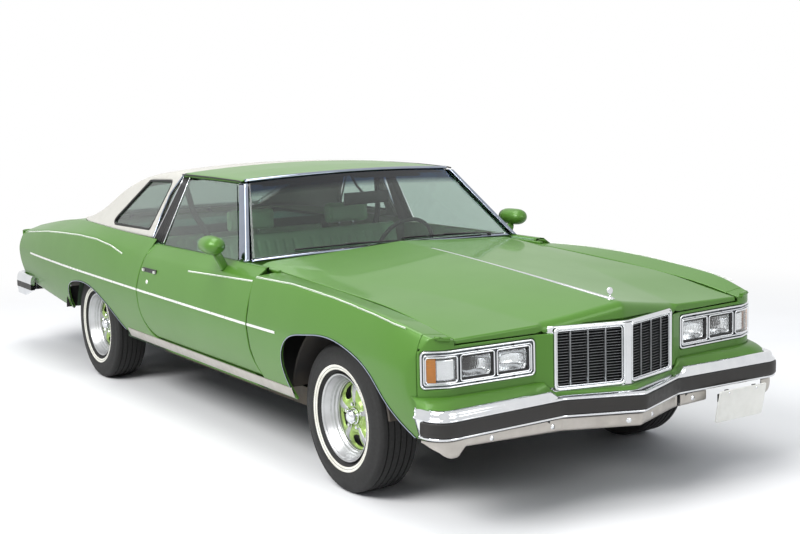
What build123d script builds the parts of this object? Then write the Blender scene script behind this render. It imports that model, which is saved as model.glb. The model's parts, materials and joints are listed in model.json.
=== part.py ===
from build123d import *
from math import cos, hypot, pi, sin
import os

# A full-size two-door hardtop coupe of the mid 1970s, in millimetres.
# +X is forward, +Y is the driver's left side, +Z is up. The origin is on the floor,
# under the middle of the car. Each node of the car is one STEP file in parts/.

# Driving dimensions of the whole car
LENGTH = 5740.0
WIDTH = 2022.0
WHEELBASE = 3134.0
TRACK = 1624.0
FRONT_OVERHANG = 1029.0

NOSE_X = LENGTH / 2
TAIL_X = -LENGTH / 2
FRONT_AXLE_X = NOSE_X - FRONT_OVERHANG
REAR_AXLE_X = FRONT_AXLE_X - WHEELBASE
WHEEL_Y = TRACK / 2
HALF_WIDTH = WIDTH / 2

# Tyres and wheels
TYRE_RADIUS = 345.0
TYRE_WIDTH = 216.0
RIM_RADIUS = 190.0
RIM_LIP_RADIUS = 204.0
RIM_WIDTH = 172.0
RIM_WALL = 9.0
HUB_RADIUS = 76.0
SPOKE_COUNT = 5
SPOKE_RADIUS = 118.0
SPOKE_HOLE = 27.0
CAP_RADIUS = 34.0

# Clearances
PANEL_GAP = 8.0
SWING_GAP = 6.0
SEAT_GAP = 0.3

# Wall thicknesses
SKIN = 26.0
LID_SKIN = 16.0
DECK_SKIN = 12.0
GLASS = 6.0
SHEET = 12.0

# Body side: rows of x, bottom z, rocker y, widest y and its z, crest y and z, inner edge y and z
FENDER_ROWS = [
    (2640, 395, 905, 958, 640, 905, 816, 815, 806),
    (2420, 385, 925, 992, 680, 945, 864, 815, 843),
    (2160, 375, 932, 1003, 700, 953, 898, 815, 873),
    (1741, 368, 935, 1010, 705, 956, 926, 815, 902),
    (1300, 366, 935, 1011, 700, 955, 930, 815, 924),
    (1040, 366, 935, 1011, 698, 952, 920, 815, 936),
]
NOSE_ROWS = [(2760, 400, 890, 936, 632, 885, 800, 815, 790)] + FENDER_ROWS[:3]
QUARTER_END_X = -2694.0
DOOR_ROWS = [
    (1160, 420, 947, 1011, 698, 950, 912, 885, 955),
    (350, 420, 947, 1011, 697, 946, 888, 882, 957),
    (-345, 420, 947, 1011, 697, 945, 886, 876, 953),
]
QUARTER_ROWS = [
    (-120, 370, 935, 1011, 697, 945, 886, 868, 975),
    (-420, 370, 935, 1011, 697, 945, 887, 866, 982),
    (-800, 375, 935, 1011, 700, 952, 912, 864, 985),
    (-1293, 385, 934, 1009, 704, 957, 935, 858, 996),
    (-1900, 425, 930, 1003, 714, 953, 912, 806, 982),
    (-2300, 462, 925, 993, 722, 944, 886, 801, 940),
    (-2700, 500, 915, 972, 730, 925, 846, 800, 884),
]

# Door: outline in side view, hinge axis and its place
DOOR_FRONT_X = 1092.0
DOOR_REAR_X = -335.0
DOOR_TOE_X = 1150.0
DOOR_HEEL_X = -150.0
DOOR_BOTTOM_Z = 430.0
DOOR_INNER_Y = 850.0
DOOR_TAPER = 14.0
DOOR_CHAMFER_X = 50.0
DOOR_CHAMFER_Y = 40.0
HINGE_INSET = 60.0
HINGE_Y = 960.0
HINGE_X = DOOR_FRONT_X - HINGE_INSET
HINGE_ZS = (520.0, 820.0)
HINGE_PIN_RADIUS = 6.0
HINGE_EYE_RADIUS = 13.0
HINGE_HEIGHT = 44.0
HINGE_POCKET = 60.0

# Wheel openings in side view: offsets from the axle's x, and z
FRONT_ARCH = [(-341, 300), (-426, 480), (-426, 575), (-352, 672, -174, 713), (60, 742, 280, 695),
              (400, 640, 473, 525), (560, 450, 660, 370), (660, 300)]
REAR_ARCH = [(-450, 300), (-380, 420), (-330, 560, -170, 622), (0, 640, 170, 622),
             (370, 550, 560, 430), (640, 385), (640, 300)]

# Hood: rows of x, centre z, ridge y and z, seam z
HOOD_ROWS = [
    (840, 1010, 772, 962, 944),
    (1370, 987, 680, 937, 919),
    (1790, 960, 562, 908, 898),
    (2215, 928, 462, 870, 866),
    (2630, 894, 386, 824, 806),
    (2760, 884, 352, 812, 796),
]
HOOD_SIDE_Y = 807.0
HOOD_REAR_X = 885.0
HOOD_REAR_BOW = 70.0
HOOD_NOSE_X = 2724.0
HOOD_FRONT_X = 2640.0
HOOD_CORNER_X = 2606.0
HOOD_LIP_Z = 818.0
HOOD_HINGE_X = 905.0
HOOD_HINGE_Z = 936.0
HOOD_HINGE_Y = 700.0

# Deck and trunk lid: rows of x, centre z, seam z, and the lid's hinge
DECK_ROWS = [(-1560, 1012, 996), (-2037, 985, 967)]
LID_ROWS = [(-2030, 986, 968), (-2300, 956, 938), (-2740, 894, 878)]
LID_SIDE_Y = 792.0
DECK_REAR_X = -2035.0
LID_FRONT_X = DECK_REAR_X - 11.5
LID_REAR_X = -2728.0
LID_HINGE_X = LID_FRONT_X - 90
LID_HINGE_Z = 952.0
LID_HINGE_Y = 300.0
LID_PIN_RADIUS = 3.0

# Greenhouse: windshield base and top, roof rows
COWL_X = 912.0
COWL_CORNER_X = 826.0
COWL_CORNER_Y = 842.0
COWL_Z = 986.0
COWL_CORNER_Z = 962.0
HEADER_X = 488.0
HEADER_CORNER_X = 440.0
HEADER_CORNER_Y = 652.0
HEADER_Z = 1368.0
HEADER_CORNER_Z = 1346.0
VINYL_FRONT_X = -300.0
VINYL_END_X = -1990.0
# Rows of x, base y, base z, edge y, edge z, top z
ROOF_ROWS = [
    (470, 682, 1334, 672, 1350, 1370),
    (100, 692, 1340, 682, 1358, 1384),
    (VINYL_FRONT_X + 0.3, 694, 1340, 684, 1358, 1386),
]
VINYL_ROWS = [
    (VINYL_FRONT_X, 862, 985, 684, 1358, 1386),
    (-620, 862, 985, 682, 1345, 1377),
    (-1000, 862, 989, 680, 1290, 1335),
    (-1330, 857, 998, 676, 1196, 1252),
    (-1640, 815, 996, 668, 1080, 1135),
    (VINYL_END_X, 700, 985, 640, 990, 1002),
]

# Side glass plane
BELT_Z = 950.0
TUMBLE_Y = 880.0
TUMBLE = 0.481
GLASS_REAR_X = -205.0

# Floor and running gear
FLOOR_Z = 345.0
TRUNK_Z = 540.0
TRUNK_HALF = 700.0
HOUSE_RADIUS = 400.0
HOUSE_GAP = 44.0
KINGPIN_Y = 700.0
HUB_FACE_Y = 800.0

# Front end
FENDER_END_X = 2478.0
HEADER_LOW_Z = 552.0
FILLER_LOW_Z = 498.0
HEADER_TOP_Z = 783.0
LAMP_LOW_Z = 636.0
LAMP_TOP_Z = 742.0
LAMP_SPANS = [(443.0, 606.0), (622.0, 785.0)]
CORNER_LAMP_Y = 803.0
BEZEL_EDGE = 25.7
BEZEL_DEPTH = 22.0
GRILLE_NOSE_X = 2762.0
GRILLE_SIDE_X = 2668.0
GRILLE_HALF = 340.0
GRILLE_LOW_Z = 534.0
GRILLE_TOP_Z = 810.0
GRILLE_FRAME = 15.0
GRILLE_CENTRE = 44.0
GRILLE_BARS = 19
GRILLE_UPRIGHTS = 3
PLATE_WIDTH = 305.0
PLATE_HEIGHT = 152.0
PLATE_X = 2764.0
PLATE_Y = 697.0
PLATE_TOP_Z = 420.0
PLATE_BOLTS = 177.8
PLATE_BOLT_DROP = 15.0
PLATE_HOLE = 3.5

# Rear end
TAIL_LAMP_LOW = 620.0
TAIL_LAMP_TOP = 790.0
TAIL_LAMP_IN = 330.0

# Steering column
PILLAR_FOOT_X = 764.0
COLUMN_LOW = (1110.3, 380.0, 614.0)
COLUMN_TOP = (462.0, 380.0, 858.0)
COLUMN_RADIUS = 26.0


def vec(plane, a, b, c):
    """Point (a, b) of an outline in the plane "xy", "xz" or "yz", at height c across that plane."""
    return {"xy": Vector(a, b, c), "xz": Vector(a, c, b), "yz": Vector(c, a, b)}[plane]


def outline(plane, points, c):
    """Closed wire from points (a, b), or (ma, mb, a, b) for an arc through (ma, mb) to (a, b)."""
    edges = []
    start = points[0][-2:]
    last = start
    for point in list(points[1:]) + [start]:
        end = point[-2:]
        if len(point) == 4:
            edges.append(Edge.make_three_point_arc(
                vec(plane, *last, c), vec(plane, *point[:2], c), vec(plane, *end, c)))
        elif hypot(end[0] - last[0], end[1] - last[1]) > 1e-6:
            edges.append(Edge.make_line(vec(plane, *last, c), vec(plane, *end, c)))
        last = end
    return Wire(edges)


def prism(plane, points, c0, c1):
    """Outline carried straight from c0 to c1 across its plane."""
    face = Face(outline(plane, points, c0))
    return Solid.extrude(face, vec(plane, 0, 0, c1 - c0))


def box(x0, x1, y0, y1, z0, z1):
    """Box between two corners."""
    return Solid.make_box(x1 - x0, y1 - y0, z1 - z0, Plane((x0, y0, z0)))


def tube(start, end, radius, hole=0.0):
    """Round bar between two points, with a hole along it where one is given."""
    a, b = Vector(start), Vector(end)
    plane = Plane(a, z_dir=b - a)
    bar = Solid.make_cylinder(radius, (b - a).length, plane)
    return bar - Solid.make_cylinder(hole, (b - a).length, plane) if hole else bar


def turned(points, axis_origin, axis_dir=(0, 0, 1), up=(1, 0, 0)):
    """Solid of revolution: points are (radius, height along the axis)."""
    plane = Plane(axis_origin, x_dir=up, z_dir=axis_dir)
    edges = []
    start = points[0][-2:]
    last = start
    for point in list(points[1:]) + [start]:
        end = point[-2:]
        place = [plane.from_local_coords((point[i], 0, point[i + 1])) for i in range(0, len(point), 2)]
        a = plane.from_local_coords((last[0], 0, last[1]))
        if len(point) == 4:
            edges.append(Edge.make_three_point_arc(a, place[0], place[1]))
        elif hypot(end[0] - last[0], end[1] - last[1]) > 1e-6:
            edges.append(Edge.make_line(a, place[0]))
        last = end
    face = Face(Wire(edges))
    return Solid.revolve(face, 360, Axis(axis_origin, axis_dir))


def flip(shape):
    """The same piece on the car's other side."""
    return mirror(shape, about=Plane.XZ)


def solids_of(shape):
    """List of the solids in a shape or a list of shapes."""
    if isinstance(shape, (list, tuple)):
        return [s for item in shape for s in solids_of(item)]
    return list(shape.solids())


def fuse(*shapes):
    """All the shapes joined into one."""
    parts = solids_of(list(shapes))
    return parts[0].fuse(*parts[1:]) if len(parts) > 1 else parts[0]


def pair(shape):
    """A piece and its mirror image, as solids of one node."""
    return solids_of(shape) + solids_of(flip(shape))


def save(name, shape):
    """Writes one node."""
    parts = solids_of(shape)
    export_step(Compound(parts) if len(parts) > 1 else parts[0], "parts/" + name + ".step")


# Body side


def side_points(row, wall):
    """Outer line of the body side at one station, moved inward by wall."""
    _, bottom_z, rocker_y, wide_y, wide_z, crest_y, crest_z, inner_y, inner_z = row
    rocker = (rocker_y - wall, bottom_z)
    belly = ((rocker_y + wide_y) / 2 + 15 - wall, (bottom_z + wide_z) / 2)
    wide = (wide_y - wall, wide_z)
    shoulder = ((wide_y + crest_y) / 2 + 9 - wall, (wide_z + crest_z) / 2)
    crest = (crest_y - wall, crest_z - wall * 0.8)
    inner = (inner_y, inner_z - wall)
    return rocker, belly, wide, shoulder, crest, inner


def side_wire(row, wall):
    """Closed thin section of a body side panel at one station."""
    rocker, belly, wide, shoulder, crest, inner = side_points(row, 0)
    rocker2, belly2, wide2, shoulder2, crest2, inner2 = side_points(row, wall)
    return outline("yz", [rocker, belly + wide, shoulder + crest, inner, inner2, crest2,
                          shoulder2 + wide2, belly2 + rocker2], row[0])


def side_shell(rows, wall):
    """Body side panel lofted through its stations, on the left."""
    return Solid.make_loft([side_wire(row, wall) for row in rows])


def side_solid(rows, wall, inner_y):
    """Body side as a solid from its outer line, moved inward by wall, to the plane at inner_y."""
    wires = []
    for row in rows:
        rocker, belly, wide, shoulder, crest, inner = side_points(row, wall)
        wires.append(outline("yz", [(inner_y, row[1]), rocker, belly + wide, shoulder + crest,
                                    inner, (inner_y, inner[1])], row[0]))
    return Solid.make_loft(wires)


def door_outline(grow):
    """Outline of the door in side view, larger by grow all round."""
    front = DOOR_FRONT_X + grow
    rear = DOOR_REAR_X - grow
    low = DOOR_BOTTOM_Z - grow
    return [(rear, 1100), (rear, 620), (rear + 30, 505, DOOR_HEEL_X - grow, low),
            (DOOR_TOE_X + grow, low), (front + 16, low + 60, front, 560), (front, 1100)]


def hinge_cutter():
    """Space that the front end of the left door sweeps, turned about its hinge."""
    skin = HALF_WIDTH - HINGE_Y
    toe = DOOR_TOE_X - HINGE_X
    widest = hypot(HINGE_INSET, skin) + SWING_GAP
    radii = [(toe + 12, DOOR_BOTTOM_Z - PANEL_GAP), (toe + 12, DOOR_BOTTOM_Z + 8),
             (HINGE_INSET + 30, DOOR_BOTTOM_Z + 62), (HINGE_INSET + 18, 565),
             (widest, 640), (widest, 760), (HINGE_INSET + 10, 860), (HINGE_INSET + PANEL_GAP, 1100)]
    return turned([(0, radii[0][1])] + radii + [(0, 1100)], (HINGE_X, HINGE_Y, 0))


def arch(points, axle_x):
    """Wheel opening cut through the left body side."""
    moved = [tuple(v + (axle_x if i % 2 == 0 else 0) for i, v in enumerate(p)) for p in points]
    return prism("xz", moved, 600, 1100)


def front_fender():
    """Left front fender with its wheel opening and its strip beside the cowl."""
    shell = side_shell(FENDER_ROWS, SKIN)
    keep = prism("xz", [(DOOR_FRONT_X - 40, 300), (FENDER_END_X, 300), (FENDER_END_X, HEADER_TOP_Z + 3),
                        (2640, HEADER_TOP_Z + 3), (2640, 1100), (DOOR_FRONT_X - 40, 1100)], 700, 1100)
    shell = shell & keep
    shell = shell - arch(FRONT_ARCH, FRONT_AXLE_X)
    shell = shell - prism("xz", door_outline(PANEL_GAP), 600, 1100) - hinge_cutter()
    strip = prism("xy", [(COWL_CORNER_X + 40, 815), (1128, 815), (1128, 842), (COWL_CORNER_X + 40, 842)],
                  924, 944)
    return fuse(shell, strip)


def door_panel():
    """Left door: outer skin form, flat inside, with its hinge pockets and pins."""
    slab = side_solid(DOOR_ROWS, 0, DOOR_INNER_Y) & prism("xz", door_outline(0), 700, 1100)
    taper = prism("xy", [(DOOR_REAR_X - 60, HALF_WIDTH - 40), (DOOR_REAR_X, HALF_WIDTH - 40),
                         (DOOR_REAR_X + DOOR_TAPER, DOOR_INNER_Y - 20),
                         (DOOR_REAR_X - 60, DOOR_INNER_Y - 20)], 560, 1100)
    toe = box(DOOR_FRONT_X, DOOR_TOE_X + 20, 700, 920, 300, 700)
    chamfer = prism("xy", [(DOOR_FRONT_X - DOOR_CHAMFER_X, DOOR_INNER_Y), (DOOR_FRONT_X,
                           DOOR_INNER_Y + DOOR_CHAMFER_Y), (DOOR_TOE_X + 20, DOOR_INNER_Y + DOOR_CHAMFER_Y),
                           (DOOR_TOE_X + 20, DOOR_INNER_Y)], 300, 1100)
    slab = slab - taper - toe - chamfer
    for z in HINGE_ZS:
        half = HINGE_POCKET / 2
        pocket = box(HINGE_X - 18, DOOR_TOE_X + 20, 700, HINGE_Y + 18, z - half, z + half)
        pin = tube((HINGE_X, HINGE_Y, z - half), (HINGE_X, HINGE_Y, z + half), HINGE_PIN_RADIUS)
        slab = fuse(slab - pocket, pin)
    armrest = box(-60, 520, DOOR_INNER_Y - 46, DOOR_INNER_Y, 640, 700)
    return fuse(slab, armrest)


def hinge_arm(z):
    """Left hinge arm on the body at height z: eye round the door's pin, and a leg to the post."""
    half = HINGE_HEIGHT / 2
    bore = HINGE_PIN_RADIUS + SEAT_GAP
    eye = tube((HINGE_X, HINGE_Y, z - half), (HINGE_X, HINGE_Y, z + half), HINGE_EYE_RADIUS)
    leg = prism("xy", [(HINGE_X + 2, HINGE_Y - 4), (HINGE_X + 13, HINGE_Y), (HINGE_X + 34, 838),
                       (1112, 826), (1112, 812), (HINGE_X + 18, 812)], z - half, z + half)
    hole = tube((HINGE_X, HINGE_Y, z - 60), (HINGE_X, HINGE_Y, z + 60), bore)
    return fuse(eye, leg) - hole


def quarter_panel():
    """Left quarter panel, from the door's shut line to the tail."""
    shell = side_shell(QUARTER_ROWS, SKIN)
    end = box(-2800, QUARTER_END_X, 700, 1100, 300, 1100)
    return shell - prism("xz", door_outline(PANEL_GAP), 600, 1100) - arch(REAR_ARCH, REAR_AXLE_X) - end


def quarter_panels():
    """Both quarter panels, joined by the upper deck panel."""
    left = quarter_panel()
    return fuse(left, flip(left), deck_panel())


# Hood, trunk lid and roof


def hood_wire(row, drop, floor_z, side_y):
    """Closed section of the hood at one station, lowered by drop and closed at floor_z."""
    x, centre_z, ridge_y, ridge_z, seam_z = row
    right = [(-side_y, floor_z), (-side_y, seam_z - drop), (-ridge_y, ridge_z - drop)]
    left = [(ridge_y, ridge_z - drop), (side_y, seam_z - drop), (side_y, floor_z)]
    return outline("yz", right + [(0, centre_z - drop)] + left, x)


def hood_plan(inset):
    """Plan of the hood: bowed rear edge, V nose, moved back at the front by inset."""
    side = HOOD_SIDE_Y + inset * 4
    return [(HOOD_REAR_X - inset * 4, -side), (HOOD_CORNER_X - inset, -side),
            (HOOD_FRONT_X - inset, -390), (HOOD_NOSE_X - inset, 0), (HOOD_FRONT_X - inset, 390),
            (HOOD_CORNER_X - inset, side), (HOOD_REAR_X - inset * 4, side),
            (HOOD_REAR_X + HOOD_REAR_BOW - inset * 4, 0, HOOD_REAR_X - inset * 4, -side)]


def hood():
    """Hood with its centre crease, side ridges and V lip, and its two hinge lugs."""
    lip_z = 780.0
    outer = Solid.make_loft([hood_wire(r, 0, lip_z, HOOD_SIDE_Y) for r in HOOD_ROWS], True)
    outer = outer & prism("xy", hood_plan(0), 700, 1100)
    inner = Solid.make_loft([hood_wire(r, LID_SKIN, 600, HOOD_SIDE_Y + 60) for r in HOOD_ROWS], True)
    inner = inner & prism("xy", hood_plan(LID_SKIN), 600, 1100)
    shell = outer - inner
    shell = shell - box(2560, 2800, -386, 386, 700, HOOD_LIP_Z)
    shell = shell - box(2560, 2800, 380, 900, 700, 790) - box(2560, 2800, -900, -380, 700, 790)
    for side in (-1, 1):
        y = side * HOOD_HINGE_Y
        lug = prism("xz", [(HOOD_HINGE_X - 16, HOOD_HINGE_Z - 14), (HOOD_HINGE_X + 14, HOOD_HINGE_Z - 14),
                           (HOOD_HINGE_X + 90, 962), (HOOD_HINGE_X + 90, 1100), (HOOD_HINGE_X - 16, 1100)],
                    y - 6, y + 6)
        above = Solid.make_loft([hood_wire(r, 4, 600, HOOD_SIDE_Y) for r in HOOD_ROWS[:2]], True)
        pin_hole = tube((HOOD_HINGE_X, y - 20, HOOD_HINGE_Z), (HOOD_HINGE_X, y + 20, HOOD_HINGE_Z),
                        HINGE_PIN_RADIUS + SEAT_GAP)
        shell = fuse(shell, lug & above) - pin_hole
    return max(solids_of(shell), key=lambda s: s.volume)


def deck_wire(row, drop, floor_z, side):
    """Closed section of the rear deck at one station, lowered by drop and closed at floor_z."""
    x, centre_z, seam_z = row
    return outline("yz", [(-side, floor_z), (-side, seam_z - drop), (0, centre_z - drop, side, seam_z - drop),
                          (side, floor_z)], x)


def deck_shell(rows, side):
    """Crowned sheet over the rear deck's stations."""
    outer = Solid.make_loft([deck_wire(r, 0, 800, side) for r in rows])
    inner = Solid.make_loft([deck_wire(r, DECK_SKIN, 600, side + 40) for r in rows])
    return outer - inner


def deck_panel():
    """Upper deck between the roof's end and the trunk lid, with a corner on each side."""
    half = [(DECK_REAR_X, LID_SIDE_Y + 7), (DECK_REAR_X, 0), (VINYL_END_X - SEAT_GAP, 0),
            (VINYL_END_X - SEAT_GAP, 702), (-1640, 817), (-1560, 828), (-1560, 838), (-1900, LID_SIDE_Y + 10)]
    shell = deck_shell(DECK_ROWS, LID_SIDE_Y + 20)
    return fuse(*[shell & prism("xy", [(x, side * y) for x, y in half], 700, 1100) for side in (-1, 1)])


def trunk_lid():
    """Trunk lid, crowned across, with its two hinge lugs."""
    shell = deck_shell(LID_ROWS, LID_SIDE_Y) & box(LID_REAR_X, LID_FRONT_X, -LID_SIDE_Y, LID_SIDE_Y, 700, 1100)
    above = Solid.make_loft([deck_wire(r, 4, 600, LID_SIDE_Y) for r in LID_ROWS])
    for side in (-1, 1):
        y = side * LID_HINGE_Y
        lug = box(LID_HINGE_X - 40, LID_HINGE_X + 8, y - 6, y + 6, LID_HINGE_Z - 8, 1100)
        pin_hole = tube((LID_HINGE_X, y - 20, LID_HINGE_Z), (LID_HINGE_X, y + 20, LID_HINGE_Z),
                        LID_PIN_RADIUS + SEAT_GAP)
        shell = fuse(shell, lug & above) - pin_hole
    return max(solids_of(shell), key=lambda s: s.volume)


def roof_wire(row, wall):
    """Closed arch section of the roof at one station, wall thick."""
    x, base_y, base_z, edge_y, edge_z, top_z = row
    crown = (0, top_z, -edge_y, edge_z)
    crown2 = (0, top_z - wall, edge_y - wall, edge_z - wall)
    return outline("yz", [(base_y, base_z), (edge_y, edge_z), crown, (-base_y, base_z),
                          (-base_y + wall, base_z), (-edge_y + wall, edge_z - wall), crown2,
                          (base_y - wall, base_z)], x)


def header_bow(x_shift):
    """Plan of the space behind the windshield header, open to the rear."""
    return [(-2400, -900), (HEADER_CORNER_X + x_shift, -900), (HEADER_CORNER_X + x_shift, -HEADER_CORNER_Y),
            (HEADER_X + x_shift, 0, HEADER_CORNER_X + x_shift, HEADER_CORNER_Y),
            (HEADER_CORNER_X + x_shift, 900), (-2400, 900)]


def roof_front():
    """Painted front half of the roof."""
    shell = Solid.make_loft([roof_wire(r, SKIN) for r in ROOF_ROWS])
    return shell & prism("xy", header_bow(-14), 1200, 1500)


def quarter_window_points(grow):
    """Fixed quarter window opening in side view, larger by grow."""
    return [(-1135 - grow * 1.6, 1012 - grow), (-500 + grow, 1020 - grow), (-430 + grow, 1312 + grow),
            (-700 - grow, 1304 + grow)]


def rear_window_points(grow):
    """Rear window opening in plan, larger by grow."""
    return [(-1170 + grow, -560 - grow), (-1140 + grow, 0, -1170 + grow, 560 + grow),
            (-1915 - grow, 590 + grow), (-1955 - grow, 0, -1915 - grow, -590 - grow)]


def roof_rear():
    """Vinyl-covered rear half of the roof with its sail panels, window openings and lower rail."""
    shell = Solid.make_loft([roof_wire(r, SKIN + 8) for r in VINYL_ROWS])
    shell = shell - prism("xz", quarter_window_points(0), -1000, 1000)
    shell = shell - prism("xy", rear_window_points(0), 900, 1500)
    front = prism("xz", [(-300, 1500), (-300, 1350), (-392, 1240), (-405, 1100), (-395, 900), (0, 900),
                         (0, 1500)],
                  -1000, 1000)
    return shell - front


# Glass


def glass_sheet(lower, upper, thickness):
    """Ruled sheet of glass between two three-point arcs, each given by its points."""
    low = Edge.make_three_point_arc(*[Vector(p) for p in lower])
    high = Edge.make_three_point_arc(*[Vector(p) for p in upper])
    face = Face.make_surface_from_curves(low, high)
    return Solid.thicken(face, thickness)


def windshield():
    """Curved windshield."""
    lower = [(COWL_CORNER_X, -COWL_CORNER_Y, COWL_CORNER_Z), (COWL_X, 0, COWL_Z),
             (COWL_CORNER_X, COWL_CORNER_Y, COWL_CORNER_Z)]
    upper = [(HEADER_CORNER_X, -HEADER_CORNER_Y, HEADER_CORNER_Z), (HEADER_X, 0, HEADER_Z),
             (HEADER_CORNER_X, HEADER_CORNER_Y, HEADER_CORNER_Z)]
    return glass_sheet(lower, upper, GLASS)


def side_plane_y(z):
    """Outer face of the side glass at height z, on the left."""
    return TUMBLE_Y - TUMBLE * (z - BELT_Z)


def side_sheet(points, inset, thickness):
    """Flat sheet in the sloping plane of the left side glass, set in by inset. Points are (x, z)."""
    face = Face(Wire.make_polygon([Vector(x, side_plane_y(z) - inset, z) for x, z in points], close=True))
    return Solid.extrude(face, Vector(0, -thickness, -thickness * TUMBLE))


def door_glass():
    """Left door glass, frameless, standing on the door's top."""
    bottom = BELT_Z + 10.3
    return side_sheet([(GLASS_REAR_X, bottom), (757, bottom), (411, 1325), (GLASS_REAR_X, 1325)], 3, GLASS)


def quarter_glass():
    """Left fixed quarter window."""
    return side_sheet(quarter_window_points(-3), 14, GLASS)


def pillar_louvre():
    """Left louvred panel between the door glass and the vinyl."""
    return side_sheet([(-391, 966), (-232, 966), (-217, 1338), (-300, 1338)], 6, 12)


def rear_window():
    """Curved rear window under the vinyl's rear opening."""
    lower = [(-1911, -589.3, 988), (-1950, 0, 992), (-1911, 589.3, 988)]
    upper = [(-1173, -559.6, 1238), (-1144, 0, 1268), (-1173, 559.6, 1238)]
    return glass_sheet(lower, upper, GLASS)


def windshield_pillar():
    """Left windshield pillar with its wide bright cover."""
    base = [(770, 850.5), (850, 850.5), (850, 878), (770, 878)]
    top = [(415, 663), (487, 663), (487, 689), (415, 689)]
    low = Wire.make_polygon([Vector(x, y, 958) for x, y in base])
    high = Wire.make_polygon([Vector(x, y, 1333.5) for x, y in top])
    foot = box(PILLAR_FOOT_X, PILLAR_FOOT_X + 34, 820, 844, 924, 976)
    toe = box(PILLAR_FOOT_X + 6, PILLAR_FOOT_X + 34, 844, 862, 963, 976)
    return fuse(Solid.make_loft([low, high], True), foot, toe)


def wiper_cowl():
    """Cowl box under the windshield, firewall and hinge posts with the door hinge arms."""
    wall = prism("xy", [(COWL_CORNER_X - 16, -842), (COWL_CORNER_X, -842), (COWL_X, 0, COWL_CORNER_X, 842),
                        (COWL_CORNER_X - 16, 842), (COWL_X - 16, 0, COWL_CORNER_X - 16, -842)], 880, 961.7)
    shelf = box(COWL_CORNER_X - 20, 1132, -842, 842, 868, 882)
    front = box(1120, 1132, -842, 842, FLOOR_Z, 882)
    front = front - prism("yz", [(-190, 300), (-190, FLOOR_Z), (0, 560, 190, FLOOR_Z), (190, 300)],
                          1100, 1140)
    post = box(1112, 1166, 790, 842, 360, 904)
    ends = box(PILLAR_FOOT_X, 1045, 816, 842, 868, 924 - SEAT_GAP)
    shelf_y = HOOD_HINGE_Y
    stand = box(HOOD_HINGE_X - 9, HOOD_HINGE_X + 9, shelf_y + 8, shelf_y + 20, 868, HOOD_HINGE_Z)
    pin = tube((HOOD_HINGE_X, shelf_y - 14, HOOD_HINGE_Z), (HOOD_HINGE_X, shelf_y + 20, HOOD_HINGE_Z),
               HINGE_PIN_RADIUS)
    left = [post, ends, stand, pin] + [hinge_arm(z) for z in HINGE_ZS]
    return fuse(wall, shelf, front, *left, *[flip(s) for s in left])


def floor_pan():
    """Cabin floor with its tunnel, sills, trunk floor and wheelhouses."""
    floor = box(-760, 1119.7, -905, 905, FLOOR_Z, FLOOR_Z + SHEET)
    tunnel = prism("yz", [(-190, FLOOR_Z), (0, 560, 190, FLOOR_Z)], 560, 1119.7)
    tunnel_in = prism("yz", [(-178, FLOOR_Z - 1), (0, 548, 178, FLOOR_Z - 1)], 560, 1130)
    spine = prism("yz", [(-96, FLOOR_Z), (0, 446, 96, FLOOR_Z)], -772, 572)
    spine_in = prism("yz", [(-84, FLOOR_Z - 1), (0, 434, 84, FLOOR_Z - 1)], -790, 600)
    kickup = box(-775, -560, 505, 735, FLOOR_Z - 1, 545)
    kick = box(-772, -760, -905, 905, FLOOR_Z, 560)
    shelf = box(-1060, -760, -TRUNK_HALF, TRUNK_HALF, 548, 560)
    drop = box(-1072, -1060, -TRUNK_HALF, TRUNK_HALF, 548, 960)
    trunk = box(-2690, -1060, -TRUNK_HALF, TRUNK_HALF, TRUNK_Z, TRUNK_Z + SHEET)
    sill = prism("yz", [(862, FLOOR_Z), (905, FLOOR_Z), (935, 366), (949, 422), (862, 422)], -119.7, 1051.7)
    house_y = WHEEL_Y - TYRE_WIDTH / 2 - HOUSE_GAP
    hollow = wheel_hollow(REAR_AXLE_X, house_y, 905, HOUSE_RADIUS)
    house = wheel_arch(REAR_AXLE_X, house_y, 905, HOUSE_RADIUS) - hollow
    side = box(-2690, REAR_AXLE_X - HOUSE_RADIUS, TRUNK_HALF, TRUNK_HALF + SHEET, TRUNK_Z, 640)
    fill = box(REAR_AXLE_X + HOUSE_RADIUS - 20, -772, TRUNK_HALF, 905, FLOOR_Z + 160, FLOOR_Z + 172)
    left = [sill, house, side, fill]
    whole = fuse(floor, tunnel, spine, kick, shelf, drop, trunk) - hollow - flip(hollow)
    return fuse(whole - tunnel_in - spine_in - kickup - flip(kickup), *left, *[flip(s) for s in left])


def wheel_arch(axle_x, y0, y1, radius):
    """Arched block over an axle, on the left."""
    return prism("xz", [(axle_x - radius, 420), (axle_x, TYRE_RADIUS + radius, axle_x + radius, 420)], y0, y1)


def wheel_hollow(axle_x, y0, y1, radius):
    """Space inside the left wheelhouse, open on its outer side."""
    inner = radius - SHEET
    return prism("xz", [(axle_x - inner, 400), (axle_x, TYRE_RADIUS + inner, axle_x + inner, 400)],
                 y0 + SHEET, y1 + 1)


def inner_fenders():
    """Front inner fenders: arched wheelhouses with aprons, and the radiator support."""
    house = wheel_arch(FRONT_AXLE_X, 500, 925, 440) - wheel_hollow(FRONT_AXLE_X, 500, 925, 440)
    apron = box(FRONT_AXLE_X + 380, 2530, 500, 512, 452, 700)
    bracket = box(FRONT_AXLE_X - 110, FRONT_AXLE_X - 90, 800, 818, 760, 874.7)
    back = box(1166.3, FRONT_AXLE_X - 400, 700, 712, 440, 700)
    support = box(2510, 2530, -512, 512, 448 + SEAT_GAP, 760)
    core = box(2500, 2540, -370, 370, 470, 740)
    arm_slot = box(FRONT_AXLE_X - 112, FRONT_AXLE_X + 112, 490, 530, 478, 524)
    left = [house - arm_slot, apron, bracket, back]
    return fuse(support - core, *left, *[flip(s) for s in left])


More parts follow.
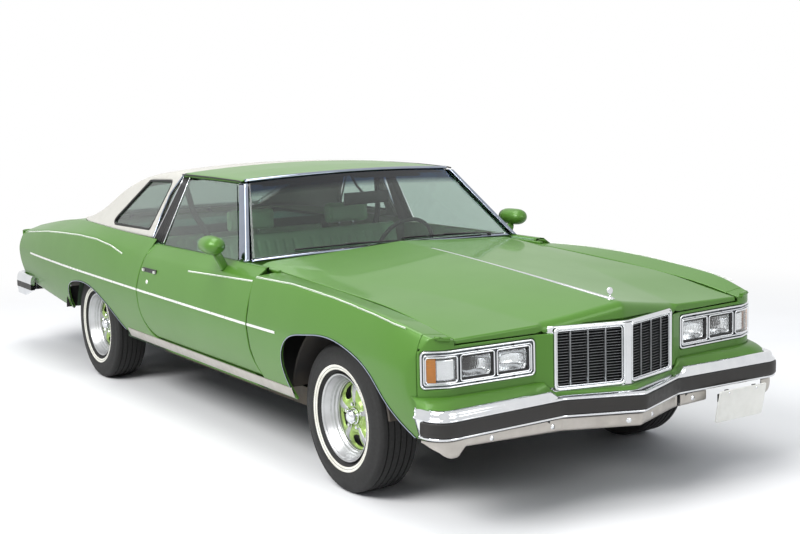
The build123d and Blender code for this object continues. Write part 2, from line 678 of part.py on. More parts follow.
def beam(start, end, width, height):
    """Square frame member between two points, width across and height upright."""
    a, b = Vector(start), Vector(end)
    along = b - a
    plane = Plane(a, x_dir=Vector(-along.Y, along.X, 0), z_dir=along)
    face = Face(Wire.make_polygon([plane.from_local_coords((u, v)) for u, v in
                                   [(-width / 2, -height / 2), (width / 2, -height / 2),
                                    (width / 2, height / 2), (-width / 2, height / 2)]]))
    return Solid.extrude(face, along)


def chassis_frame():
    """Perimeter frame with kicked-up ends and crossmembers."""
    rail_z = FLOOR_Z - SEAT_GAP - 48
    line = [(2560, 430, 400), (1480, 430, 380), (1190, 690, rail_z), (-600, 690, rail_z),
            (-860, 560, 480), (-1700, 560, 470), (-2640, 560, 400)]
    left = []
    for p, q in zip(line, line[1:]):
        left.append(beam(p, q, 76, 96))
        left.append(box(q[0] - 38, q[0] + 38, q[1] - 38, q[1] + 38, q[2] - 48, q[2] + 48))
    cross = [box(1700, 1790, -430, 430, 250, 329.7), box(500, 590, -690, 690, 236, 296),
             box(1700, 1790, -468, -392, 250, 360), box(1700, 1790, 392, 468, 250, 360),
             box(2500, 2560, -430, 430, 360, 429),
             box(-660, -600, -690, 690, 250, 300), box(-1010, -940, -560, 560, 440, 480),
             box(-2640, -2570, -560, 560, 360, 420)]
    return fuse(*left, *[flip(s) for s in left], *cross)


def engine():
    """Engine as one plain block at its real place and size."""
    return box(1340, 2080, -255, 255, 330, 810)


def driveline():
    """Gearbox housing and propeller shaft down to the rear axle's pinion."""
    axis_z = 366.0
    housing = turned([(0, 0), (66, 0), (80, 460), (162, 660), (162, 779.4), (0, 779.4)], (560, 0, axis_z),
                     (1, 0, 0.0), (0, 1, 0))
    shaft = tube((570, 0, axis_z), (REAR_AXLE_X + 206, 0, TYRE_RADIUS), 36)
    return fuse(housing, shaft, box(565, 590, -50, 50, 296 + SEAT_GAP, axis_z))


def rear_axle():
    """Rear axle tube, differential and drums, with its trailing arms."""
    x = REAR_AXLE_X
    beam_tube = tube((x, -700, TYRE_RADIUS), (x, 700, TYRE_RADIUS), 41)
    bowl = turned([(0, -150), (70, -140), (135, 0), (90, 90), (45, 150), (45, 205), (0, 205)],
                  (x, 0, TYRE_RADIUS), (1, 0, 0), (0, 1, 0))
    drum = tube((x, 690, TYRE_RADIUS), (x, 756, TYRE_RADIUS), 146)
    flange = tube((x, 750, TYRE_RADIUS), (x, HUB_FACE_Y, TYRE_RADIUS), HUB_RADIUS)
    arm = beam((x, 480, 325), (-664, 480, 285), 44, 50)
    left = [drum, flange, arm]
    return fuse(beam_tube, bowl, *left, *[flip(s) for s in left])


def front_suspension():
    """Front crossmember ends with lower and upper control arms, as fixed pieces."""
    x = FRONT_AXLE_X
    lower = prism("xy", [(x - 130, 470), (x - 34, KINGPIN_Y + 24), (x + 34, KINGPIN_Y + 24), (x + 130, 470)],
                  205, 229.7)
    upper = prism("xy", [(x - 100, 470), (x - 30, KINGPIN_Y + 20), (x + 30, KINGPIN_Y + 20), (x + 100, 470)],
                  490.3, 512)
    tower = box(x - 60, x + 60, 468.3, 498, 190, 520)
    return pair(fuse(lower, upper, tower))


def knuckle():
    """Left steering knuckle with its brake disc and hub."""
    x = FRONT_AXLE_X
    upright = box(x - 26, x + 26, KINGPIN_Y - 22, KINGPIN_Y + 22, 230, 490)
    disc = tube((x, KINGPIN_Y + 40, TYRE_RADIUS), (x, KINGPIN_Y + 62, TYRE_RADIUS), 138)
    stub = tube((x, KINGPIN_Y, TYRE_RADIUS), (x, HUB_FACE_Y, TYRE_RADIUS), 44)
    flange = tube((x, HUB_FACE_Y - 16, TYRE_RADIUS), (x, HUB_FACE_Y, TYRE_RADIUS), HUB_RADIUS)
    return fuse(upright, disc, stub, flange)


def tyre(x, side):
    """Tyre with flat tread and rounded shoulders."""
    half = TYRE_WIDTH / 2
    bead = RIM_RADIUS + SEAT_GAP
    seat = RIM_WIDTH / 2 - 14
    profile = [(bead, -seat), (bead, seat), (RIM_LIP_RADIUS + 8, seat + 6), (262, half + 1, 300, half - 6),
               (TYRE_RADIUS - 16, half - 8, TYRE_RADIUS - 2, half - 28),
               (TYRE_RADIUS, 0, TYRE_RADIUS - 2, 28 - half),
               (TYRE_RADIUS - 16, 8 - half, 300, 6 - half), (262, -half - 1, RIM_LIP_RADIUS + 8, -seat - 6)]
    return turned(profile, (x, side * WHEEL_Y, TYRE_RADIUS), (0, side, 0), (1, 0, 0))


def rim(x, side):
    """Rally wheel: rim with a deep lip and a five-spoke centre pressed in it."""
    half = RIM_WIDTH / 2
    lip = RIM_LIP_RADIUS
    inner = RIM_RADIUS - RIM_WALL
    wall = [(RIM_RADIUS, -half + 14), (lip, -half), (lip, -half - 4), (inner, -half + 8), (160, -20), (160, 24),
            (inner - 2, half - 20), (lip - 4, half + 5), (lip, half + 3), (lip, half), (RIM_RADIUS, half - 14),
            (RIM_RADIUS, half - 24), (172, 20), (172, -16), (RIM_RADIUS, -half + 24)]
    place = (x, side * WHEEL_Y, TYRE_RADIUS)
    face = HUB_FACE_Y - WHEEL_Y + SEAT_GAP
    centre = [(0, face), (HUB_RADIUS + 6, face), (112, 6), (161, -4), (161, 8), (116, 24), (70, 12 + face),
              (CAP_RADIUS, 12 + face), (CAP_RADIUS - 4, 44 + face), (0, 50 + face)]
    disc = turned(centre, place, (0, side, 0), (1, 0, 0))
    for i in range(SPOKE_COUNT):
        angle = 2 * pi * (i + 0.5) / SPOKE_COUNT + pi / 2
        spot = (x + SPOKE_RADIUS * cos(angle), side * WHEEL_Y, TYRE_RADIUS + SPOKE_RADIUS * sin(angle))
        hole = tube((spot[0], spot[1] - 80, spot[2]), (spot[0], spot[1] + 80, spot[2]), SPOKE_HOLE)
        disc = disc - hole
    return fuse(turned(wall, place, (0, side, 0), (1, 0, 0)), disc)


def exhaust():
    """Exhaust pipe with its muffler, hung beside the frame on the right."""
    run = [(1420, -282.3, 430), (1420, -282.3, 205), (1150, -330, 205), (-560, -330, 205)]
    pieces = [tube(p, q, 27) for p, q in zip(run, run[1:])]
    pieces += [Solid.make_sphere(27, Plane(p)) for p in run[1:3]]
    muffler = box(-560, -60, -430, -240, 160, 250)
    tail = [(-540, -330, 205), (-1040, -420, 245), (-2600, -470, 262), (-2790, -480, 250)]
    pieces += [tube(p, q, 24) for p, q in zip(tail, tail[1:])]
    pieces += [Solid.make_sphere(24, Plane(p)) for p in tail[1:3]]
    hanger = box(-2612, -2590, -490, -450, 262, 359.7)
    return fuse(*pieces, muffler, hanger)


def fuel_tank():
    """Fuel tank under the trunk floor."""
    tank = box(-2480, -1850, -400, 400, 300, TRUNK_Z - SEAT_GAP)
    return fillet(tank.edges().filter_by(Axis.X), 40)


# Front end


def header_core(inset, z0, z1, rear_x):
    """Left half of the nose block: its plan, met by the fender's own side form, both set in by inset."""
    cut = inset * 0.7
    plan = [(2670 - inset, 346), (2634 - inset, 424), (2614 - inset, 800),
            (2590 - cut, 905 - cut, 2530, 962 - inset), (FENDER_END_X - 20, 1000 - inset),
            (rear_x, 1000 - inset),
            (rear_x, 346)]
    return prism("xy", plan, z0, z1) & side_solid(NOSE_ROWS, inset, 300)


def header_shell(inset, depth, z0, z1):
    """Left band of the nose block between two insets."""
    outer = header_core(inset, z0, z1, FENDER_END_X + SEAT_GAP)
    return outer - header_core(depth, z0 - 1, z1 + 1, FENDER_END_X - 20)


def header_panel():
    """Body-coloured front header round the lamps and the grille."""
    side = header_shell(0, 60, HEADER_LOW_Z, HEADER_TOP_Z)
    side = side - header_shell(-20, BEZEL_DEPTH + 2, LAMP_LOW_Z - BEZEL_EDGE - SEAT_GAP,
                               LAMP_TOP_Z + BEZEL_EDGE + 4 + SEAT_GAP)
    for y0, y1 in LAMP_SPANS:
        side = side - box(2400, 2700, y0 - SEAT_GAP, y1 + SEAT_GAP, LAMP_LOW_Z - SEAT_GAP,
                          LAMP_TOP_Z + SEAT_GAP)
    middle = prism("xy", [(2540, -346), (2648, -346), (2735, 0), (2648, 346), (2540, 346), (2600, 0)],
                   FILLER_LOW_Z, GRILLE_LOW_Z - SEAT_GAP)
    post = box(2540, 2600, 330, 400, FILLER_LOW_Z, HEADER_LOW_Z + 20)
    return fuse(side, flip(side), middle, post, flip(post))


def lamp_bezels():
    """Bright rounded bezel of the lamps on each side, with three openings."""
    frame = header_shell(-6, BEZEL_DEPTH, LAMP_LOW_Z - BEZEL_EDGE, LAMP_TOP_Z + BEZEL_EDGE + 4)
    for y0, y1 in LAMP_SPANS:
        frame = frame - box(2400, 2700, y0 - 3, y1 + 3, LAMP_LOW_Z - 3, LAMP_TOP_Z + 3)
    window = box(2496, 2700, CORNER_LAMP_Y - 3, 1000, LAMP_LOW_Z - 3, LAMP_TOP_Z + 3)
    frame = frame - (window - header_core(18, 500, 900, 2400))
    return pair(frame & box(2400, 2700, 408, 1010, 500, 900))


def headlamps():
    """Four rectangular sealed lamps."""
    lamps = [box(2548, 2622 - 0.05 * (y0 - 440), y0, y1, LAMP_LOW_Z, LAMP_TOP_Z) for y0, y1 in LAMP_SPANS]
    return pair_list(lamps)


def pair_list(shapes):
    """Several pieces and their mirror images."""
    return [s for shape in shapes for s in pair(shape)]


def corner_lamps():
    """Wrap-round corner lamps outboard of the headlamps."""
    band = header_shell(4, 18 - SEAT_GAP, LAMP_LOW_Z, LAMP_TOP_Z)
    return pair(band & box(2499, 2700, CORNER_LAMP_Y, 1010, 500, 900))


def grille_line(back, y):
    """Front line of the V-shaped grille in plan: x at side distance y, set back by back."""
    return GRILLE_NOSE_X - back - (GRILLE_NOSE_X - GRILLE_SIDE_X) * abs(y) / GRILLE_HALF


def grille_band(y0, y1, back0, back1):
    """Plan of a strip that follows the grille's V between y0 and y1 on one side."""
    return [(grille_line(back0, y0), y0), (grille_line(back0, y1), y1),
            (grille_line(back1, y1), y1), (grille_line(back1, y0), y0)]


def grille():
    """Two-part grille: bright frame, centre bar, and thin bars across and upright."""
    half = []
    pitch = (GRILLE_TOP_Z - GRILLE_LOW_Z - 2 * GRILLE_FRAME) / (GRILLE_BARS + 1)
    for i in range(GRILLE_BARS):
        z = GRILLE_LOW_Z + GRILLE_FRAME + pitch * (i + 1)
        half.append(prism("xy", grille_band(0, GRILLE_HALF - 4, 12, 26), z - 1.8, z + 1.8))
    for i in range(GRILLE_UPRIGHTS):
        y = GRILLE_CENTRE / 2 + (GRILLE_HALF - GRILLE_CENTRE / 2) * (i + 1) / (GRILLE_UPRIGHTS + 1)
        half.append(prism("xy", grille_band(y - 2, y + 2, 9, 26), GRILLE_LOW_Z + 4, GRILLE_TOP_Z - 4))
    half.append(prism("xy", grille_band(0, GRILLE_HALF, 0, 40), GRILLE_TOP_Z - GRILLE_FRAME, GRILLE_TOP_Z))
    half.append(prism("xy", grille_band(0, GRILLE_HALF, 0, 40), GRILLE_LOW_Z, GRILLE_LOW_Z + GRILLE_FRAME))
    half.append(prism("xy", grille_band(GRILLE_HALF - GRILLE_FRAME, GRILLE_HALF, 0, 60), GRILLE_LOW_Z,
                      GRILLE_TOP_Z))
    half.append(prism("xy", grille_band(0, GRILLE_CENTRE / 2, -4, 40), GRILLE_LOW_Z, GRILLE_TOP_Z))
    return fuse(*half, *[flip(s) for s in half])


def bumper_path(inset, tip):
    """Left outer line of the front bumper in plan, from the nose round to the side."""
    side = inset * 0.3
    return [(NOSE_X - inset, 0), (2730 - inset, 330), (2744 - inset, 884),
            (2722 - inset, 966 - side, 2644, 996 - side), (tip, 1004 - side)]


def bumper_block(inset, z0, z1):
    """Left half of everything inside the front bumper's line at one inset."""
    return prism("xy", bumper_path(inset, 2500) + [(2500, 0)], z0, z1)


def bumper_layer(inset, thick, z0, z1, tip):
    """One layer of the front bumper on both sides."""
    outer = bumper_path(inset, tip)
    inner = [(tip, 991 - inset * 0.3), (2640, 981 - inset * 0.3), (2690 - inset - thick * 0.4, 930),
             (2744 - inset - thick, 860), (2730 - inset - thick, 330), (NOSE_X - inset - thick, 0)]
    left = prism("xy", outer + inner, z0, z1)
    return [left, flip(left)]


def front_bumper():
    """V-shaped bright front bumper: upper roll, face, lower valance, and its brackets."""
    layers = bumper_layer(14, 50, 398, 518, 2500)
    layers += bumper_layer(6, 50, 510, 519, 2500) + bumper_layer(6, 50, 396, 405, 2510)
    layers += [s & box(2400, 2900, -1100, 1100, 500, 600) for s in bumper_layer(26, 50, 519, 548, 2500)]
    layers += bumper_layer(34, 30, 318, 396, 2530)
    bracket = box(2560 + SEAT_GAP, 2700, 390, 440, 400, 440)
    shape = fuse(*layers, bracket, flip(bracket))
    raised = box(2400, 2900, -355, 355, 523, 600)
    return fuse(shape - raised, plate_brackets())


def bumper_strip():
    """Black rubbing strip along the front bumper."""
    left = bumper_block(0, 406, 509) - bumper_block(14 - SEAT_GAP, 400, 515)
    left = left & box(2652, 3000, 0, 1100, 400, 515)
    return fuse(left, flip(left))


def licence_plate():
    """Blank plate hung under the front bumper on the left, with its bracket holes."""
    plate = box(PLATE_X, PLATE_X + 4, PLATE_Y - PLATE_WIDTH / 2, PLATE_Y + PLATE_WIDTH / 2,
                PLATE_TOP_Z - PLATE_HEIGHT, PLATE_TOP_Z)
    for hole in plate_holes():
        plate = plate - hole
    return plate


def plate_holes():
    """The two bolt holes through the plate and its brackets."""
    z = PLATE_TOP_Z - PLATE_BOLT_DROP
    return [tube((PLATE_X - 20, y, z), (PLATE_X + 20, y, z), PLATE_HOLE) for y in
            (PLATE_Y - PLATE_BOLTS / 2, PLATE_Y + PLATE_BOLTS / 2)]


def plate_brackets():
    """Two brackets on the bumper's valance that carry the plate."""
    face = PLATE_X - SEAT_GAP
    pieces = []
    for y in (PLATE_Y - PLATE_BOLTS / 2, PLATE_Y + PLATE_BOLTS / 2):
        pieces.append(box(2694, face, y - 14, y + 14, 350, 392))
        pieces.append(box(face - 5, face, y - 14, y + 14, 350, PLATE_TOP_Z - 2))
    shape = fuse(pieces)
    for hole in plate_holes():
        shape = shape - hole
    return shape


# Rear end


def tail_plan(out):
    """Rear outer line in plan from the left side to the middle, moved out by out."""
    return [(QUARTER_END_X - SEAT_GAP, 938 + out), (-2740 - out * 0.7, 915 + out * 0.6, -2754 - out, 850),
            (-2775 - out, 0)]


def tail_panel():
    """Tail panel across the rear, with the lamp recesses."""
    left = prism("xy", tail_plan(-4) + [(-2700, 0), (-2700, 880)], 500, 856)
    recess = prism("xy", tail_plan(10) + [(-2736, 0), (-2736, 915)], TAIL_LAMP_LOW, TAIL_LAMP_TOP)
    recess = recess & box(-2900, -2600, TAIL_LAMP_IN, 930, 500, 900)
    left = left - recess
    return fuse(left, flip(left))


def tail_lamps():
    """Wide red tail lamps, three lenses a side."""
    band = prism("xy", tail_plan(-2) + [(-2736.3, 0), (-2736.3, 908)], TAIL_LAMP_LOW + 0.3, TAIL_LAMP_TOP - 0.3)
    lenses = []
    width = (905 - TAIL_LAMP_IN) / 3
    for i in range(3):
        y = TAIL_LAMP_IN + i * width
        lenses.append(band & box(-2900, -2600, y + 1.5, y + width - 1.5, 500, 900))
    return pair_list(lenses)


def rear_bumper():
    """Bright rear bumper wrapped round the tail, with its brackets."""
    outer = [(TAIL_X, 0), (TAIL_X + 18, 820), (TAIL_X + 55, 955, -2700, 988), (-2420, 992)]
    inner = [(-2420, 962), (-2700, 956), (-2790, 900), (TAIL_X + 52, 0)]
    left = prism("xy", outer + inner, 392, 548)
    slope = prism("xz", [(-2380, 300), (-2600, 392), (-2380, 470)], 900, 1100)
    bracket = box(-2840, -2678.3, 535, 585, 400, 440)
    left = left - slope
    return fuse(left, flip(left), bracket, flip(bracket))


# Cabin


def dashboard():
    """Dashboard across the cabin, with its crash pad."""
    face = [(640, 655), (560, 640), (486, 700), (470, 850), (500, 905, 560, 918), (800, 925), (800, 700),
            (1119.7, 700), (1119.7, 655)]
    panel = prism("xz", face, -780, 780)
    return panel - tube(COLUMN_LOW, COLUMN_TOP, COLUMN_RADIUS + 1)


def steering_column():
    """Steering column through the dashboard."""
    return tube(COLUMN_LOW, COLUMN_TOP, COLUMN_RADIUS)


def steering_wheel():
    """Two-spoke steering wheel on the column's axis."""
    axis = (Vector(COLUMN_TOP) - Vector(COLUMN_LOW)).normalized()
    base = Vector(COLUMN_TOP) + axis * SEAT_GAP
    plane = Plane(base + axis * 60, x_dir=(0, 1, 0), z_dir=axis)
    rim_ring = Solid.make_torus(190, 13, plane)
    hub = Solid.make_cylinder(46, 62, Plane(base, z_dir=axis))
    spokes = []
    for side in (-1, 1):
        a = plane.from_local_coords((side * 20, -8, -8))
        b = plane.from_local_coords((side * 184, -30, 0))
        spokes.append(tube(a, b, 14))
    return fuse(rim_ring, hub, *spokes)


def front_seat():
    """Front bench seat with its headrests."""
    base = FLOOR_Z + SHEET + SEAT_GAP
    outline_side = [(-90, 462), (400, 462), (440, 500), (440, 560), (430, 600, 380, 606), (20, 570), (-80, 760),
                    (-150, 1000), (-180, 1014, -215, 990), (-190, 700), (-130, 480)]
    bench = prism("xz", outline_side, -700, 700)
    rests = [box(-40, 380, y - 25, y + 25, base, 470) for y in (-560, -240, 240, 560)]
    for y0, y1 in [(170, 490), (-490, -170)]:
        rests.append(prism("xz", [(-160, 990), (-140, 1130), (-175, 1146, -215, 1130), (-215, 980)], y0, y1))
    return fuse(bench, *rests)


def rear_seat():
    """Rear bench seat and its back."""
    base = 560 + SEAT_GAP
    cushion = [(-1059.7, base), (-759.7, base), (-759.7, 484), (-560, 484), (-540, 540), (-560, 596, -620, 604),
               (-900, 578), (-980, 760), (-1010, 920), (-1030, 938, -1059.7, 930)]
    return prism("xz", cushion, -650, 650)


def parcel_shelf():
    """Shelf behind the rear seat, under the rear window, and the panel up to the trunk lid."""
    shelf = box(-1990, -1072 - SEAT_GAP, -780, 780, 934, 944)
    panel = box(-2006, -1990, -780, 780, TRUNK_Z + SHEET + SEAT_GAP, 944)
    pieces = [shelf, panel]
    for side in (-1, 1):
        y0 = side * (LID_HINGE_Y + 14)
        low, high = sorted((y0 - 6, y0 + 6))
        pieces.append(box(LID_HINGE_X - 7, -2000, low, high, 830, 848))
        pieces.append(box(LID_HINGE_X - 7, LID_HINGE_X + 3, low, high, 830, LID_HINGE_Z + LID_PIN_RADIUS))
        pieces.append(tube((LID_HINGE_X, side * (LID_HINGE_Y - 9), LID_HINGE_Z),
                           (LID_HINGE_X, side * (LID_HINGE_Y + 14), LID_HINGE_Z), LID_PIN_RADIUS))
    return fuse(*pieces)


def mirror_pod():
    """Left door mirror: tapered pod on a pedestal."""
    pod = turned([(0, -66), (48, -58), (52, 40), (40, 66, 0, 78)], (700, 1030, 1066), (1, 0.12, 0), (0, 1, 0))
    pod = pod & box(600, 900, 940, 1140, 1018, 1114)
    stalk = prism("yz", [(898, 900), (936, 900), (938, 932), (1010, 1030), (985, 1040), (903, 946)], 668, 716)
    door_top = side_solid(DOOR_ROWS, 0, DOOR_INNER_Y).moved(Location((0, 0, SEAT_GAP)))
    return fuse(pod, stalk - door_top)


def main():
    """Builds and writes every node."""
    os.makedirs("parts", exist_ok=True)
    door = [door_panel(), mirror_pod()]
    save("front_fenders", pair(front_fender()))
    save("door_left", door)
    save("door_right", [flip(s) for s in door])
    save("quarter_panels", quarter_panels())
    save("hood", hood())
    save("trunk_lid", trunk_lid())
    save("roof_front", roof_front())
    save("roof_rear", roof_rear())
    save("fixed_glass", [windshield(), rear_window()] + pair(quarter_glass()))
    save("pillar_louvres", pair(pillar_louvre()))
    save("windshield_pillars", pair(windshield_pillar()))
    save("cowl", wiper_cowl())
    save("floor_pan", [floor_pan(), parcel_shelf()])
    save("inner_fenders", inner_fenders())
    save("chassis_frame", chassis_frame())
    save("powertrain", [engine(), driveline()])
    save("rear_axle", rear_axle())
    save("front_suspension", front_suspension())
    save("exhaust", exhaust())
    save("fuel_tank", fuel_tank())
    save("header_panel", header_panel())
    save("lamp_bezels", lamp_bezels())
    save("front_lamps", headlamps() + corner_lamps())
    save("grille", grille())
    save("front_bumper", front_bumper())
    save("bumper_strip", bumper_strip())
    save("licence_plate", licence_plate())
    save("tail_panel", tail_panel())
    save("tail_lamps", tail_lamps())
    save("rear_bumper", rear_bumper())
    save("dashboard", [dashboard(), steering_column()])
    save("steering_wheel", steering_wheel())
    save("bench_seats", [front_seat(), rear_seat()])
    glass = door_glass()
    disc = knuckle()
    for name, side in (("left", 1), ("right", -1)):
        save("door_glass_" + name, glass if side > 0 else flip(glass))
        save("knuckle_" + name, disc if side > 0 else flip(disc))
        for end, x in (("front", FRONT_AXLE_X), ("rear", REAR_AXLE_X)):
            save("rim_" + end + "_" + name, rim(x, side))
            save("tyre_" + end + "_" + name, tyre(x, side))


main()
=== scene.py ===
import json
import math
import bmesh
import bpy
import numpy as np
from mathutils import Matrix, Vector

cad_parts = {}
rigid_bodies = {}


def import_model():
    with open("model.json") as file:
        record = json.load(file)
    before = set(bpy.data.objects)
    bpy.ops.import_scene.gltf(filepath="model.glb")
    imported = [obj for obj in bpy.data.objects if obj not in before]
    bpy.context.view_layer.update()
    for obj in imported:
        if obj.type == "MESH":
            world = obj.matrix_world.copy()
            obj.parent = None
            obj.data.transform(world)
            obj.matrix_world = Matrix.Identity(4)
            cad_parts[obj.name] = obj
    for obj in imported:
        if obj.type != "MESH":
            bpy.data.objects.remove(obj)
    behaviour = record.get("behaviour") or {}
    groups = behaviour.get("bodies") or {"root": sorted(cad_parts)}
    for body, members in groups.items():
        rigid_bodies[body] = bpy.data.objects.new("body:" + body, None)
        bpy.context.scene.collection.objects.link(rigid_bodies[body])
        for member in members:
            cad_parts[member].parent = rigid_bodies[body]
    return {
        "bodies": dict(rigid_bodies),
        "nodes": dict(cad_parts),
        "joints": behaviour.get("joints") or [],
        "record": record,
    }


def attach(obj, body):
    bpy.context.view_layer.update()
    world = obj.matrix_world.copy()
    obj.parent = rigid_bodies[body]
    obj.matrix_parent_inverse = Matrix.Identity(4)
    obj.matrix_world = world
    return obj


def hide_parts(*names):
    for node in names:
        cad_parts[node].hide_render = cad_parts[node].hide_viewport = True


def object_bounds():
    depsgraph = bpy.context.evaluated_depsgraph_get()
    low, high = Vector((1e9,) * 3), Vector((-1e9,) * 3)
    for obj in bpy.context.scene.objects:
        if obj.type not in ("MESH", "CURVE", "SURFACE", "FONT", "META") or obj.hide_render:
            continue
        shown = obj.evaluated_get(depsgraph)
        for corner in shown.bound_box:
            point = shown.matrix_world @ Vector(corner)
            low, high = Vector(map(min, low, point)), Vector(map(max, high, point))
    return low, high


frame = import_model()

bl_info = {
    "name": "Hardtop coupe dress",
    "version": (1, 0, 0),
    "blender": (4, 5, 0),
    "location": "3D View > Sidebar > Coupe",
    "description": "Body panels, trim, glass, wheels and cabin of a full-size hardtop coupe",
    "category": "Object",
}

CAD_LOW, CAD_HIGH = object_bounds()

# Driving dimensions, in metres
FRONT_AXLE = 1.841
REAR_AXLE = -1.293
WHEEL_Y = 0.812
AXLE_Z = 0.345
HUB_OUT = 0.029
NOSE_X = CAD_HIGH.x
PANEL_WALL = 0.014
HEM = 0.004

# Body side: rows of x, bottom z, rocker y, widest y and z, crest y and z, inner edge y and z
NOSE_ROW = (2.760, 0.400, 0.890, 0.936, 0.632, 0.885, 0.800, 0.815, 0.790)
FENDER_ROWS = [
    (2.640, 0.395, 0.905, 0.958, 0.640, 0.905, 0.816, 0.815, 0.806),
    (2.420, 0.385, 0.925, 0.992, 0.680, 0.945, 0.864, 0.815, 0.843),
    (2.160, 0.375, 0.932, 1.003, 0.700, 0.953, 0.898, 0.815, 0.873),
    (1.741, 0.368, 0.935, 1.010, 0.705, 0.956, 0.926, 0.815, 0.902),
    (1.300, 0.366, 0.935, 1.011, 0.700, 0.955, 0.930, 0.815, 0.924),
    (1.040, 0.366, 0.935, 1.011, 0.698, 0.952, 0.920, 0.815, 0.936),
]
DOOR_ROWS = [
    (1.160, 0.420, 0.947, 1.011, 0.698, 0.950, 0.912, 0.885, 0.955),
    (0.350, 0.420, 0.947, 1.011, 0.697, 0.946, 0.888, 0.882, 0.957),
    (-0.345, 0.420, 0.947, 1.011, 0.697, 0.945, 0.886, 0.876, 0.953),
]
QUARTER_ROWS = [
    (-0.120, 0.370, 0.935, 1.011, 0.697, 0.945, 0.886, 0.868, 0.975),
    (-0.420, 0.370, 0.935, 1.011, 0.697, 0.945, 0.887, 0.866, 0.982),
    (-0.800, 0.375, 0.935, 1.011, 0.700, 0.952, 0.912, 0.864, 0.985),
    (-1.293, 0.385, 0.934, 1.009, 0.704, 0.957, 0.935, 0.858, 0.996),
    (-1.900, 0.425, 0.930, 1.003, 0.714, 0.953, 0.912, 0.806, 0.982),
    (-2.300, 0.462, 0.925, 0.993, 0.722, 0.944, 0.886, 0.801, 0.940),
    (-2.700, 0.500, 0.915, 0.972, 0.730, 0.925, 0.846, 0.800, 0.884),
]

# Door outline and wheel openings in side view
DOOR_FRONT = 1.092
DOOR_REAR = -0.335
DOOR_TOE = 1.150
DOOR_HEEL = -0.150
DOOR_LOW = 0.430
SEAM = 0.008
FRONT_ARCH = [(-0.341, 0.300), (-0.426, 0.480), (-0.426, 0.575), (-0.352, 0.672, -0.174, 0.713),
              (0.060, 0.742, 0.280, 0.695), (0.400, 0.640, 0.473, 0.525), (0.560, 0.450, 0.660, 0.370),
              (0.660, 0.300)]
REAR_ARCH = [(-0.450, 0.300), (-0.380, 0.420), (-0.330, 0.560, -0.170, 0.622), (0.0, 0.640, 0.170, 0.622),
             (0.370, 0.550, 0.560, 0.430), (0.640, 0.385), (0.640, 0.300)]

# Hood: rows of x, centre z, ridge y and z, seam z
HOOD_ROWS = [
    (0.840, 1.010, 0.772, 0.962, 0.944),
    (1.370, 0.987, 0.680, 0.937, 0.919),
    (1.790, 0.960, 0.562, 0.908, 0.898),
    (2.215, 0.928, 0.462, 0.870, 0.866),
    (2.630, 0.894, 0.386, 0.824, 0.806),
    (2.760, 0.884, 0.352, 0.812, 0.796),
]
HOOD_SIDE = 0.807
HOOD_REAR = 0.885
HOOD_BOW = 0.070
HOOD_NOSE = 2.724
HOOD_FRONT = 2.640
HOOD_CORNER = 2.606

# Deck and trunk lid: rows of x, centre z, seam z
DECK_ROWS = [(-1.560, 1.012, 0.996), (-2.037, 0.985, 0.967)]
LID_ROWS = [(-2.030, 0.986, 0.968), (-2.300, 0.956, 0.938), (-2.740, 0.894, 0.878)]
LID_SIDE = 0.792
DECK_REAR = -2.035
LID_FRONT = -2.0465
LID_REAR = -2.728

# Greenhouse: roof rows of x, base y and z, edge y and z, top z
COWL_X, COWL_CORNER_X, COWL_Y, COWL_Z, COWL_CORNER_Z = 0.912, 0.826, 0.842, 0.986, 0.962
HEADER_X, HEADER_CORNER_X, HEADER_Y, HEADER_Z, HEADER_CORNER_Z = 0.488, 0.440, 0.652, 1.368, 1.346
ROOF_ROWS = [
    (0.470, 0.682, 1.334, 0.672, 1.350, 1.370),
    (0.100, 0.692, 1.340, 0.682, 1.358, 1.384),
    (-0.300, 0.694, 1.340, 0.684, 1.358, 1.386),
]
VINYL_END = -1.990
VINYL_ROWS = [
    (-0.300, 0.862, 0.985, 0.684, 1.358, 1.386),
    (-0.620, 0.862, 0.985, 0.682, 1.345, 1.377),
    (-1.000, 0.862, 0.989, 0.680, 1.290, 1.335),
    (-1.330, 0.857, 0.998, 0.676, 1.196, 1.252),
    (-1.640, 0.815, 0.996, 0.668, 1.080, 1.135),
    (VINYL_END, 0.700, 0.985, 0.640, 0.990, 1.002),
]
BELT_Z, TUMBLE_Y, TUMBLE = 0.950, 0.880, 0.481
SCREEN_OUT = (0.66, 0, 0.75)

# Front end
FENDER_END = 2.540
BEZEL_END, LAMP_END, AMBER_SEAM = 2.552, 2.570, 2.595
HEADER_LOW, HEADER_TOP = 0.552, 0.786
LAMP_LOW, LAMP_TOP = 0.636, 0.742
LAMP_SPANS = [(0.443, 0.606), (0.622, 0.785)]
CORNER_LAMP = 0.803
GRILLE_NOSE, GRILLE_SIDE, GRILLE_HALF = 2.762, 2.668, 0.340
GRILLE_LOW, GRILLE_TOP = 0.534, 0.810
GRILLE_BARS = 19
PLATE_X, PLATE_Y, PLATE_TOP = 2.764, 0.697, 0.420
PLATE_WIDTH, PLATE_HEIGHT, PLATE_BOLT = 0.305, 0.152, 0.0889

# Camera of the photograph
CAMERA_AT = (7.008, -3.880, 1.852)
CAMERA_AZIMUTH = 57.386
CAMERA_PITCH = 7.834
CAMERA_ROLL = -1.531
CAMERA_FOCAL_PX = 1340.0
PHOTO_WIDTH = 800


# Curves and outlines


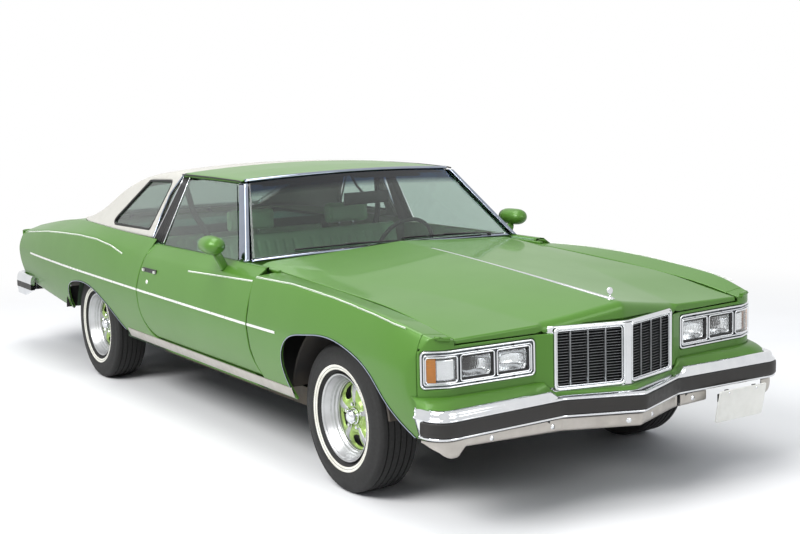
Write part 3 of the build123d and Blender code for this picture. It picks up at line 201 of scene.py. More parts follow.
def spline(rows, x):
    """Every column of the rows as a natural cubic spline of the first column, read at x."""
    rows = np.array(sorted(rows), float)
    knots, values = rows[:, 0], rows[:, 1:]
    n = len(knots)
    if n == 2:
        w = ((np.asarray(x, float) - knots[0]) / (knots[1] - knots[0]))[..., None]
        return values[0] * (1 - w) + values[1] * w
    h = np.diff(knots)
    system = np.eye(n)
    right = np.zeros_like(values)
    for i in range(1, n - 1):
        system[i, i - 1:i + 2] = h[i - 1], 2 * (h[i - 1] + h[i]), h[i]
        right[i] = 6 * ((values[i + 1] - values[i]) / h[i] - (values[i] - values[i - 1]) / h[i - 1])
    bend = np.linalg.solve(system, right)
    x = np.clip(np.asarray(x, float), knots[0], knots[-1])
    i = np.clip(np.searchsorted(knots, x) - 1, 0, n - 2)
    a = (knots[i + 1] - x)[..., None]
    b = (x - knots[i])[..., None]
    hi = h[i][..., None]
    return (bend[i] * a ** 3 / (6 * hi) + bend[i + 1] * b ** 3 / (6 * hi)
            + (values[i] / hi - bend[i] * hi / 6) * a + (values[i + 1] / hi - bend[i + 1] * hi / 6) * b)


def arc(a, m, b, t):
    """Points on the circle through a, m and b, from a at t = 0 to b at t = 1; all (..., 2) arrays."""
    a, m, b = (np.asarray(p, float)[..., None, :] for p in (a, m, b))
    ab, am = b - a, m - a
    cross = 2 * (am[..., 0] * ab[..., 1] - am[..., 1] * ab[..., 0])
    cross = np.where(np.abs(cross) < 1e-9, 1e-9, cross)
    am2, ab2 = (am ** 2).sum(-1), (ab ** 2).sum(-1)
    cx = (ab[..., 1] * am2 - am[..., 1] * ab2) / cross
    cy = (am[..., 0] * ab2 - ab[..., 0] * am2) / cross
    centre = a + np.stack([cx, cy], -1)
    radius = np.hypot(cx, cy)
    start = np.arctan2(-cy, -cx)
    end = np.arctan2((b - centre)[..., 1], (b - centre)[..., 0])
    mid = np.arctan2((m - centre)[..., 1], (m - centre)[..., 0])
    sweep = (end - start + np.pi) % (2 * np.pi) - np.pi
    part = (mid - start + np.pi) % (2 * np.pi) - np.pi
    sweep = np.where(sweep * part < 0, sweep - np.sign(sweep) * 2 * np.pi, sweep)
    angle = start + sweep * t
    return centre + radius[..., None] * np.stack([np.cos(angle), np.sin(angle)], -1)


def loop(points, steps=14, shift=0.0):
    """Closed outline from (a, b) points and (ma, mb, a, b) arcs, moved along a by shift."""
    out = [np.array([points[0][-2:]], float)]
    last = np.array(points[0][-2:], float)
    for p in list(points[1:]) + [points[0][-2:]]:
        end = np.array(p[-2:], float)
        if len(p) == 4:
            out.append(arc(last, p[:2], end, np.linspace(0, 1, steps))[1:])
        else:
            out.append(end[None])
        last = end
    line = np.concatenate(out)[:-1]
    line[:, 0] += shift
    return line


def inside(line, p):
    """Distance from points p (n, 2) to the closed outline, positive inside it."""
    a, b = line, np.roll(line, -1, 0)
    best = np.full(len(p), 1e9)
    crossings = np.zeros(len(p), int)
    for q, r in zip(a, b):
        d = r - q
        w = np.clip(((p - q) @ d) / max(d @ d, 1e-15), 0, 1)
        best = np.minimum(best, np.hypot(*(p - q - w[:, None] * d).T))
        hit = ((q[1] > p[:, 1]) != (r[1] > p[:, 1]))
        dy = r[1] - q[1]
        if abs(dy) > 1e-12:
            crossings += hit & (p[:, 0] < q[0] + (p[:, 1] - q[1]) / dy * d[0])
    return np.where(crossings % 2 == 1, best, -best)


def run_length(p):
    """Distance along a line of flat points, 0 at its first point."""
    return np.concatenate([[0], np.cumsum(np.hypot(*np.diff(p, axis=0).T))])


def line_at(p, run, s):
    """Flat points of a line at the distances s, by its own run of distances."""
    return np.stack([np.interp(s, run, p[:, 0]), np.interp(s, run, p[:, 1])], 1)


def dense_ring(p, times):
    """Closed outline with each side cut into equal steps."""
    return np.concatenate([np.linspace(a, b, times, endpoint=False) for a, b in zip(p, np.roll(p, -1, 0))])


def smooth_line(p, times):
    """Rounds the corners of point rows (..., n, k) by averaging neighbours, ends kept."""
    for _ in range(times):
        p = np.concatenate([p[..., :1, :], (p[..., :-2, :] + 2 * p[..., 1:-1, :] + p[..., 2:, :]) / 4,
                            p[..., -1:, :]], -2)
    return p


# Meshes


def grid_faces(n, m, close_n=False, close_m=False):
    """Quads of an n by m grid of points, joined round where asked."""
    i = np.arange(n if close_n else n - 1)
    j = np.arange(m if close_m else m - 1)
    a, b = np.meshgrid(i, j, indexing="ij")
    a, b = a.ravel(), b.ravel()
    a2, b2 = (a + 1) % n, (b + 1) % m
    return np.stack([a * m + b, a2 * m + b, a2 * m + b2, a * m + b2], 1)


def tube_faces(n, m):
    """Quads of n closed rings of m points, with both ends capped."""
    return grid_faces(n, m, False, True).tolist() + [list(range(m))[::-1],
                                                     [(n - 1) * m + i for i in range(m)]]


def prism_walls(n):
    """Side faces between two rings of n points."""
    return [[i, (i + 1) % n, n + (i + 1) % n, n + i] for i in range(n)]


def between(grid, i, j, a, b):
    """Bilinear reading of a grid in cell (i, j), at the shares a and b of it."""
    return ((grid[i, j] * (1 - b) + grid[i, j + 1] * b) * (1 - a)
            + (grid[i + 1, j] * (1 - b) + grid[i + 1, j + 1] * b) * a)


def face_out(bm):
    """Turns each island of an open sheet so that it faces away from the car's middle."""
    left = set(bm.faces)
    while left:
        stack = [left.pop()]
        island = list(stack)
        while stack:
            for edge in stack.pop().edges:
                for other in edge.link_faces:
                    if other in left:
                        left.discard(other)
                        stack.append(other)
                        island.append(other)
        score = 0.0
        for face in island:
            centre, normal = face.calc_center_median(), face.normal
            score += face.calc_area() * (centre.x * normal.x + centre.y * normal.y + (centre.z - 0.6)
                                         * normal.z)
        if score < 0:
            bmesh.ops.reverse_faces(bm, faces=island)


def make(name, verts, faces, material, body="body", wall=0.0, smooth=True, level=0, bevel=0.0, uv=None,
         outward=True, sharp=None):
    """New piece from points and faces, with its wall, bevel, subdivision, material and body."""
    mesh = bpy.data.meshes.new(name)
    verts = np.asarray(verts, float).reshape(-1, 3)
    mesh.from_pydata(verts.tolist(), [], [list(map(int, f)) for f in faces])
    if uv is not None:
        layer = mesh.uv_layers.new(name="UVMap")
        index = np.zeros(len(mesh.loops), int)
        mesh.loops.foreach_get("vertex_index", index)
        layer.data.foreach_set("uv", np.asarray(uv, float)[index].ravel())
    bm = bmesh.new()
    bm.from_mesh(mesh)
    bmesh.ops.remove_doubles(bm, verts=bm.verts, dist=2e-5)
    bmesh.ops.dissolve_degenerate(bm, edges=bm.edges, dist=1e-5)
    if outward:
        bmesh.ops.recalc_face_normals(bm, faces=bm.faces)
        if wall:
            face_out(bm)
    bm.to_mesh(mesh)
    bm.free()
    mesh.polygons.foreach_set("use_smooth", [smooth] * len(mesh.polygons))
    if sharp is not None:
        mesh.set_sharp_from_angle(angle=math.radians(sharp))
    obj = bpy.data.objects.new(name, mesh)
    bpy.context.scene.collection.objects.link(obj)
    if wall:
        solid = obj.modifiers.new("Wall", "SOLIDIFY")
        solid.thickness = abs(wall)
        solid.offset = -1 if wall > 0 else 1
    if bevel:
        edge = obj.modifiers.new("Edge", "BEVEL")
        edge.width = bevel
        edge.segments = 2
        edge.limit_method = "ANGLE"
        edge.angle_limit = math.radians(40)
    if level:
        sub = obj.modifiers.new("Round", "SUBSURF")
        sub.levels = sub.render_levels = level
    mesh.materials.append(material)
    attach(obj, body)
    return obj


def joined(name, parts, material, body="body", **options):
    """One piece from several (points, faces) lists."""
    verts, faces, base = [], [], 0
    for v, f in parts:
        v = np.asarray(v, float).reshape(-1, 3)
        verts.append(v)
        faces += [[int(i) + base for i in face] for face in f]
        base += len(v)
    return make(name, np.concatenate(verts), faces, material, body, **options)


def swept(profile, path, side=(0, 0, 1), caps=True, scale=None, close_path=False):
    """Profile points (across, up) carried along a path; across is square to the path and to side."""
    path = np.asarray(path, float)
    side = np.broadcast_to(np.asarray(side, float), path.shape)
    if close_path:
        tangent = np.roll(path, -1, 0) - np.roll(path, 1, 0)
    else:
        tangent = np.gradient(path, axis=0)
    tangent /= np.linalg.norm(tangent, axis=1)[:, None]
    across = np.cross(tangent, side)
    across /= np.linalg.norm(across, axis=1)[:, None]
    up = np.cross(across, tangent)
    prof = np.asarray(profile, float)
    k = np.ones(len(path)) if scale is None else np.asarray(scale, float)
    pts = (path[:, None] + k[:, None, None] * (prof[None, :, 0, None] * across[:, None]
                                              + prof[None, :, 1, None] * up[:, None]))
    n, m = pts.shape[:2]
    capped = caps and not close_path
    faces = tube_faces(n, m) if capped else grid_faces(n, m, close_path, True).tolist()
    return pts.reshape(-1, 3), faces


def turned(profile, centre, axis, count=96, closed=False):
    """Profile points (radius, along) turned round an axis through centre."""
    axis = np.asarray(axis, float) / np.linalg.norm(axis)
    first = np.cross(axis, (0, 0, 1) if abs(axis[2]) < 0.9 else (1, 0, 0))
    first /= np.linalg.norm(first)
    second = np.cross(axis, first)
    prof = np.asarray(profile, float)
    angle = np.linspace(0, 2 * np.pi, count, endpoint=False)
    ring = np.cos(angle)[:, None] * first + np.sin(angle)[:, None] * second
    pts = np.asarray(centre, float) + prof[None, :, 0, None] * ring[:, None] + prof[None, :, 1, None] * axis
    return pts.reshape(-1, 3), grid_faces(count, len(prof), True, closed).tolist()


def block(x0, x1, y0, y1, z0, z1):
    """Box between two corners."""
    v = np.array([(x, y, z) for x in (x0, x1) for y in (y0, y1) for z in (z0, z1)], float)
    f = [[0, 1, 3, 2], [4, 6, 7, 5], [0, 4, 5, 1], [2, 3, 7, 6], [0, 2, 6, 4], [1, 5, 7, 3]]
    return v, f


def rounded(w, h, r, steps=5):
    """Rounded rectangle, w by h, centred."""
    t = np.linspace(0, np.pi / 2, steps)
    out = []
    for sx, sy, turn in ((1, 1, 0), (-1, 1, 1), (-1, -1, 2), (1, -1, 3)):
        a = t + turn * np.pi / 2
        out.append(np.stack([sx * (w / 2 - r) + r * np.cos(a), sy * (h / 2 - r) + r * np.sin(a)], 1))
    return np.concatenate(out)


def split(uv, tris, value):
    """Cuts triangles where value crosses zero, with new points on the crossing."""
    value = np.where(np.abs(value) < 1e-7, 1e-7, value)
    sign = value > 0
    count = sign[tris].sum(1)
    mixed = (count == 1) | (count == 2)
    keep, t = tris[~mixed], tris[mixed]
    pos = sign[t]
    odd = np.where(pos.sum(1) == 1, pos.argmax(1), (~pos).argmax(1))
    row = np.arange(len(t))
    a, b, c = t[row, odd], t[row, (odd + 1) % 3], t[row, (odd + 2) % 3]
    edges = np.sort(np.stack([np.r_[a, a], np.r_[b, c]], 1), 1)
    unique, back = np.unique(edges, axis=0, return_inverse=True)
    back = back.ravel()
    w = (value[unique[:, 0]] / (value[unique[:, 0]] - value[unique[:, 1]]))[:, None]
    new = uv[unique[:, 0]] * (1 - w) + uv[unique[:, 1]] * w
    ab, ac = len(uv) + back[:len(a)], len(uv) + back[len(a):]
    tris = np.concatenate([keep, np.stack([a, ab, ac], 1), np.stack([ab, b, c], 1), np.stack([ab, c, ac], 1)])
    return np.concatenate([uv, new]), tris


def cut_grid(u, v, limit, hem):
    """Triangles of a (u, v) grid kept where limit(uv) is above 0, with lines at 0, a quarter hem and hem."""
    uu, vv = np.meshgrid(u, v, indexing="ij")
    uv = np.stack([uu.ravel(), vv.ravel()], 1)
    quads = grid_faces(len(u), len(v))
    tris = np.concatenate([quads[:, [0, 1, 2]], quads[:, [0, 2, 3]]])
    for level in (0.0, hem * 0.25, hem):
        uv, tris = split(uv, tris, limit(uv) - level)
    value = limit(uv)
    tris = tris[value[tris].mean(1) > 0]
    used = np.unique(tris)
    back = np.full(len(uv), -1)
    back[used] = np.arange(len(used))
    value = value[used]
    sink = hem - np.sqrt(np.clip(hem ** 2 - np.clip(hem - value, 0, hem) ** 2, 0, None))
    return uv[used], back[tris], sink


def panel(surface, u, v, limit, hem=HEM):
    """Sheet from surface(uv) on a grid, kept where limit(points) is above 0, its edge rolled in by hem.

    The grid is cut along lines of equal limit, and each point near the edge moves inward along the normal
    by hem less the height of a quarter circle of that radius.
    """
    uv, tris, sink = cut_grid(u, v, lambda flat: limit(surface(flat)), hem)
    pts = surface(uv)
    du, dv = (u[-1] - u[0]) * 1e-4, (v[-1] - v[0]) * 1e-4
    a = surface(uv + [du, 0]) - surface(uv - [du, 0])
    b = surface(uv + [0, dv]) - surface(uv - [0, dv])
    normal = np.cross(a, b)
    normal /= np.linalg.norm(normal, axis=1)[:, None] + 1e-12
    centre = np.array([pts[:, 0].mean(), 0.0, 0.5])
    turn = np.sign(((pts - centre) * normal).sum(1).sum())
    return pts - turn * normal * sink[:, None], tris


# Body side surface

SECTION_STEPS = 22


def side_section(rows, x):
    """Section of the body side at stations x: arcs rocker-belly-wide and wide-shoulder-crest, then a line."""
    r = spline(rows, x)
    bottom_z, rocker_y, wide_y, wide_z, crest_y, crest_z, inner_y, inner_z = np.moveaxis(r, -1, 0)
    rocker = np.stack([rocker_y, bottom_z], -1)
    belly = np.stack([(rocker_y + wide_y) / 2 + 0.015, (bottom_z + wide_z) / 2], -1)
    wide = np.stack([wide_y, wide_z], -1)
    shoulder = np.stack([(wide_y + crest_y) / 2 + 0.009, (wide_z + crest_z) / 2], -1)
    crest = np.stack([crest_y, crest_z], -1)
    inner = np.stack([inner_y, inner_z], -1)
    t = np.linspace(0, 1, SECTION_STEPS)
    low = arc(rocker, belly, wide, t)
    high = arc(wide, shoulder, crest, t)[..., 1:, :]
    top = crest[..., None, :] * (1 - t[1:, None]) + inner[..., None, :] * t[1:, None]
    return smooth_line(np.concatenate([low, high, top], -2), 5)


class Side:
    """Body side surface over one table of stations, read by x and place along the section."""

    def __init__(self, rows, x0, x1, count=300):
        self.x = np.linspace(x0, x1, count)
        self.lines = side_section(rows, self.x)
        self.steps = self.lines.shape[1]

    def at(self, uv, sign=1):
        """Point at (x, t) by linear reading of the dense section table."""
        fx = np.clip((uv[:, 0] - self.x[0]) / (self.x[1] - self.x[0]), 0, len(self.x) - 1.001)
        ft = np.clip(uv[:, 1], 0, 1) * (self.steps - 1.001)
        i, j = fx.astype(int), ft.astype(int)
        a, b = (fx - i)[:, None], (ft - j)[:, None]
        yz = between(self.lines, i, j, a, b)
        return np.stack([uv[:, 0], sign * yz[:, 0], yz[:, 1]], 1)

    def y(self, x, z):
        """Outer y of the surface at (x, z) below its crest."""
        out = []
        for a, b in zip(np.atleast_1d(x), np.atleast_1d(z)):
            i = int(np.clip(round((a - self.x[0]) / (self.x[1] - self.x[0])), 0, len(self.x) - 1))
            line = self.lines[i]
            top = int(np.argmax(line[:, 1] > line[:, 1].max() - 0.12)) + 12
            out.append(np.interp(b, line[:top, 1], line[:top, 0]))
        return np.array(out)


FENDER = Side([NOSE_ROW] + FENDER_ROWS, 1.040, 2.760)
DOOR = Side(DOOR_ROWS, -0.345, 1.160)
QUARTER = Side(QUARTER_ROWS, -2.700, -0.120, 420)


def side_at(x):
    """The body side surface that holds station x."""
    return QUARTER if x < DOOR_REAR else DOOR if x < DOOR_FRONT else FENDER


def on_side(points, out=0.0):
    """3-D points on the body side from (x, z) pairs, stood off by out."""
    return np.array([(x, float(side_at(x).y([x], [z])[0]) + out, z) for x, z in points])


def door_loop(grow):
    """Outline of the door in side view, larger by grow."""
    front, rear, low = DOOR_FRONT + grow, DOOR_REAR - grow, DOOR_LOW - grow
    return loop([(rear, 1.2), (rear, 0.620), (rear + 0.030, 0.505, DOOR_HEEL - grow, low),
                 (DOOR_TOE + grow, low), (front + 0.016, low + 0.060, front, 0.560), (front, 1.2)])


# Materials


def node(tree, kind, sources=(), **values):
    """One shader node: plain values by name, and sources as input name or number -> socket or value."""
    made = tree.nodes.new(kind)
    for key, value in values.items():
        if key in made.inputs:
            made.inputs[key].default_value = value
        else:
            setattr(made, key, value)
    for key, source in dict(sources).items():
        if isinstance(source, bpy.types.NodeSocket):
            tree.links.new(source, made.inputs[key])
        else:
            made.inputs[key].default_value = source
    return made


def maths(tree, operation, *sources, **values):
    """Result of a math node over sockets and numbers."""
    return node(tree, "ShaderNodeMath", dict(enumerate(sources)), operation=operation, **values).outputs[0]


def ranged(tree, value, **ends):
    """A socket's value brought from one range to another, clamped; ends such as From_Min."""
    sources = {key.replace("_", " "): end for key, end in ends.items()}
    return node(tree, "ShaderNodeMapRange", {"Value": value, **sources}).outputs[0]


def mixed(tree, factor, base, other):
    """Colour between two colours or sockets, by factor."""
    return node(tree, "ShaderNodeMix", {"Factor": factor, 6: base, 7: other}, data_type="RGBA").outputs[2]


def lay_over(made, mask, colour):
    """Lays a plain colour over a material's own, where the mask is one."""
    socket = made.node_tree.nodes["Principled BSDF"].inputs["Base Color"]
    over = mixed(made.node_tree, mask, socket.links[0].from_socket, colour)
    made.node_tree.links.new(over, socket)


def group(name, inputs, outputs):
    """Empty shader group with named sockets: name -> (socket type, default)."""
    tree = bpy.data.node_groups.new(name, "ShaderNodeTree")
    for key, (kind, default) in inputs.items():
        socket = tree.interface.new_socket(key, in_out="INPUT", socket_type=kind)
        if default is not None:
            socket.default_value = default
    for key, kind in outputs.items():
        tree.interface.new_socket(key, in_out="OUTPUT", socket_type=kind)
    return tree, tree.nodes.new("NodeGroupInput"), tree.nodes.new("NodeGroupOutput")


def speckle_group():
    """Colour broken up by two sizes of noise: base mixed towards a second colour, with a height."""
    tree, given, out = group(
        "Speckle",
        {"Base": ("NodeSocketColor", (0.5, 0.5, 0.5, 1)), "Other": ("NodeSocketColor", (0.4, 0.4, 0.4, 1)),
         "Amount": ("NodeSocketFloat", 0.5), "Scale": ("NodeSocketFloat", 40.0),
         "Rough": ("NodeSocketFloat", 0.4), "Spread": ("NodeSocketFloat", 0.1)},
        {"Color": "NodeSocketColor", "Roughness": "NodeSocketFloat", "Height": "NodeSocketFloat"})
    place, given = node(tree, "ShaderNodeTexCoord").outputs["Object"], given.outputs
    fine = node(tree, "ShaderNodeTexNoise", {"Vector": place, "Scale": given["Scale"]},
                Detail=4.0).outputs["Fac"]
    wide = node(tree, "ShaderNodeTexNoise", {"Vector": place}, Scale=3.0, Detail=2.0).outputs["Fac"]
    shape = ranged(tree, maths(tree, "MULTIPLY", fine, wide), From_Min=0.12, From_Max=0.42)
    amount = maths(tree, "MULTIPLY", shape, given["Amount"])
    made = {"Color": mixed(tree, amount, given["Base"], given["Other"]),
            "Roughness": maths(tree, "MULTIPLY_ADD", shape, given["Spread"], given["Rough"]), "Height": fine}
    for key, source in made.items():
        tree.links.new(source, out.inputs[key])
    return tree


def grain_group():
    """Pebbled grain of vinyl or leather: cells with soft walls, as a height."""
    tree, given, out = group("Grain", {"Scale": ("NodeSocketFloat", 350.0)}, {"Height": "NodeSocketFloat"})
    sources = {"Vector": node(tree, "ShaderNodeTexCoord").outputs["Object"], "Scale": given.outputs["Scale"]}
    cell = node(tree, "ShaderNodeTexVoronoi", sources, feature="F1")
    soft = node(tree, "ShaderNodeTexNoise", sources, Detail=3.0)
    tree.links.new(maths(tree, "ADD", cell.outputs["Distance"], soft.outputs["Fac"]), out.inputs["Height"])
    return tree


def dust_group():
    """Mask of road dust: strongest near the ground, broken by noise."""
    tree, given, out = group(
        "Road dust", {"Top": ("NodeSocketFloat", 0.75), "Amount": ("NodeSocketFloat", 0.5)},
        {"Mask": "NodeSocketFloat"})
    place = node(tree, "ShaderNodeTexCoord").outputs["Object"]
    height = node(tree, "ShaderNodeSeparateXYZ", {0: place}).outputs["Z"]
    noise = node(tree, "ShaderNodeTexNoise", {"Vector": place}, Scale=9.0, Detail=6.0).outputs["Fac"]
    fall = ranged(tree, height, From_Min=0.30, From_Max=given.outputs["Top"], To_Min=1.0, To_Max=0.0)
    broken = maths(tree, "MULTIPLY", fall, noise)
    tree.links.new(maths(tree, "MULTIPLY", broken, given.outputs["Amount"], use_clamp=True),
                   out.inputs["Mask"])
    return tree


def shade(colour, share):
    """A darker tone of a colour."""
    return tuple(c * share for c in colour[:3]) + (1,)


def srgb(r, g, b):
    """Linear colour from 0 to 255 display values."""
    c = np.array([r, g, b]) / 255.0
    c = np.where(c <= 0.04045, c / 12.92, ((c + 0.055) / 1.055) ** 2.4)
    return (float(c[0]), float(c[1]), float(c[2]), 1.0)


GROUPS = {}


def use_group(tree, name, **values):
    """Places a shared group in a material with its own values."""
    makers = {"Speckle": speckle_group, "Grain": grain_group, "Road dust": dust_group}
    if name not in GROUPS:
        GROUPS[name] = makers[name]()
    made = tree.nodes.new("ShaderNodeGroup")
    made.node_tree = GROUPS[name]
    for key, value in values.items():
        made.inputs[key].default_value = value
    return made


def material(name, base, other=None, amount=0.4, scale=40.0, rough=0.4, spread=0.1, bump=0.0, grain=0.0,
             dust=0.0, dust_top=0.75, **plain):
    """Principled material: speckled colour and roughness, bump, grain and dust; plain values last."""
    made = bpy.data.materials.new(name)
    made.use_nodes = True
    tree = made.node_tree
    shader = tree.nodes["Principled BSDF"]
    look = use_group(tree, "Speckle", Base=base, Other=other or base, Amount=amount, Scale=scale, Rough=rough,
                     Spread=spread).outputs
    color, roughness = look["Color"], look["Roughness"]
    if dust:
        mask = use_group(tree, "Road dust", Top=dust_top, Amount=dust).outputs["Mask"]
        color = mixed(tree, mask, color, srgb(142, 128, 108))
        roughness = maths(tree, "MULTIPLY_ADD", mask, 0.5, roughness, use_clamp=True)
    tree.links.new(color, shader.inputs["Base Color"])
    tree.links.new(roughness, shader.inputs["Roughness"])
    if bump or grain:
        height = use_group(tree, "Grain", Scale=grain).outputs["Height"] if grain else look["Height"]
        lift = node(tree, "ShaderNodeBump", {"Height": height}, Strength=0.35, Distance=bump or 0.0004)
        tree.links.new(lift.outputs["Normal"], shader.inputs["Normal"])
    for key, value in plain.items():
        shader.inputs[key.replace("_", " ")].default_value = value
    return made


# Shared piece helpers


def flipped(part):
    """Mirror image of a (points, faces) list across the car's middle."""
    v, f = part
    v = np.asarray(v, float).reshape(-1, 3) * (1, -1, 1)
    return v, [list(face)[::-1] for face in f]


def pair(part):
    """A left piece and its mirror image."""
    return [part, flipped(part)]


def pairs(parts):
    """Every left piece and its mirror image."""
    return [p for part in parts for p in pair(part)]


SIDES = (("left", lambda part: part), ("right", flipped))


def edge_roll(a, b, count, ra, rb):
    """Stations from a to b with quarter-circle ends: positions and how far each one drops."""
    phi = np.linspace(0, np.pi / 2, 4, endpoint=False)
    start = a + ra * (1 - np.cos(phi)), ra * (1 - np.sin(phi))
    end = (b - rb * (1 - np.cos(phi)))[::-1], (rb * (1 - np.sin(phi)))[::-1]
    middle = np.linspace(a + ra, b - rb, count)
    return (np.concatenate([start[0], middle, end[0]]),
            np.concatenate([start[1], np.zeros(count), end[1]]))


def tube_along(points, radius, sides=10, body_side=(0, 0, 1)):
    """Round bar along a line of points."""
    t = np.linspace(0, 2 * np.pi, sides, endpoint=False)
    ring = np.stack([np.cos(t), np.sin(t)], 1) * radius
    return swept(ring, points, body_side)


def dome(centre, axis, radius, height):
    """Low round button on a surface."""
    t = np.linspace(0, np.pi / 2, 5)
    profile = [(1e-5, height)] + [(radius * math.sin(a), height * math.cos(a)) for a in t[1:]]
    return turned(profile, centre, axis, 20)


def table_surface(x, lines):
    """Reader of a dense table of sections: (x, t) to a point, t running along the section."""
    x, lines = np.asarray(x, float), np.asarray(lines, float)
    steps = lines.shape[1]
    order = np.argsort(x)
    x, lines = x[order], lines[order]

    def at(uv):
        i = np.clip(np.searchsorted(x, uv[:, 0]) - 1, 0, len(x) - 2)
        a = np.clip((uv[:, 0] - x[i]) / (x[i + 1] - x[i]), 0, 1)[:, None]
        ft = np.clip(uv[:, 1], 0, 1) * (steps - 1.0001)
        j = ft.astype(int)
        b = (ft - j)[:, None]
        yz = between(lines, i, j, a, b)
        return np.stack([uv[:, 0], yz[:, 0], yz[:, 1]], 1)
    return at


def ruled(lower, upper, n=40, m=16, bulge=0.0):
    """Sheet between two three-point arcs, bulged outward (forward or rearward) in its middle."""
    def bow(points):
        p = np.array(points, float)
        plan = arc(p[0, [1, 0]], p[1, [1, 0]], p[2, [1, 0]], np.linspace(0, 1, n))
        part = (plan[:, 0] / p[2, 1]) ** 2
        z = p[1, 2] + (p[2, 2] - p[1, 2]) * part
        return np.stack([plan[:, 1], plan[:, 0], z], 1)
    low, high = bow(lower), bow(upper)
    w = np.linspace(0, 1, m)[:, None, None]
    pts = low[None] * (1 - w) + high[None] * w
    across = high[n // 2] - low[n // 2]
    normal = np.array([-across[2], 0.0, across[0]]) / np.linalg.norm(across)
    if normal[2] < 0:
        normal = -normal
    lift = bulge * (4 * w * (1 - w)) * (1 - np.linspace(-1, 1, n)[None, :, None] ** 2)
    return pts + normal * lift


def sheet(points):
    """Faces for an (n, m, 3) grid of points."""
    n, m = points.shape[:2]
    return points.reshape(-1, 3), grid_faces(n, m).tolist()


def rows_at(rows, x):
    """Columns of the rows at x, straight between rows."""
    rows = np.array(sorted(rows), float)
    x = np.asarray(x, float)
    return np.stack([np.interp(x, rows[:, 0], rows[:, k]) for k in range(1, rows.shape[1])], -1)


# Body panels

HINGE_X, HINGE_Y = DOOR_FRONT - 0.060, 0.960
HINGE_SWEEP = [(0.130, 0.422), (0.130, 0.438), (0.090, 0.492), (0.078, 0.565), (0.0847, 0.640),
               (0.0847, 0.760), (0.070, 0.860), (0.068, 1.100)]


def arch_line(arch, at):
    """Wheel arch outline, its bends smoothed."""
    p = loop(arch, shift=at)
    p = np.concatenate([p, p[:1]])
    run = run_length(p)
    t = np.linspace(0, run[-1], 181)[:-1]
    p = np.stack([np.interp(t, run, p[:, k]) for k in (0, 1)], 1)
    for _ in range(40):
        mean = (np.roll(p, 1, 0) + 2 * p + np.roll(p, -1, 0)) / 4
        p = np.where(p[:, 1:] > 0.44, mean, p)
    return p


def fender_limit(p):
    """Keep of the front fender: ahead of the door and its swing, clear of the wheel and of the hood."""
    xz = p[:, [0, 2]]
    inner = spline([NOSE_ROW] + FENDER_ROWS, p[:, 0])[:, 6]
    radius = np.interp(p[:, 2], [z for _, z in HINGE_SWEEP], [r for r, _ in HINGE_SWEEP])
    swing = np.hypot(p[:, 0] - HINGE_X, p[:, 1] - HINGE_Y) - radius
    swing = np.where(p[:, 0] < HINGE_X, -1.0, swing)
    return np.minimum.reduce([FENDER_END - p[:, 0], p[:, 1] - inner, swing,
                              -inside(arch_line(FRONT_ARCH, FRONT_AXLE), xz),
                              -inside(door_loop(SEAM), xz)])


def door_limit(p):
    """Keep of the door's skin."""
    return inside(door_loop(0), p[:, [0, 2]])


def quarter_limit(p):
    """Keep of the quarter panel: behind the door, clear of the wheel."""
    xz = p[:, [0, 2]]
    return np.minimum.reduce([p[:, 0] + 2.694, -inside(door_loop(SEAM), xz),
                              -inside(arch_line(REAR_ARCH, REAR_AXLE), xz)])


def fender_at(uv):
    """Fender surface, drawn in at its front end to the nose's plan line."""
    p = FENDER.at(uv)
    line = header_line()[1]
    line = line[line[:, 1] > 0.80]
    edge = np.interp(-p[:, 0], -line[:, 0], line[:, 1])
    edge = np.where(p[:, 0] < 2.470, 1.2, edge)
    gap = edge - p[:, 1]
    p[:, 1] = np.where(gap < 0.05, p[:, 1] + (gap - np.sqrt(gap ** 2 + 0.004 ** 2)) / 2, p[:, 1])
    return p


def side_panel(side, x0, x1, limit, count):
    """One panel of the left body side."""
    return panel(side.at, np.linspace(x0, x1, count), np.linspace(0, 1, 70), limit)


def build_fenders(mats):
    """Front fenders with their strips beside the cowl."""
    left = panel(fender_at, np.linspace(1.052, FENDER_END + 0.004, 200), np.linspace(0, 1, 70), fender_limit)
    strip = block(0.868, 1.128, 0.8165, 0.842, 0.926, 0.9435)
    parts = pair(left)
    body = joined("fenders", parts, mats["paint"], wall=PANEL_WALL)
    extra = joined("fender_strips", pair(strip), mats["paint"], bevel=0.004)
    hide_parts("front_fenders")
    return [body, extra]


def build_quarters(mats):
    """Quarter panels and the deck between the roof's end and the trunk lid."""
    left = side_panel(QUARTER, -2.700, -0.118, quarter_limit, 230)
    body = joined("quarters", pair(left), mats["paint"], wall=PANEL_WALL)

    def deck(uv):
        centre, seam = rows_at(DECK_ROWS + [(-1.2, 1.030, 1.014)], uv[:, 0]).T
        return np.stack([uv[:, 0], uv[:, 1], centre - (centre - seam) * (uv[:, 1] / 0.812) ** 2], 1)
    half = loop([(DECK_REAR, 0.799), (DECK_REAR, -0.02), (VINYL_END - 0.004, -0.02),
                 (VINYL_END - 0.004, 0.702), (-1.640, 0.817), (-1.560, 0.828), (-1.560, 0.836),
                 (-1.900, 0.802)])
    part = panel(deck, np.linspace(-2.04, -1.55, 60), np.linspace(-0.001, 0.84, 90),
                 lambda p: np.minimum(inside(half, p[:, :2]), p[:, 1] + 0.02), 0.003)
    top = joined("upper_deck", pair(part), mats["paint"], wall=0.010)
    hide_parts("quarter_panels")
    return [body, top]


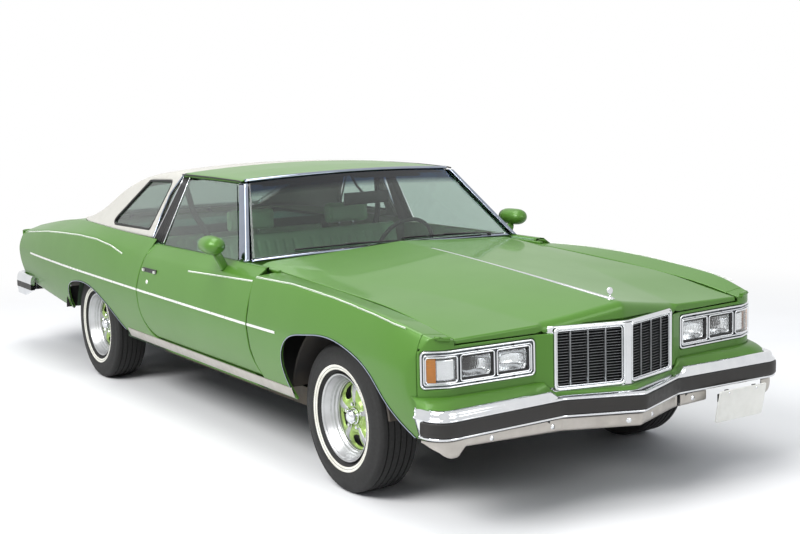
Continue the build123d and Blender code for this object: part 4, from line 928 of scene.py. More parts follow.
def hood_height(x, y):
    """Top of the hood: centre crease, slope to the ridge, fall to the seam, each bend rounded."""
    centre, ridge_y, ridge, seam = np.moveaxis(spline(HOOD_ROWS, x), -1, 0)
    a = np.abs(y)
    first = (centre - ridge) / ridge_y
    second = (ridge - seam) / np.maximum(HOOD_SIDE - ridge_y, 0.02)
    crease = np.sqrt(a ** 2 + 0.006 ** 2) - 0.006
    over = a - ridge_y
    bend = (over + np.sqrt(over ** 2 + 0.016 ** 2)) / 2
    return centre - first * crease - (second - first) * bend + 0.001


def hood_front(y):
    """Front line of the hood in plan, its nose and its corners rounded."""
    a = np.sqrt(y ** 2 + 0.012 ** 2)
    nose = HOOD_NOSE - (HOOD_NOSE - HOOD_FRONT) * a / 0.390
    wing = HOOD_FRONT - (HOOD_FRONT - HOOD_CORNER) * (a - 0.390) / (HOOD_SIDE - 0.390)
    return np.where(a < 0.390, nose, wing)


def hood_rear(y):
    """Rear line of the hood in plan, bowed forward in the middle."""
    t = (y / HOOD_SIDE) ** 2
    return HOOD_REAR + HOOD_BOW * (1 - t)


def build_hood(mats):
    """Hood: rolled edges all round, and a deep rolled nose between the ridges."""
    y, drop_y = edge_roll(-HOOD_SIDE, HOOD_SIDE, 151, 0.004, 0.004)
    rear, front = hood_rear(y), hood_front(y)
    blend = np.clip((0.402 - np.abs(y)) / 0.030, 0, 1)
    blend = blend * blend * (3 - 2 * blend)
    radius = 0.012 + 0.030 * blend
    lip = 0.791 + (0.8165 - 0.791) * blend
    s, drop_s = edge_roll(0.0, 1.0, 110, 0.004, 1e-4)
    s, drop_s = s[:-4], drop_s[:-4]
    x = rear + s[:, None] * (front - radius - rear)
    z = hood_height(x, y) - drop_y - drop_s[:, None]
    tip_z = hood_height(front - radius, y) - drop_y
    phi = np.linspace(0, np.pi / 2, 9)[1:, None]
    arc_x = front - radius + radius * np.sin(phi)
    arc_z = tip_z - radius * (1 - np.cos(phi))
    down = np.linspace(0, 1, 5)[1:, None]
    face_z = (tip_z - radius) * (1 - down) + np.minimum(lip, tip_z - radius - 0.002) * down
    face_x = np.broadcast_to(front, face_z.shape)
    xs, zs = np.concatenate([x, arc_x, face_x]), np.concatenate([z, arc_z, face_z])
    pts = np.stack([xs, np.broadcast_to(y, xs.shape), zs], -1)
    top = make("hood_skin", *sheet(pts), mats["paint"], "hood", wall=0.012)
    lugs = []
    for side in (-1, 1):
        lug_y = side * 0.700
        lugs.append(block(0.893, 0.960, lug_y - 0.005, lug_y + 0.005, 0.924, 0.938))
        lugs.append(block(0.930, 0.992, lug_y - 0.005, lug_y + 0.005, 0.930, hood_height(0.96, 0.70) - 0.014))
    lug = joined("hood_lugs", lugs, mats["black"], "hood")
    frame_x = np.linspace(1.02, 2.52, 40)
    inner = []
    for y0 in (-0.45, 0.45, 0.0):
        line = np.stack([frame_x, np.full(40, y0), hood_height(frame_x, np.full(40, y0)) - 0.020], 1)
        inner.append(swept([(-0.035, 0.006), (0.035, 0.006), (0.022, -0.006), (-0.022, -0.006)], line))
    ribs = joined("hood_ribs", inner, mats["paint"], "hood")
    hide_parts("hood")
    return [top, lug, ribs]


def build_trunk_lid(mats):
    """Trunk lid, crowned across, with its rolled edges and hinge lugs."""
    y, drop_y = edge_roll(-LID_SIDE, LID_SIDE, 81, 0.004, 0.004)
    s, drop_s = edge_roll(LID_REAR, LID_FRONT, 61, 0.010, 0.004)
    centre, seam = rows_at(LID_ROWS, s).T
    z = centre[:, None] - (centre - seam)[:, None] * (y / LID_SIDE) ** 2 - drop_y - drop_s[:, None]
    pts = np.stack([np.broadcast_to(s[:, None], z.shape), np.broadcast_to(y, z.shape), z], -1)
    low = pts[:1].copy()
    low[..., 2] -= 0.014
    top = make("lid_skin", *sheet(np.concatenate([low, pts])), mats["paint"], "trunk_lid", wall=0.010)
    lugs = [block(-2.176, -2.130, side * 0.3 - 0.005, side * 0.3 + 0.005, 0.945, 0.962) for side in (-1, 1)]
    lug = joined("lid_lugs", lugs, mats["black"], "trunk_lid")
    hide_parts("trunk_lid")
    return [top, lug]


def roof_section(base_y, base_z, edge_y, edge_z, top_z, rise=10, crown=48):
    """Roof section from the left base over the crown to the right base, its corners rounded."""
    t = np.linspace(0, 1, crown)
    left = np.stack([edge_y, edge_z], -1)
    right = np.stack([-edge_y, edge_z], -1)
    mid = np.stack([0 * edge_y, top_z], -1)
    over = arc(left, mid, right, t)
    s = np.linspace(0, 1, rise, endpoint=False)[:, None]
    base = np.stack([base_y, base_z], -1)[..., None, :]
    up = base * (1 - s) + left[..., None, :] * s
    down = (up * np.array([-1, 1]))[..., ::-1, :]
    return np.concatenate([up, over, down], -2)


def roof_front_x(y):
    """Front line of the painted roof in plan."""
    return HEADER_X - 0.014 - (HEADER_X - HEADER_CORNER_X) * (y / HEADER_Y) ** 2


def build_roof_front(mats):
    """Painted front half of the roof and the headliner under the whole roof."""
    x = np.linspace(-0.2975, 0.480, 60)
    lines = roof_section(*np.moveaxis(rows_at(ROOF_ROWS, x), -1, 0), rise=8, crown=60)
    lines = smooth_line(lines, 6)
    at = table_surface(x, lines)
    part = panel(at, x, np.linspace(0, 1, 90), lambda p: roof_front_x(p[:, 1]) - p[:, 0], 0.006)
    roof = make("roof_skin", *part, mats["paint"], wall=0.016)
    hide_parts("roof_front")
    rows = [(x0, y0 - 0.05, z0 - 0.012, y1 - 0.05, z1 - 0.030, z2 - 0.030) for x0, y0, z0, y1, z1, z2 in
            [(0.430, 0.690, 1.334, 0.660, 1.350, 1.366)] + ROOF_ROWS[1:2] + [
                (-0.300, 0.694, 1.340, 0.684, 1.358, 1.386), (-0.620, 0.697, 1.330, 0.682, 1.345, 1.377),
                (-1.000, 0.720, 1.260, 0.680, 1.290, 1.335), (-1.130, 0.735, 1.220, 0.676, 1.250, 1.300)]]
    x = np.linspace(-1.12, 0.425, 50)
    lines = roof_section(*np.moveaxis(rows_at(rows, x), -1, 0), rise=4, crown=30)
    grid = np.concatenate([np.broadcast_to(x[:, None, None], lines.shape[:2] + (1,)), lines], -1)
    liner = make("headliner", *sheet(grid), mats["liner"], wall=0.004)
    return [roof, liner]


def vinyl_sections(x):
    """Sections of the vinyl-covered roof at stations x."""
    return smooth_line(roof_section(*np.moveaxis(spline(VINYL_ROWS, x), -1, 0), rise=26, crown=70), 5)


def quarter_window(grow):
    """Quarter window outline in side view, its corners rounded, larger by grow."""
    a = [(-1.135 - grow * 1.6, 1.012 - grow), (-0.500 + grow, 1.020 - grow), (-0.430 + grow, 1.312 + grow),
         (-0.775 - grow, 1.298 + grow)]
    return soften(np.array(a), 0.030)


def soften(points, radius, steps=6):
    """Closed outline with every corner rounded."""
    out = []
    n = len(points)
    for i in range(n):
        p, q, r = points[i - 1], points[i], points[(i + 1) % n]
        a, b = (p - q) / np.linalg.norm(p - q), (r - q) / np.linalg.norm(r - q)
        half = math.acos(np.clip(a @ b, -1, 1)) / 2
        back = min(radius / math.tan(half), 0.45 * np.linalg.norm(p - q), 0.45 * np.linalg.norm(r - q))
        s, e = q + a * back, q + b * back
        t = np.linspace(0, 1, steps)[:, None]
        out.append((1 - t) ** 2 * s + 2 * t * (1 - t) * q + t ** 2 * e)
    return np.concatenate(out)


def rear_opening(grow):
    """Rear window opening in plan, larger by grow."""
    g = grow
    return loop([(-1.170 + g, -0.560 - g), (-1.140 + g, 0, -1.170 + g, 0.560 + g), (-1.915 - g, 0.590 + g),
                 (-1.955 - g, 0, -1.915 - g, -0.590 - g)], 20)


VINYL_FRONT = [(-0.300, 1.600), (-0.300, 1.350), (-0.392, 1.240), (-0.405, 1.100), (-0.395, 0.900),
               (0.2, 0.900), (0.2, 1.600)]


def vinyl_limit(p):
    """Keep of the vinyl: outside the quarter windows, the rear window and the front cut."""
    xz = p[:, [0, 2]]
    side = -inside(quarter_window(0), xz)
    side = np.where(np.abs(p[:, 1]) < 0.60, 1.0, side)
    rear = -inside(rear_opening(0), p[:, :2])
    return np.minimum.reduce([side, rear, -inside(np.array(VINYL_FRONT), xz)])


def build_roof_rear(mats):
    """Vinyl-covered rear half of the roof with its sail panels, padded round its openings."""
    x = np.linspace(VINYL_END, -0.296, 220)
    at = table_surface(x, vinyl_sections(x))
    part = panel(at, np.linspace(VINYL_END, -0.297, 200), np.linspace(0, 1, 150), vinyl_limit, 0.009)
    roof = make("vinyl_roof", *part, mats["vinyl"], wall=0.022)
    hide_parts("roof_rear")
    return [roof]


# Doors, glass and pillars


MIRROR_START = np.array((0.700, 1.030, 1.066))
MIRROR_AT = np.array((0.678, 0.982, 1.044))
MIRROR_SCALE = (1.25, 1.12, 0.92)


def mirror_parts():
    """Left door mirror: pod with a set-in glass, and its stalk."""
    prof = [(1e-4, -0.064), (0.030, -0.063), (0.046, -0.057), (0.0515, -0.046), (0.052, 0.030),
            (0.046, 0.050), (0.032, 0.066), (0.014, 0.075), (1e-4, 0.0775)]
    axis = np.array([1, 0.12, 0])

    def placed(points):
        return MIRROR_AT + (points - MIRROR_START) * MIRROR_SCALE
    pod, faces = turned(prof, MIRROR_START, axis, 48)
    stalk_line = np.array([(0.690, 0.919, 0.905), (0.688, 0.926, 0.932), (0.684, 0.942, 0.968),
                           (0.680, 0.966, 1.010)])
    stalk = swept(rounded(0.046, 0.030, 0.012), smooth_line(stalk_line, 1), (1, 0, 0))
    glass = turned([(1e-4, 0.0), (0.040, 0.0), (0.042, 0.0015)], MIRROR_START - axis * 0.0655, axis, 40)
    return (placed(pod), faces), stalk, (placed(glass[0]), glass[1])


def door_inner_loop():
    """Outline of the door's inner face in side view."""
    front, rear, low = DOOR_FRONT - 0.052, DOOR_REAR + 0.018, DOOR_LOW + 0.012
    return loop([(rear, 0.9515), (rear, 0.620), (rear + 0.030, 0.505, DOOR_HEEL, low), (front, low),
                 (front, 0.9515)])


def door_shell():
    """Left door: outer skin, jamb ribbon between skin and inner face, and top ledge."""
    skin = side_panel(DOOR, DOOR_REAR - 0.002, DOOR_TOE + 0.004, door_limit, 170)
    outer = loop([(DOOR_REAR, 0.950), (DOOR_REAR, 0.620), (DOOR_REAR + 0.030, 0.505, DOOR_HEEL, DOOR_LOW),
                  (DOOR_TOE, DOOR_LOW), (DOOR_FRONT + 0.016, DOOR_LOW + 0.060, DOOR_FRONT, 0.560),
                  (DOOR_FRONT, 0.950)])
    length = run_length(outer)
    s = np.linspace(0, length[-1], 160)
    edge = line_at(outer, length, s)
    centre = np.array([0.35, 0.70])
    edge = edge + (centre - edge) * 0.002
    y_out = np.array([DOOR.y([a], [min(b, 0.90)])[0] for a, b in edge]) - 0.006
    y_out = np.where(edge[:, 1] > 0.90, np.interp(edge[:, 1], [0.90, 0.95], [0.935, 0.885]), y_out)
    back = edge.copy()
    back[:, 0] = np.clip(back[:, 0], DOOR_REAR + 0.018, DOOR_FRONT - 0.052)
    back[:, 1] = np.maximum(back[:, 1], DOOR_LOW + 0.012)
    w = np.linspace(0, 1, 6)[:, None]
    rib = []
    for k in w[:, 0]:
        y = y_out * (1 - k) + 0.8515 * k
        rib.append(np.stack([edge[:, 0] * (1 - k) + back[:, 0] * k, y,
                             edge[:, 1] * (1 - k) + back[:, 1] * k], 1))
    jamb = sheet(np.array(rib))
    x = np.linspace(DOOR_REAR + 0.004, DOOR_FRONT - 0.004, 60)
    inner_y = rows_at(DOOR_ROWS, x)[:, 6]
    inner_z = rows_at(DOOR_ROWS, x)[:, 7]
    ledge = np.stack([np.stack([x, inner_y + 0.001, inner_z - 0.001], 1),
                      np.stack([np.clip(x, None, DOOR_FRONT - 0.03), np.full(60, 0.852), inner_z - 0.001], 1),
                      np.stack([np.clip(x, None, DOOR_FRONT - 0.052), np.full(60, 0.8515), inner_z - 0.030],
                               1)])
    return skin, jamb, sheet(ledge)


def door_trim():
    """Inner face of the left door with its armrest, pull and pleats."""
    line = door_inner_loop()

    def face(uv):
        x, z = uv[:, 0], uv[:, 1]
        pleat = 0.0022 * np.abs(np.sin(np.pi * x / 0.055)) * (z > 0.720) * (z < 0.900)
        return np.stack([x, 0.8500 - pleat, z], 1)
    flat = panel(face, np.linspace(DOOR_REAR, DOOR_FRONT, 220), np.linspace(0.43, 0.955, 50),
                 lambda p: inside(line, p[:, [0, 2]]), 0.004)
    rest = swept(rounded(0.044, 0.056, 0.014),
                 smooth_line(np.array([(-0.058, 0.829, 0.668), (0.1, 0.829, 0.668), (0.3, 0.829, 0.672),
                                       (0.518, 0.833, 0.680)]), 2))
    pull = tube_along(smooth_line(np.array([(0.20, 0.848, 0.735), (0.215, 0.828, 0.74), (0.30, 0.822, 0.742),
                                            (0.385, 0.828, 0.74), (0.40, 0.848, 0.735)]), 2), 0.007)
    crank = tube_along(smooth_line(np.array([(0.46, 0.846, 0.60), (0.46, 0.832, 0.60), (0.50, 0.828, 0.565),
                                             (0.53, 0.826, 0.54)]), 1), 0.0065)
    knob = turned([(1e-4, -0.008), (0.011, -0.006), (0.013, 0), (0.010, 0.010), (1e-4, 0.012)],
                  (0.53, 0.818, 0.54), (0, -1, 0), 20)
    return flat, rest, [pull, crank, knob]


def build_doors(mats):
    """Both doors with skin, jambs, trim, armrest, inner pulls and mirror."""
    made = []
    skin, jamb, ledge = door_shell()
    flat, rest, bright = door_trim()
    pod, stalk, glass = mirror_parts()
    for name, turn in SIDES:
        body = "door_" + name
        shell = joined("door_skin_" + name, [turn(skin)], mats["paint"], body, wall=0.006)
        jambs = joined("door_jamb_" + name, [turn(jamb), turn(ledge)], mats["paint"], body, wall=0.003)
        trim = joined("door_trim_" + name, [turn(flat)], mats["seat"], body, wall=0.004)
        arm = joined("door_armrest_" + name, [turn(rest)], mats["dash"], body)
        pulls = joined("door_pulls_" + name, [turn(p) for p in bright], mats["chrome"], body)
        pods = joined("mirror_pod_" + name, [turn(pod), turn(stalk)], mats["paint"], body, level=1)
        face = joined("mirror_glass_" + name, [turn(glass)], mats["mirror"], body)
        made += [shell, jambs, trim, arm, pulls, pods, face]
        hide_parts("door_" + name)
    return made


def side_sheet(points, inset, thickness):
    """Flat sheet in the sloping plane of the left side glass: outline of (x, z), set in by inset."""
    p = np.asarray(points, float)
    y = TUMBLE_Y - TUMBLE * (p[:, 1] - BELT_Z) - inset
    outer = np.stack([p[:, 0], y, p[:, 1]], 1)
    n = len(p)
    back = outer - [0, thickness, thickness * TUMBLE]
    pts = np.concatenate([outer, back])
    return pts, [list(range(n)), list(range(n, 2 * n))[::-1]] + prism_walls(n)


def build_glass(mats):
    """Windshield, rear window, quarter windows and door glass."""
    lower = [(COWL_CORNER_X, -COWL_Y, COWL_CORNER_Z), (COWL_X, 0, COWL_Z),
             (COWL_CORNER_X, COWL_Y, COWL_CORNER_Z)]
    upper = [(HEADER_CORNER_X, -HEADER_Y, HEADER_CORNER_Z), (HEADER_X, 0, HEADER_Z),
             (HEADER_CORNER_X, HEADER_Y, HEADER_CORNER_Z)]
    screen = ruled(lower, upper, 60, 30, 0.006)
    tall = np.repeat(np.linspace(0, 1, 30)[:, None], 60, 1).ravel()
    uv = np.stack([np.tile(np.linspace(0, 1, 60), 30), tall], 1)
    v, f = sheet(screen)
    front = make("windshield", v, f, mats["screen"], wall=0.005, uv=uv)
    back = ruled([(-1.911, -0.5893, 0.988), (-1.950, 0, 0.992), (-1.911, 0.5893, 0.988)],
                 [(-1.173, -0.5596, 1.238), (-1.144, 0, 1.268), (-1.173, 0.5596, 1.238)], 40, 20)
    rear = make("rear_glass", *sheet(back), mats["glass"], wall=0.005)
    quarter = side_sheet(quarter_window(-0.003), 0.014, 0.005)
    sides = joined("quarter_glass", pair(quarter), mats["glass"], smooth=False)
    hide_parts("fixed_glass")
    made = [front, rear, sides]
    outline_xz = soften(np.array([(-0.205, 0.9605), (0.757, 0.9605), (0.411, 1.325), (-0.205, 1.325)]), 0.012)
    pane = side_sheet(outline_xz, 0.003, 0.005)
    for name, turn in SIDES:
        glass = joined("door_pane_" + name, [turn(pane)], mats["glass"], "door_" + name, smooth=False)
        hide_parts("door_glass_" + name)
        made.append(glass)
    return made


def build_pillars(mats):
    """Bright windshield pillars, roof and rear window mouldings, drip rails and glass seals."""
    base = np.array([(0.770, 0.8505, 0.958), (0.850, 0.8505, 0.958), (0.850, 0.878, 0.958),
                     (0.770, 0.878, 0.958)])
    top = np.array([(0.415, 0.663, 1.3335), (0.487, 0.663, 1.3335), (0.487, 0.689, 1.3335),
                    (0.415, 0.689, 1.3335)])
    ring = []
    for w in np.linspace(0, 1, 20):
        c = base * (1 - w) + top * w
        ring.append(soften(c, 0.009, 5))
    pts = np.array(ring)
    post = (pts.reshape(-1, 3), tube_faces(*pts.shape[:2]))
    posts = joined("windshield_posts", pair(post), mats["chrome_painted_sky"])
    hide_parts("windshield_pillars")
    half = np.linspace(-1, 1, 61)
    head = np.stack([HEADER_X + 0.004 - (HEADER_X - HEADER_CORNER_X) * half ** 2, half * (HEADER_Y + 0.012),
                     HEADER_Z + 0.001 - (HEADER_Z - HEADER_CORNER_Z) * half ** 2], 1)
    strip = rounded(0.022, 0.009, 0.004)
    header = swept(strip @ np.array([[0.85, -0.5], [0.5, 0.85]]), head)
    low = np.stack([COWL_X + 0.006 - (COWL_X - COWL_CORNER_X) * half ** 2, half * (COWL_Y - 0.006),
                    COWL_Z - (COWL_Z - COWL_CORNER_Z) * half ** 2], 1)
    foot = swept(rounded(0.016, 0.008, 0.0035) @ np.array([[0.85, -0.5], [0.5, 0.85]]), low)
    drip = np.array([(0.455, 0.690, 1.3460), (0.42, 0.6905, 1.3500), (0.10, 0.6990, 1.3560),
                     (-0.20, 0.7005, 1.3560), (-0.300, 0.7000, 1.3545)])
    drip = smooth_line(np.concatenate([np.linspace(a, b, 12, endpoint=False) for a, b in zip(drip, drip[1:])]
                                      + [drip[-1:]]), 4)
    rail = swept(rounded(0.008, 0.008, 0.003), drip - [0, 0, 0.004])
    edge_line = np.array([(-0.300, 1.352), (-0.392, 1.240), (-0.405, 1.100), (-0.399, 0.985)])
    edge_line = np.concatenate([np.linspace(a, b, 16, endpoint=False)
                                for a, b in zip(edge_line, edge_line[1:])]
                               + [edge_line[-1:]])
    edge_line = smooth_line(edge_line, 6)
    roof_y = []
    for x, z in edge_line:
        row = spline(VINYL_ROWS, x)
        roof_y.append(row[0] + (row[2] - row[0]) * (z - row[1]) / (row[3] - row[1]))
    front_edge = np.stack([edge_line[:, 0], np.array(roof_y) + 0.001, edge_line[:, 1]], 1)
    bead = swept(rounded(0.010, 0.012, 0.004), front_edge, (0, 1, 0))
    across_y = np.linspace(-0.684, 0.684, 41)
    top_z = 1.3825 - (1.386 - 1.358) * (across_y / 0.684) ** 2
    over = swept(rounded(0.010, 0.005, 0.0024),
                 np.stack([np.full(41, -0.2985), across_y, top_z], 1))
    trims = joined("roof_mouldings", [header, foot] + pair(bead), mats["chrome_painted_sky"])
    rails = joined("drip_rails", [over] + pair(rail), mats["black"])
    opening = rear_opening(0.002)
    rows_z = []
    for x, y in opening:
        row = spline(VINYL_ROWS, np.clip(x, VINYL_END, -0.3))
        rows_z.append(row[4] - (row[4] - row[3]) * (y / row[2]) ** 2)
    ring_path = np.stack([opening[:, 0], opening[:, 1], np.array(rows_z) + 0.001], 1)
    dense = dense_ring(ring_path, 4)
    seal = swept(rounded(0.018, 0.010, 0.004), dense, close_path=True, caps=False)
    back_ring = make("rear_window_moulding", *seal, mats["chrome"])
    window = quarter_window(-0.004)
    gasket = dense_ring(window, 4)
    y = TUMBLE_Y - TUMBLE * (gasket[:, 1] - BELT_Z) - 0.008
    gasket = swept(rounded(0.014, 0.010, 0.004), np.stack([gasket[:, 0], y, gasket[:, 1]], 1),
                   (0, 1, 0), close_path=True, caps=False)
    seals = joined("quarter_gaskets", pair(gasket), mats["black"])
    return [posts, trims, rails, back_ring, seals]


def build_louvres(mats):
    """Black ribbed panel behind each door glass, with its bright edges."""
    def at_side(x, z, out=0.0):
        return (x, TUMBLE_Y - TUMBLE * (z - BELT_Z) - 0.006 + out, z)
    corners = [(-0.391, 0.966), (-0.232, 0.966), (-0.217, 1.338), (-0.300, 1.338)]
    backing = side_sheet(corners, 0.009, 0.010)
    ribs, edges = [], []
    for k in range(5):
        w = (k + 0.5) / 5
        low = -0.385 * (1 - w) + -0.238 * w
        high = -0.296 * (1 - w) + -0.221 * w
        path = np.array([at_side(low * (1 - t) + high * t, 0.972 + 0.360 * t, 0.001)
                         for t in np.linspace(0, 1, 9)])
        width = np.interp(np.linspace(0, 1, 9), [0, 1], [1.0, 0.52])
        ribs.append(swept([(-0.012, -0.003), (0.010, 0.004), (0.013, 0.0035), (0.012, -0.003)], path,
                          (0, 1, 0), scale=width))
    for low, high in ((-0.391, -0.300), (-0.232, -0.217)):
        path = np.array([at_side(low * (1 - t) + high * t, 0.966 + 0.372 * t, 0.002)
                         for t in np.linspace(0, 1, 9)])
        edges.append(swept(rounded(0.007, 0.008, 0.003), path, (0, 1, 0)))
    body = joined("louvre_panels", pair(backing) + pairs(ribs), mats["black"])
    bright = joined("louvre_edges", pairs(edges), mats["chrome"])
    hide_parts("pillar_louvres")
    return [body, bright]


# Front end


def header_line():
    """Plan of the nose from the grille's side round to the fender's end, as dense points."""
    a = np.array([(2.670, 0.346), (2.634, 0.424)])
    b = np.array([(2.634, 0.424), (2.614, 0.800)])
    turn = arc((2.614, 0.800), (2.590, 0.905), (2.530, 0.962), np.linspace(0, 1, 40))
    c = np.array([(2.530, 0.962), (2.458, 1.000)])
    line = np.concatenate([np.linspace(*a, 20)[:-1], np.linspace(*b, 90)[:-1], turn[:-1],
                           np.linspace(*c, 24)])
    length = run_length(line)
    s = np.arange(0, length[-1], 0.004)
    return s, line_at(line, length, s)


class Nose:
    """Nose surface on the left: read by distance along the plan line and height, stood off by out."""

    def __init__(self):
        self.s, self.line = header_line()
        z = np.linspace(0.40, 0.86, 93)
        self.z = z
        self.side_y = np.array([FENDER.y(np.full(len(z), x), z) for x in self.line[:, 0]])

    def at(self, uv, out=0.0):
        s, z = uv[:, 0], uv[:, 1]
        x = np.interp(s, self.s, self.line[:, 0])
        y = np.interp(s, self.s, self.line[:, 1])
        i = np.clip(np.searchsorted(self.s, s) - 1, 0, len(self.s) - 2)
        a = np.clip((s - self.s[i]) / (self.s[i + 1] - self.s[i]), 0, 1)
        fz = np.clip((z - self.z[0]) / (self.z[1] - self.z[0]), 0, len(self.z) - 1.001)
        j = fz.astype(int)
        b = fz - j
        side = between(self.side_y, i, j, a, b)
        soft = 0.004
        y = side - (side - y + np.sqrt((side - y) ** 2 + soft ** 2)) / 2 + soft / 2
        y = y - soft / 2
        dx = np.interp(s + 0.003, self.s, self.line[:, 0]) - np.interp(s - 0.003, self.s, self.line[:, 0])
        dy = np.interp(s + 0.003, self.s, self.line[:, 1]) - np.interp(s - 0.003, self.s, self.line[:, 1])
        size = np.hypot(dx, dy) + 1e-9
        side_on = np.clip((s - self.s[-1] + 0.10) / 0.08, 0, 1)
        nx, ny = dy / size * (1 - side_on), -dx / size * (1 - side_on) + side_on
        size = np.hypot(nx, ny)
        return np.stack([x + out * nx / size, y + out * ny / size, z], 1)

    def place(self, y):
        """Distance along the line at side distance y."""
        return float(np.interp(y, self.line[:, 1], self.s))

    def place_x(self, x):
        """Distance along the line where it has run back to x."""
        return float(np.interp(-x, -self.line[:, 0], self.s))


NOSE = Nose()
BEZEL_LOW, BEZEL_TOP = LAMP_LOW - 0.0257, LAMP_TOP + 0.0297


def rounded_box(s0, s1, z0, z1, r):
    """Rounded rectangle outline in (distance, height)."""
    return rounded(s1 - s0, z1 - z0, r, 7) + [(s0 + s1) / 2, (z0 + z1) / 2]


def nose_ring(line, profile, out=0.0):
    """Profile carried round a closed outline on the nose surface."""
    dense = dense_ring(line, 5)
    path = NOSE.at(dense, out)
    normal = NOSE.at(dense, out + 0.01) - path
    return swept(profile, path, normal / np.linalg.norm(normal, axis=1)[:, None], close_path=True, caps=False)


def nose_panel(limit, out, s0, s1, z0, z1, n, m, hem):
    """Part of the nose surface kept where limit((s, z)) is above 0; limit works on the flat (s, z)."""
    uv, tris, sink = cut_grid(np.linspace(s0, s1, n), np.linspace(z0, z1, m), limit, hem)
    pts = NOSE.at(uv)
    return pts + (NOSE.at(uv, 0.01) - pts) * ((out - sink) / 0.01)[:, None], tris


def fender_top(line):
    """Height of the fender's top under each plan point of the nose line."""
    out = []
    for x, y in line:
        i = int(np.clip(round((x - 0.004 - FENDER.x[0]) / (FENDER.x[1] - FENDER.x[0])), 0, len(FENDER.x) - 1))
        top = FENDER.lines[i][-30:][::-1]
        out.append(float(np.interp(min(y, top[:, 0].max()), top[:, 0], top[:, 1])))
    return np.array(out)


def lamp_boxes(grow=0.0):
    """Lamp openings in (distance, height): inner, outer and corner lamp."""
    out = []
    for y0, y1 in LAMP_SPANS:
        out.append(rounded_box(NOSE.place(y0) - grow, NOSE.place(y1) + grow, LAMP_LOW - grow, LAMP_TOP + grow,
                               0.010 + grow))
    out.append(rounded_box(NOSE.place(CORNER_LAMP) - grow, NOSE.place_x(LAMP_END) + grow, LAMP_LOW - grow,
                           LAMP_TOP + grow, 0.012 + grow))
    return out


def build_header(mats):
    """Body-coloured nose round the lamps, with the filler under the grille."""
    s0, s1 = float(NOSE.s[0]), NOSE.place_x(FENDER_END + 0.0003)
    window = rounded_box(NOSE.place(0.417), NOSE.place_x(BEZEL_END), BEZEL_LOW, BEZEL_TOP, 0.020)

    crown = fender_top(NOSE.line)
    start = NOSE.place(0.8165)

    def limit(uv):
        top = np.where(uv[:, 0] > start, np.interp(uv[:, 0], NOSE.s, crown) - 0.001, HEADER_TOP)
        low = np.interp(uv[:, 0], [NOSE.place(0.86), NOSE.place(0.94)], [HEADER_LOW, 0.402])
        return np.minimum.reduce([uv[:, 1] - low, top - uv[:, 1], s1 - uv[:, 0], -inside(window, uv)])
    left = nose_panel(limit, 0.0, s0, s1 + 0.01, 0.398, 0.850, 150, 110, 0.004)

    def cap_limit(p):
        line = NOSE.line[NOSE.line[:, 1] > 0.78]
        front = np.interp(p[:, 1], line[:, 1], line[:, 0])
        return np.minimum.reduce([p[:, 0] - FENDER_END - 0.0005, p[:, 1] - 0.8155, front - p[:, 0] + 0.001,
                                  p[:, 2] - BEZEL_TOP - 0.007])
    cap = panel(fender_at, np.linspace(FENDER_END - 0.002, 2.625, 60), np.linspace(0.4, 1, 90), cap_limit,
                0.003)
    panel_obj = joined("nose_panel", pair(left) + pair(cap), mats["paint"], wall=0.010)
    ledge = []
    for z in (HEADER_TOP - 0.006, HEADER_LOW + 0.004):
        s = np.linspace(s0, s1 - 0.004, 60)
        outer = NOSE.at(np.stack([s, np.full(60, z)], 1), -0.006)
        inner = outer * (1, 0.93, 1) - (0.05, 0, 0)
        ledge.append(sheet(np.stack([outer, inner])))
    filler = np.array([(2.540, -0.346), (2.648, -0.346), (2.735, 0.0), (2.648, 0.346), (2.540, 0.346),
                       (2.600, 0.0)])
    v = np.concatenate([np.c_[filler, np.full(6, 0.4985)], np.c_[filler, np.full(6, GRILLE_LOW - 0.001)]])
    f = [[0, 1, 2, 5], [5, 2, 3, 4], [6, 11, 8, 7], [11, 10, 9, 8]] + prism_walls(6)
    lower = joined("nose_filler", [(v, f)] + pair(block(2.540, 2.600, 0.330, 0.400, 0.4985, 0.570)),
                   mats["paint"], bevel=0.006)
    shelves = joined("nose_ledges", pairs(ledge), mats["paint"], wall=0.004)
    t = np.linspace(0, 1, 161)
    low_line = bumper_line(0.060, 2.580, 321)[160:]
    low_line = np.stack([np.interp(t, np.linspace(0, 1, 161), low_line[:, k]) for k in (0, 1)], 1)
    up_line = np.concatenate([[(GRILLE_NOSE - 0.012, 0.0), (GRILLE_SIDE - 0.010, 0.342)], NOSE.line[6:]])
    length = run_length(up_line)
    run = run_length(low_line)
    up_line = np.stack([np.interp(run / run[-1] * length[-1] * 0.94, length, up_line[:, k])
                        for k in (0, 1)], 1)
    side = np.clip((low_line[:, 1] - 0.345) / 0.045, 0, 1)
    z_low, z_up = 0.512 + 0.020 * side, 0.5305 + 0.050 * side
    w = np.linspace(0, 1, 10)[:, None]
    bow = 0.010 * np.sin(np.pi * w)
    fill = np.stack([up_line[None, :, 0] * (1 - w) + low_line[None, :, 0] * w + bow * 0.5,
                     up_line[None, :, 1] * (1 - w) + low_line[None, :, 1] * w,
                     (z_up * (1 - w) + z_low * w) + bow], -1)
    shield = joined("bumper_shield", pair(sheet(fill)), mats["paint"], wall=0.004)
    # Matt black block behind the nose: painted shade seen through the gaps round the lamps, bezels and
    # grille.
    back = block(2.505, 2.560, -0.86, 0.86, 0.500, 0.770)
    shade = joined("nose_painted_shade", [back], mats["shadow"])
    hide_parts("header_panel")
    return [panel_obj, lower, shelves, shade, shield]


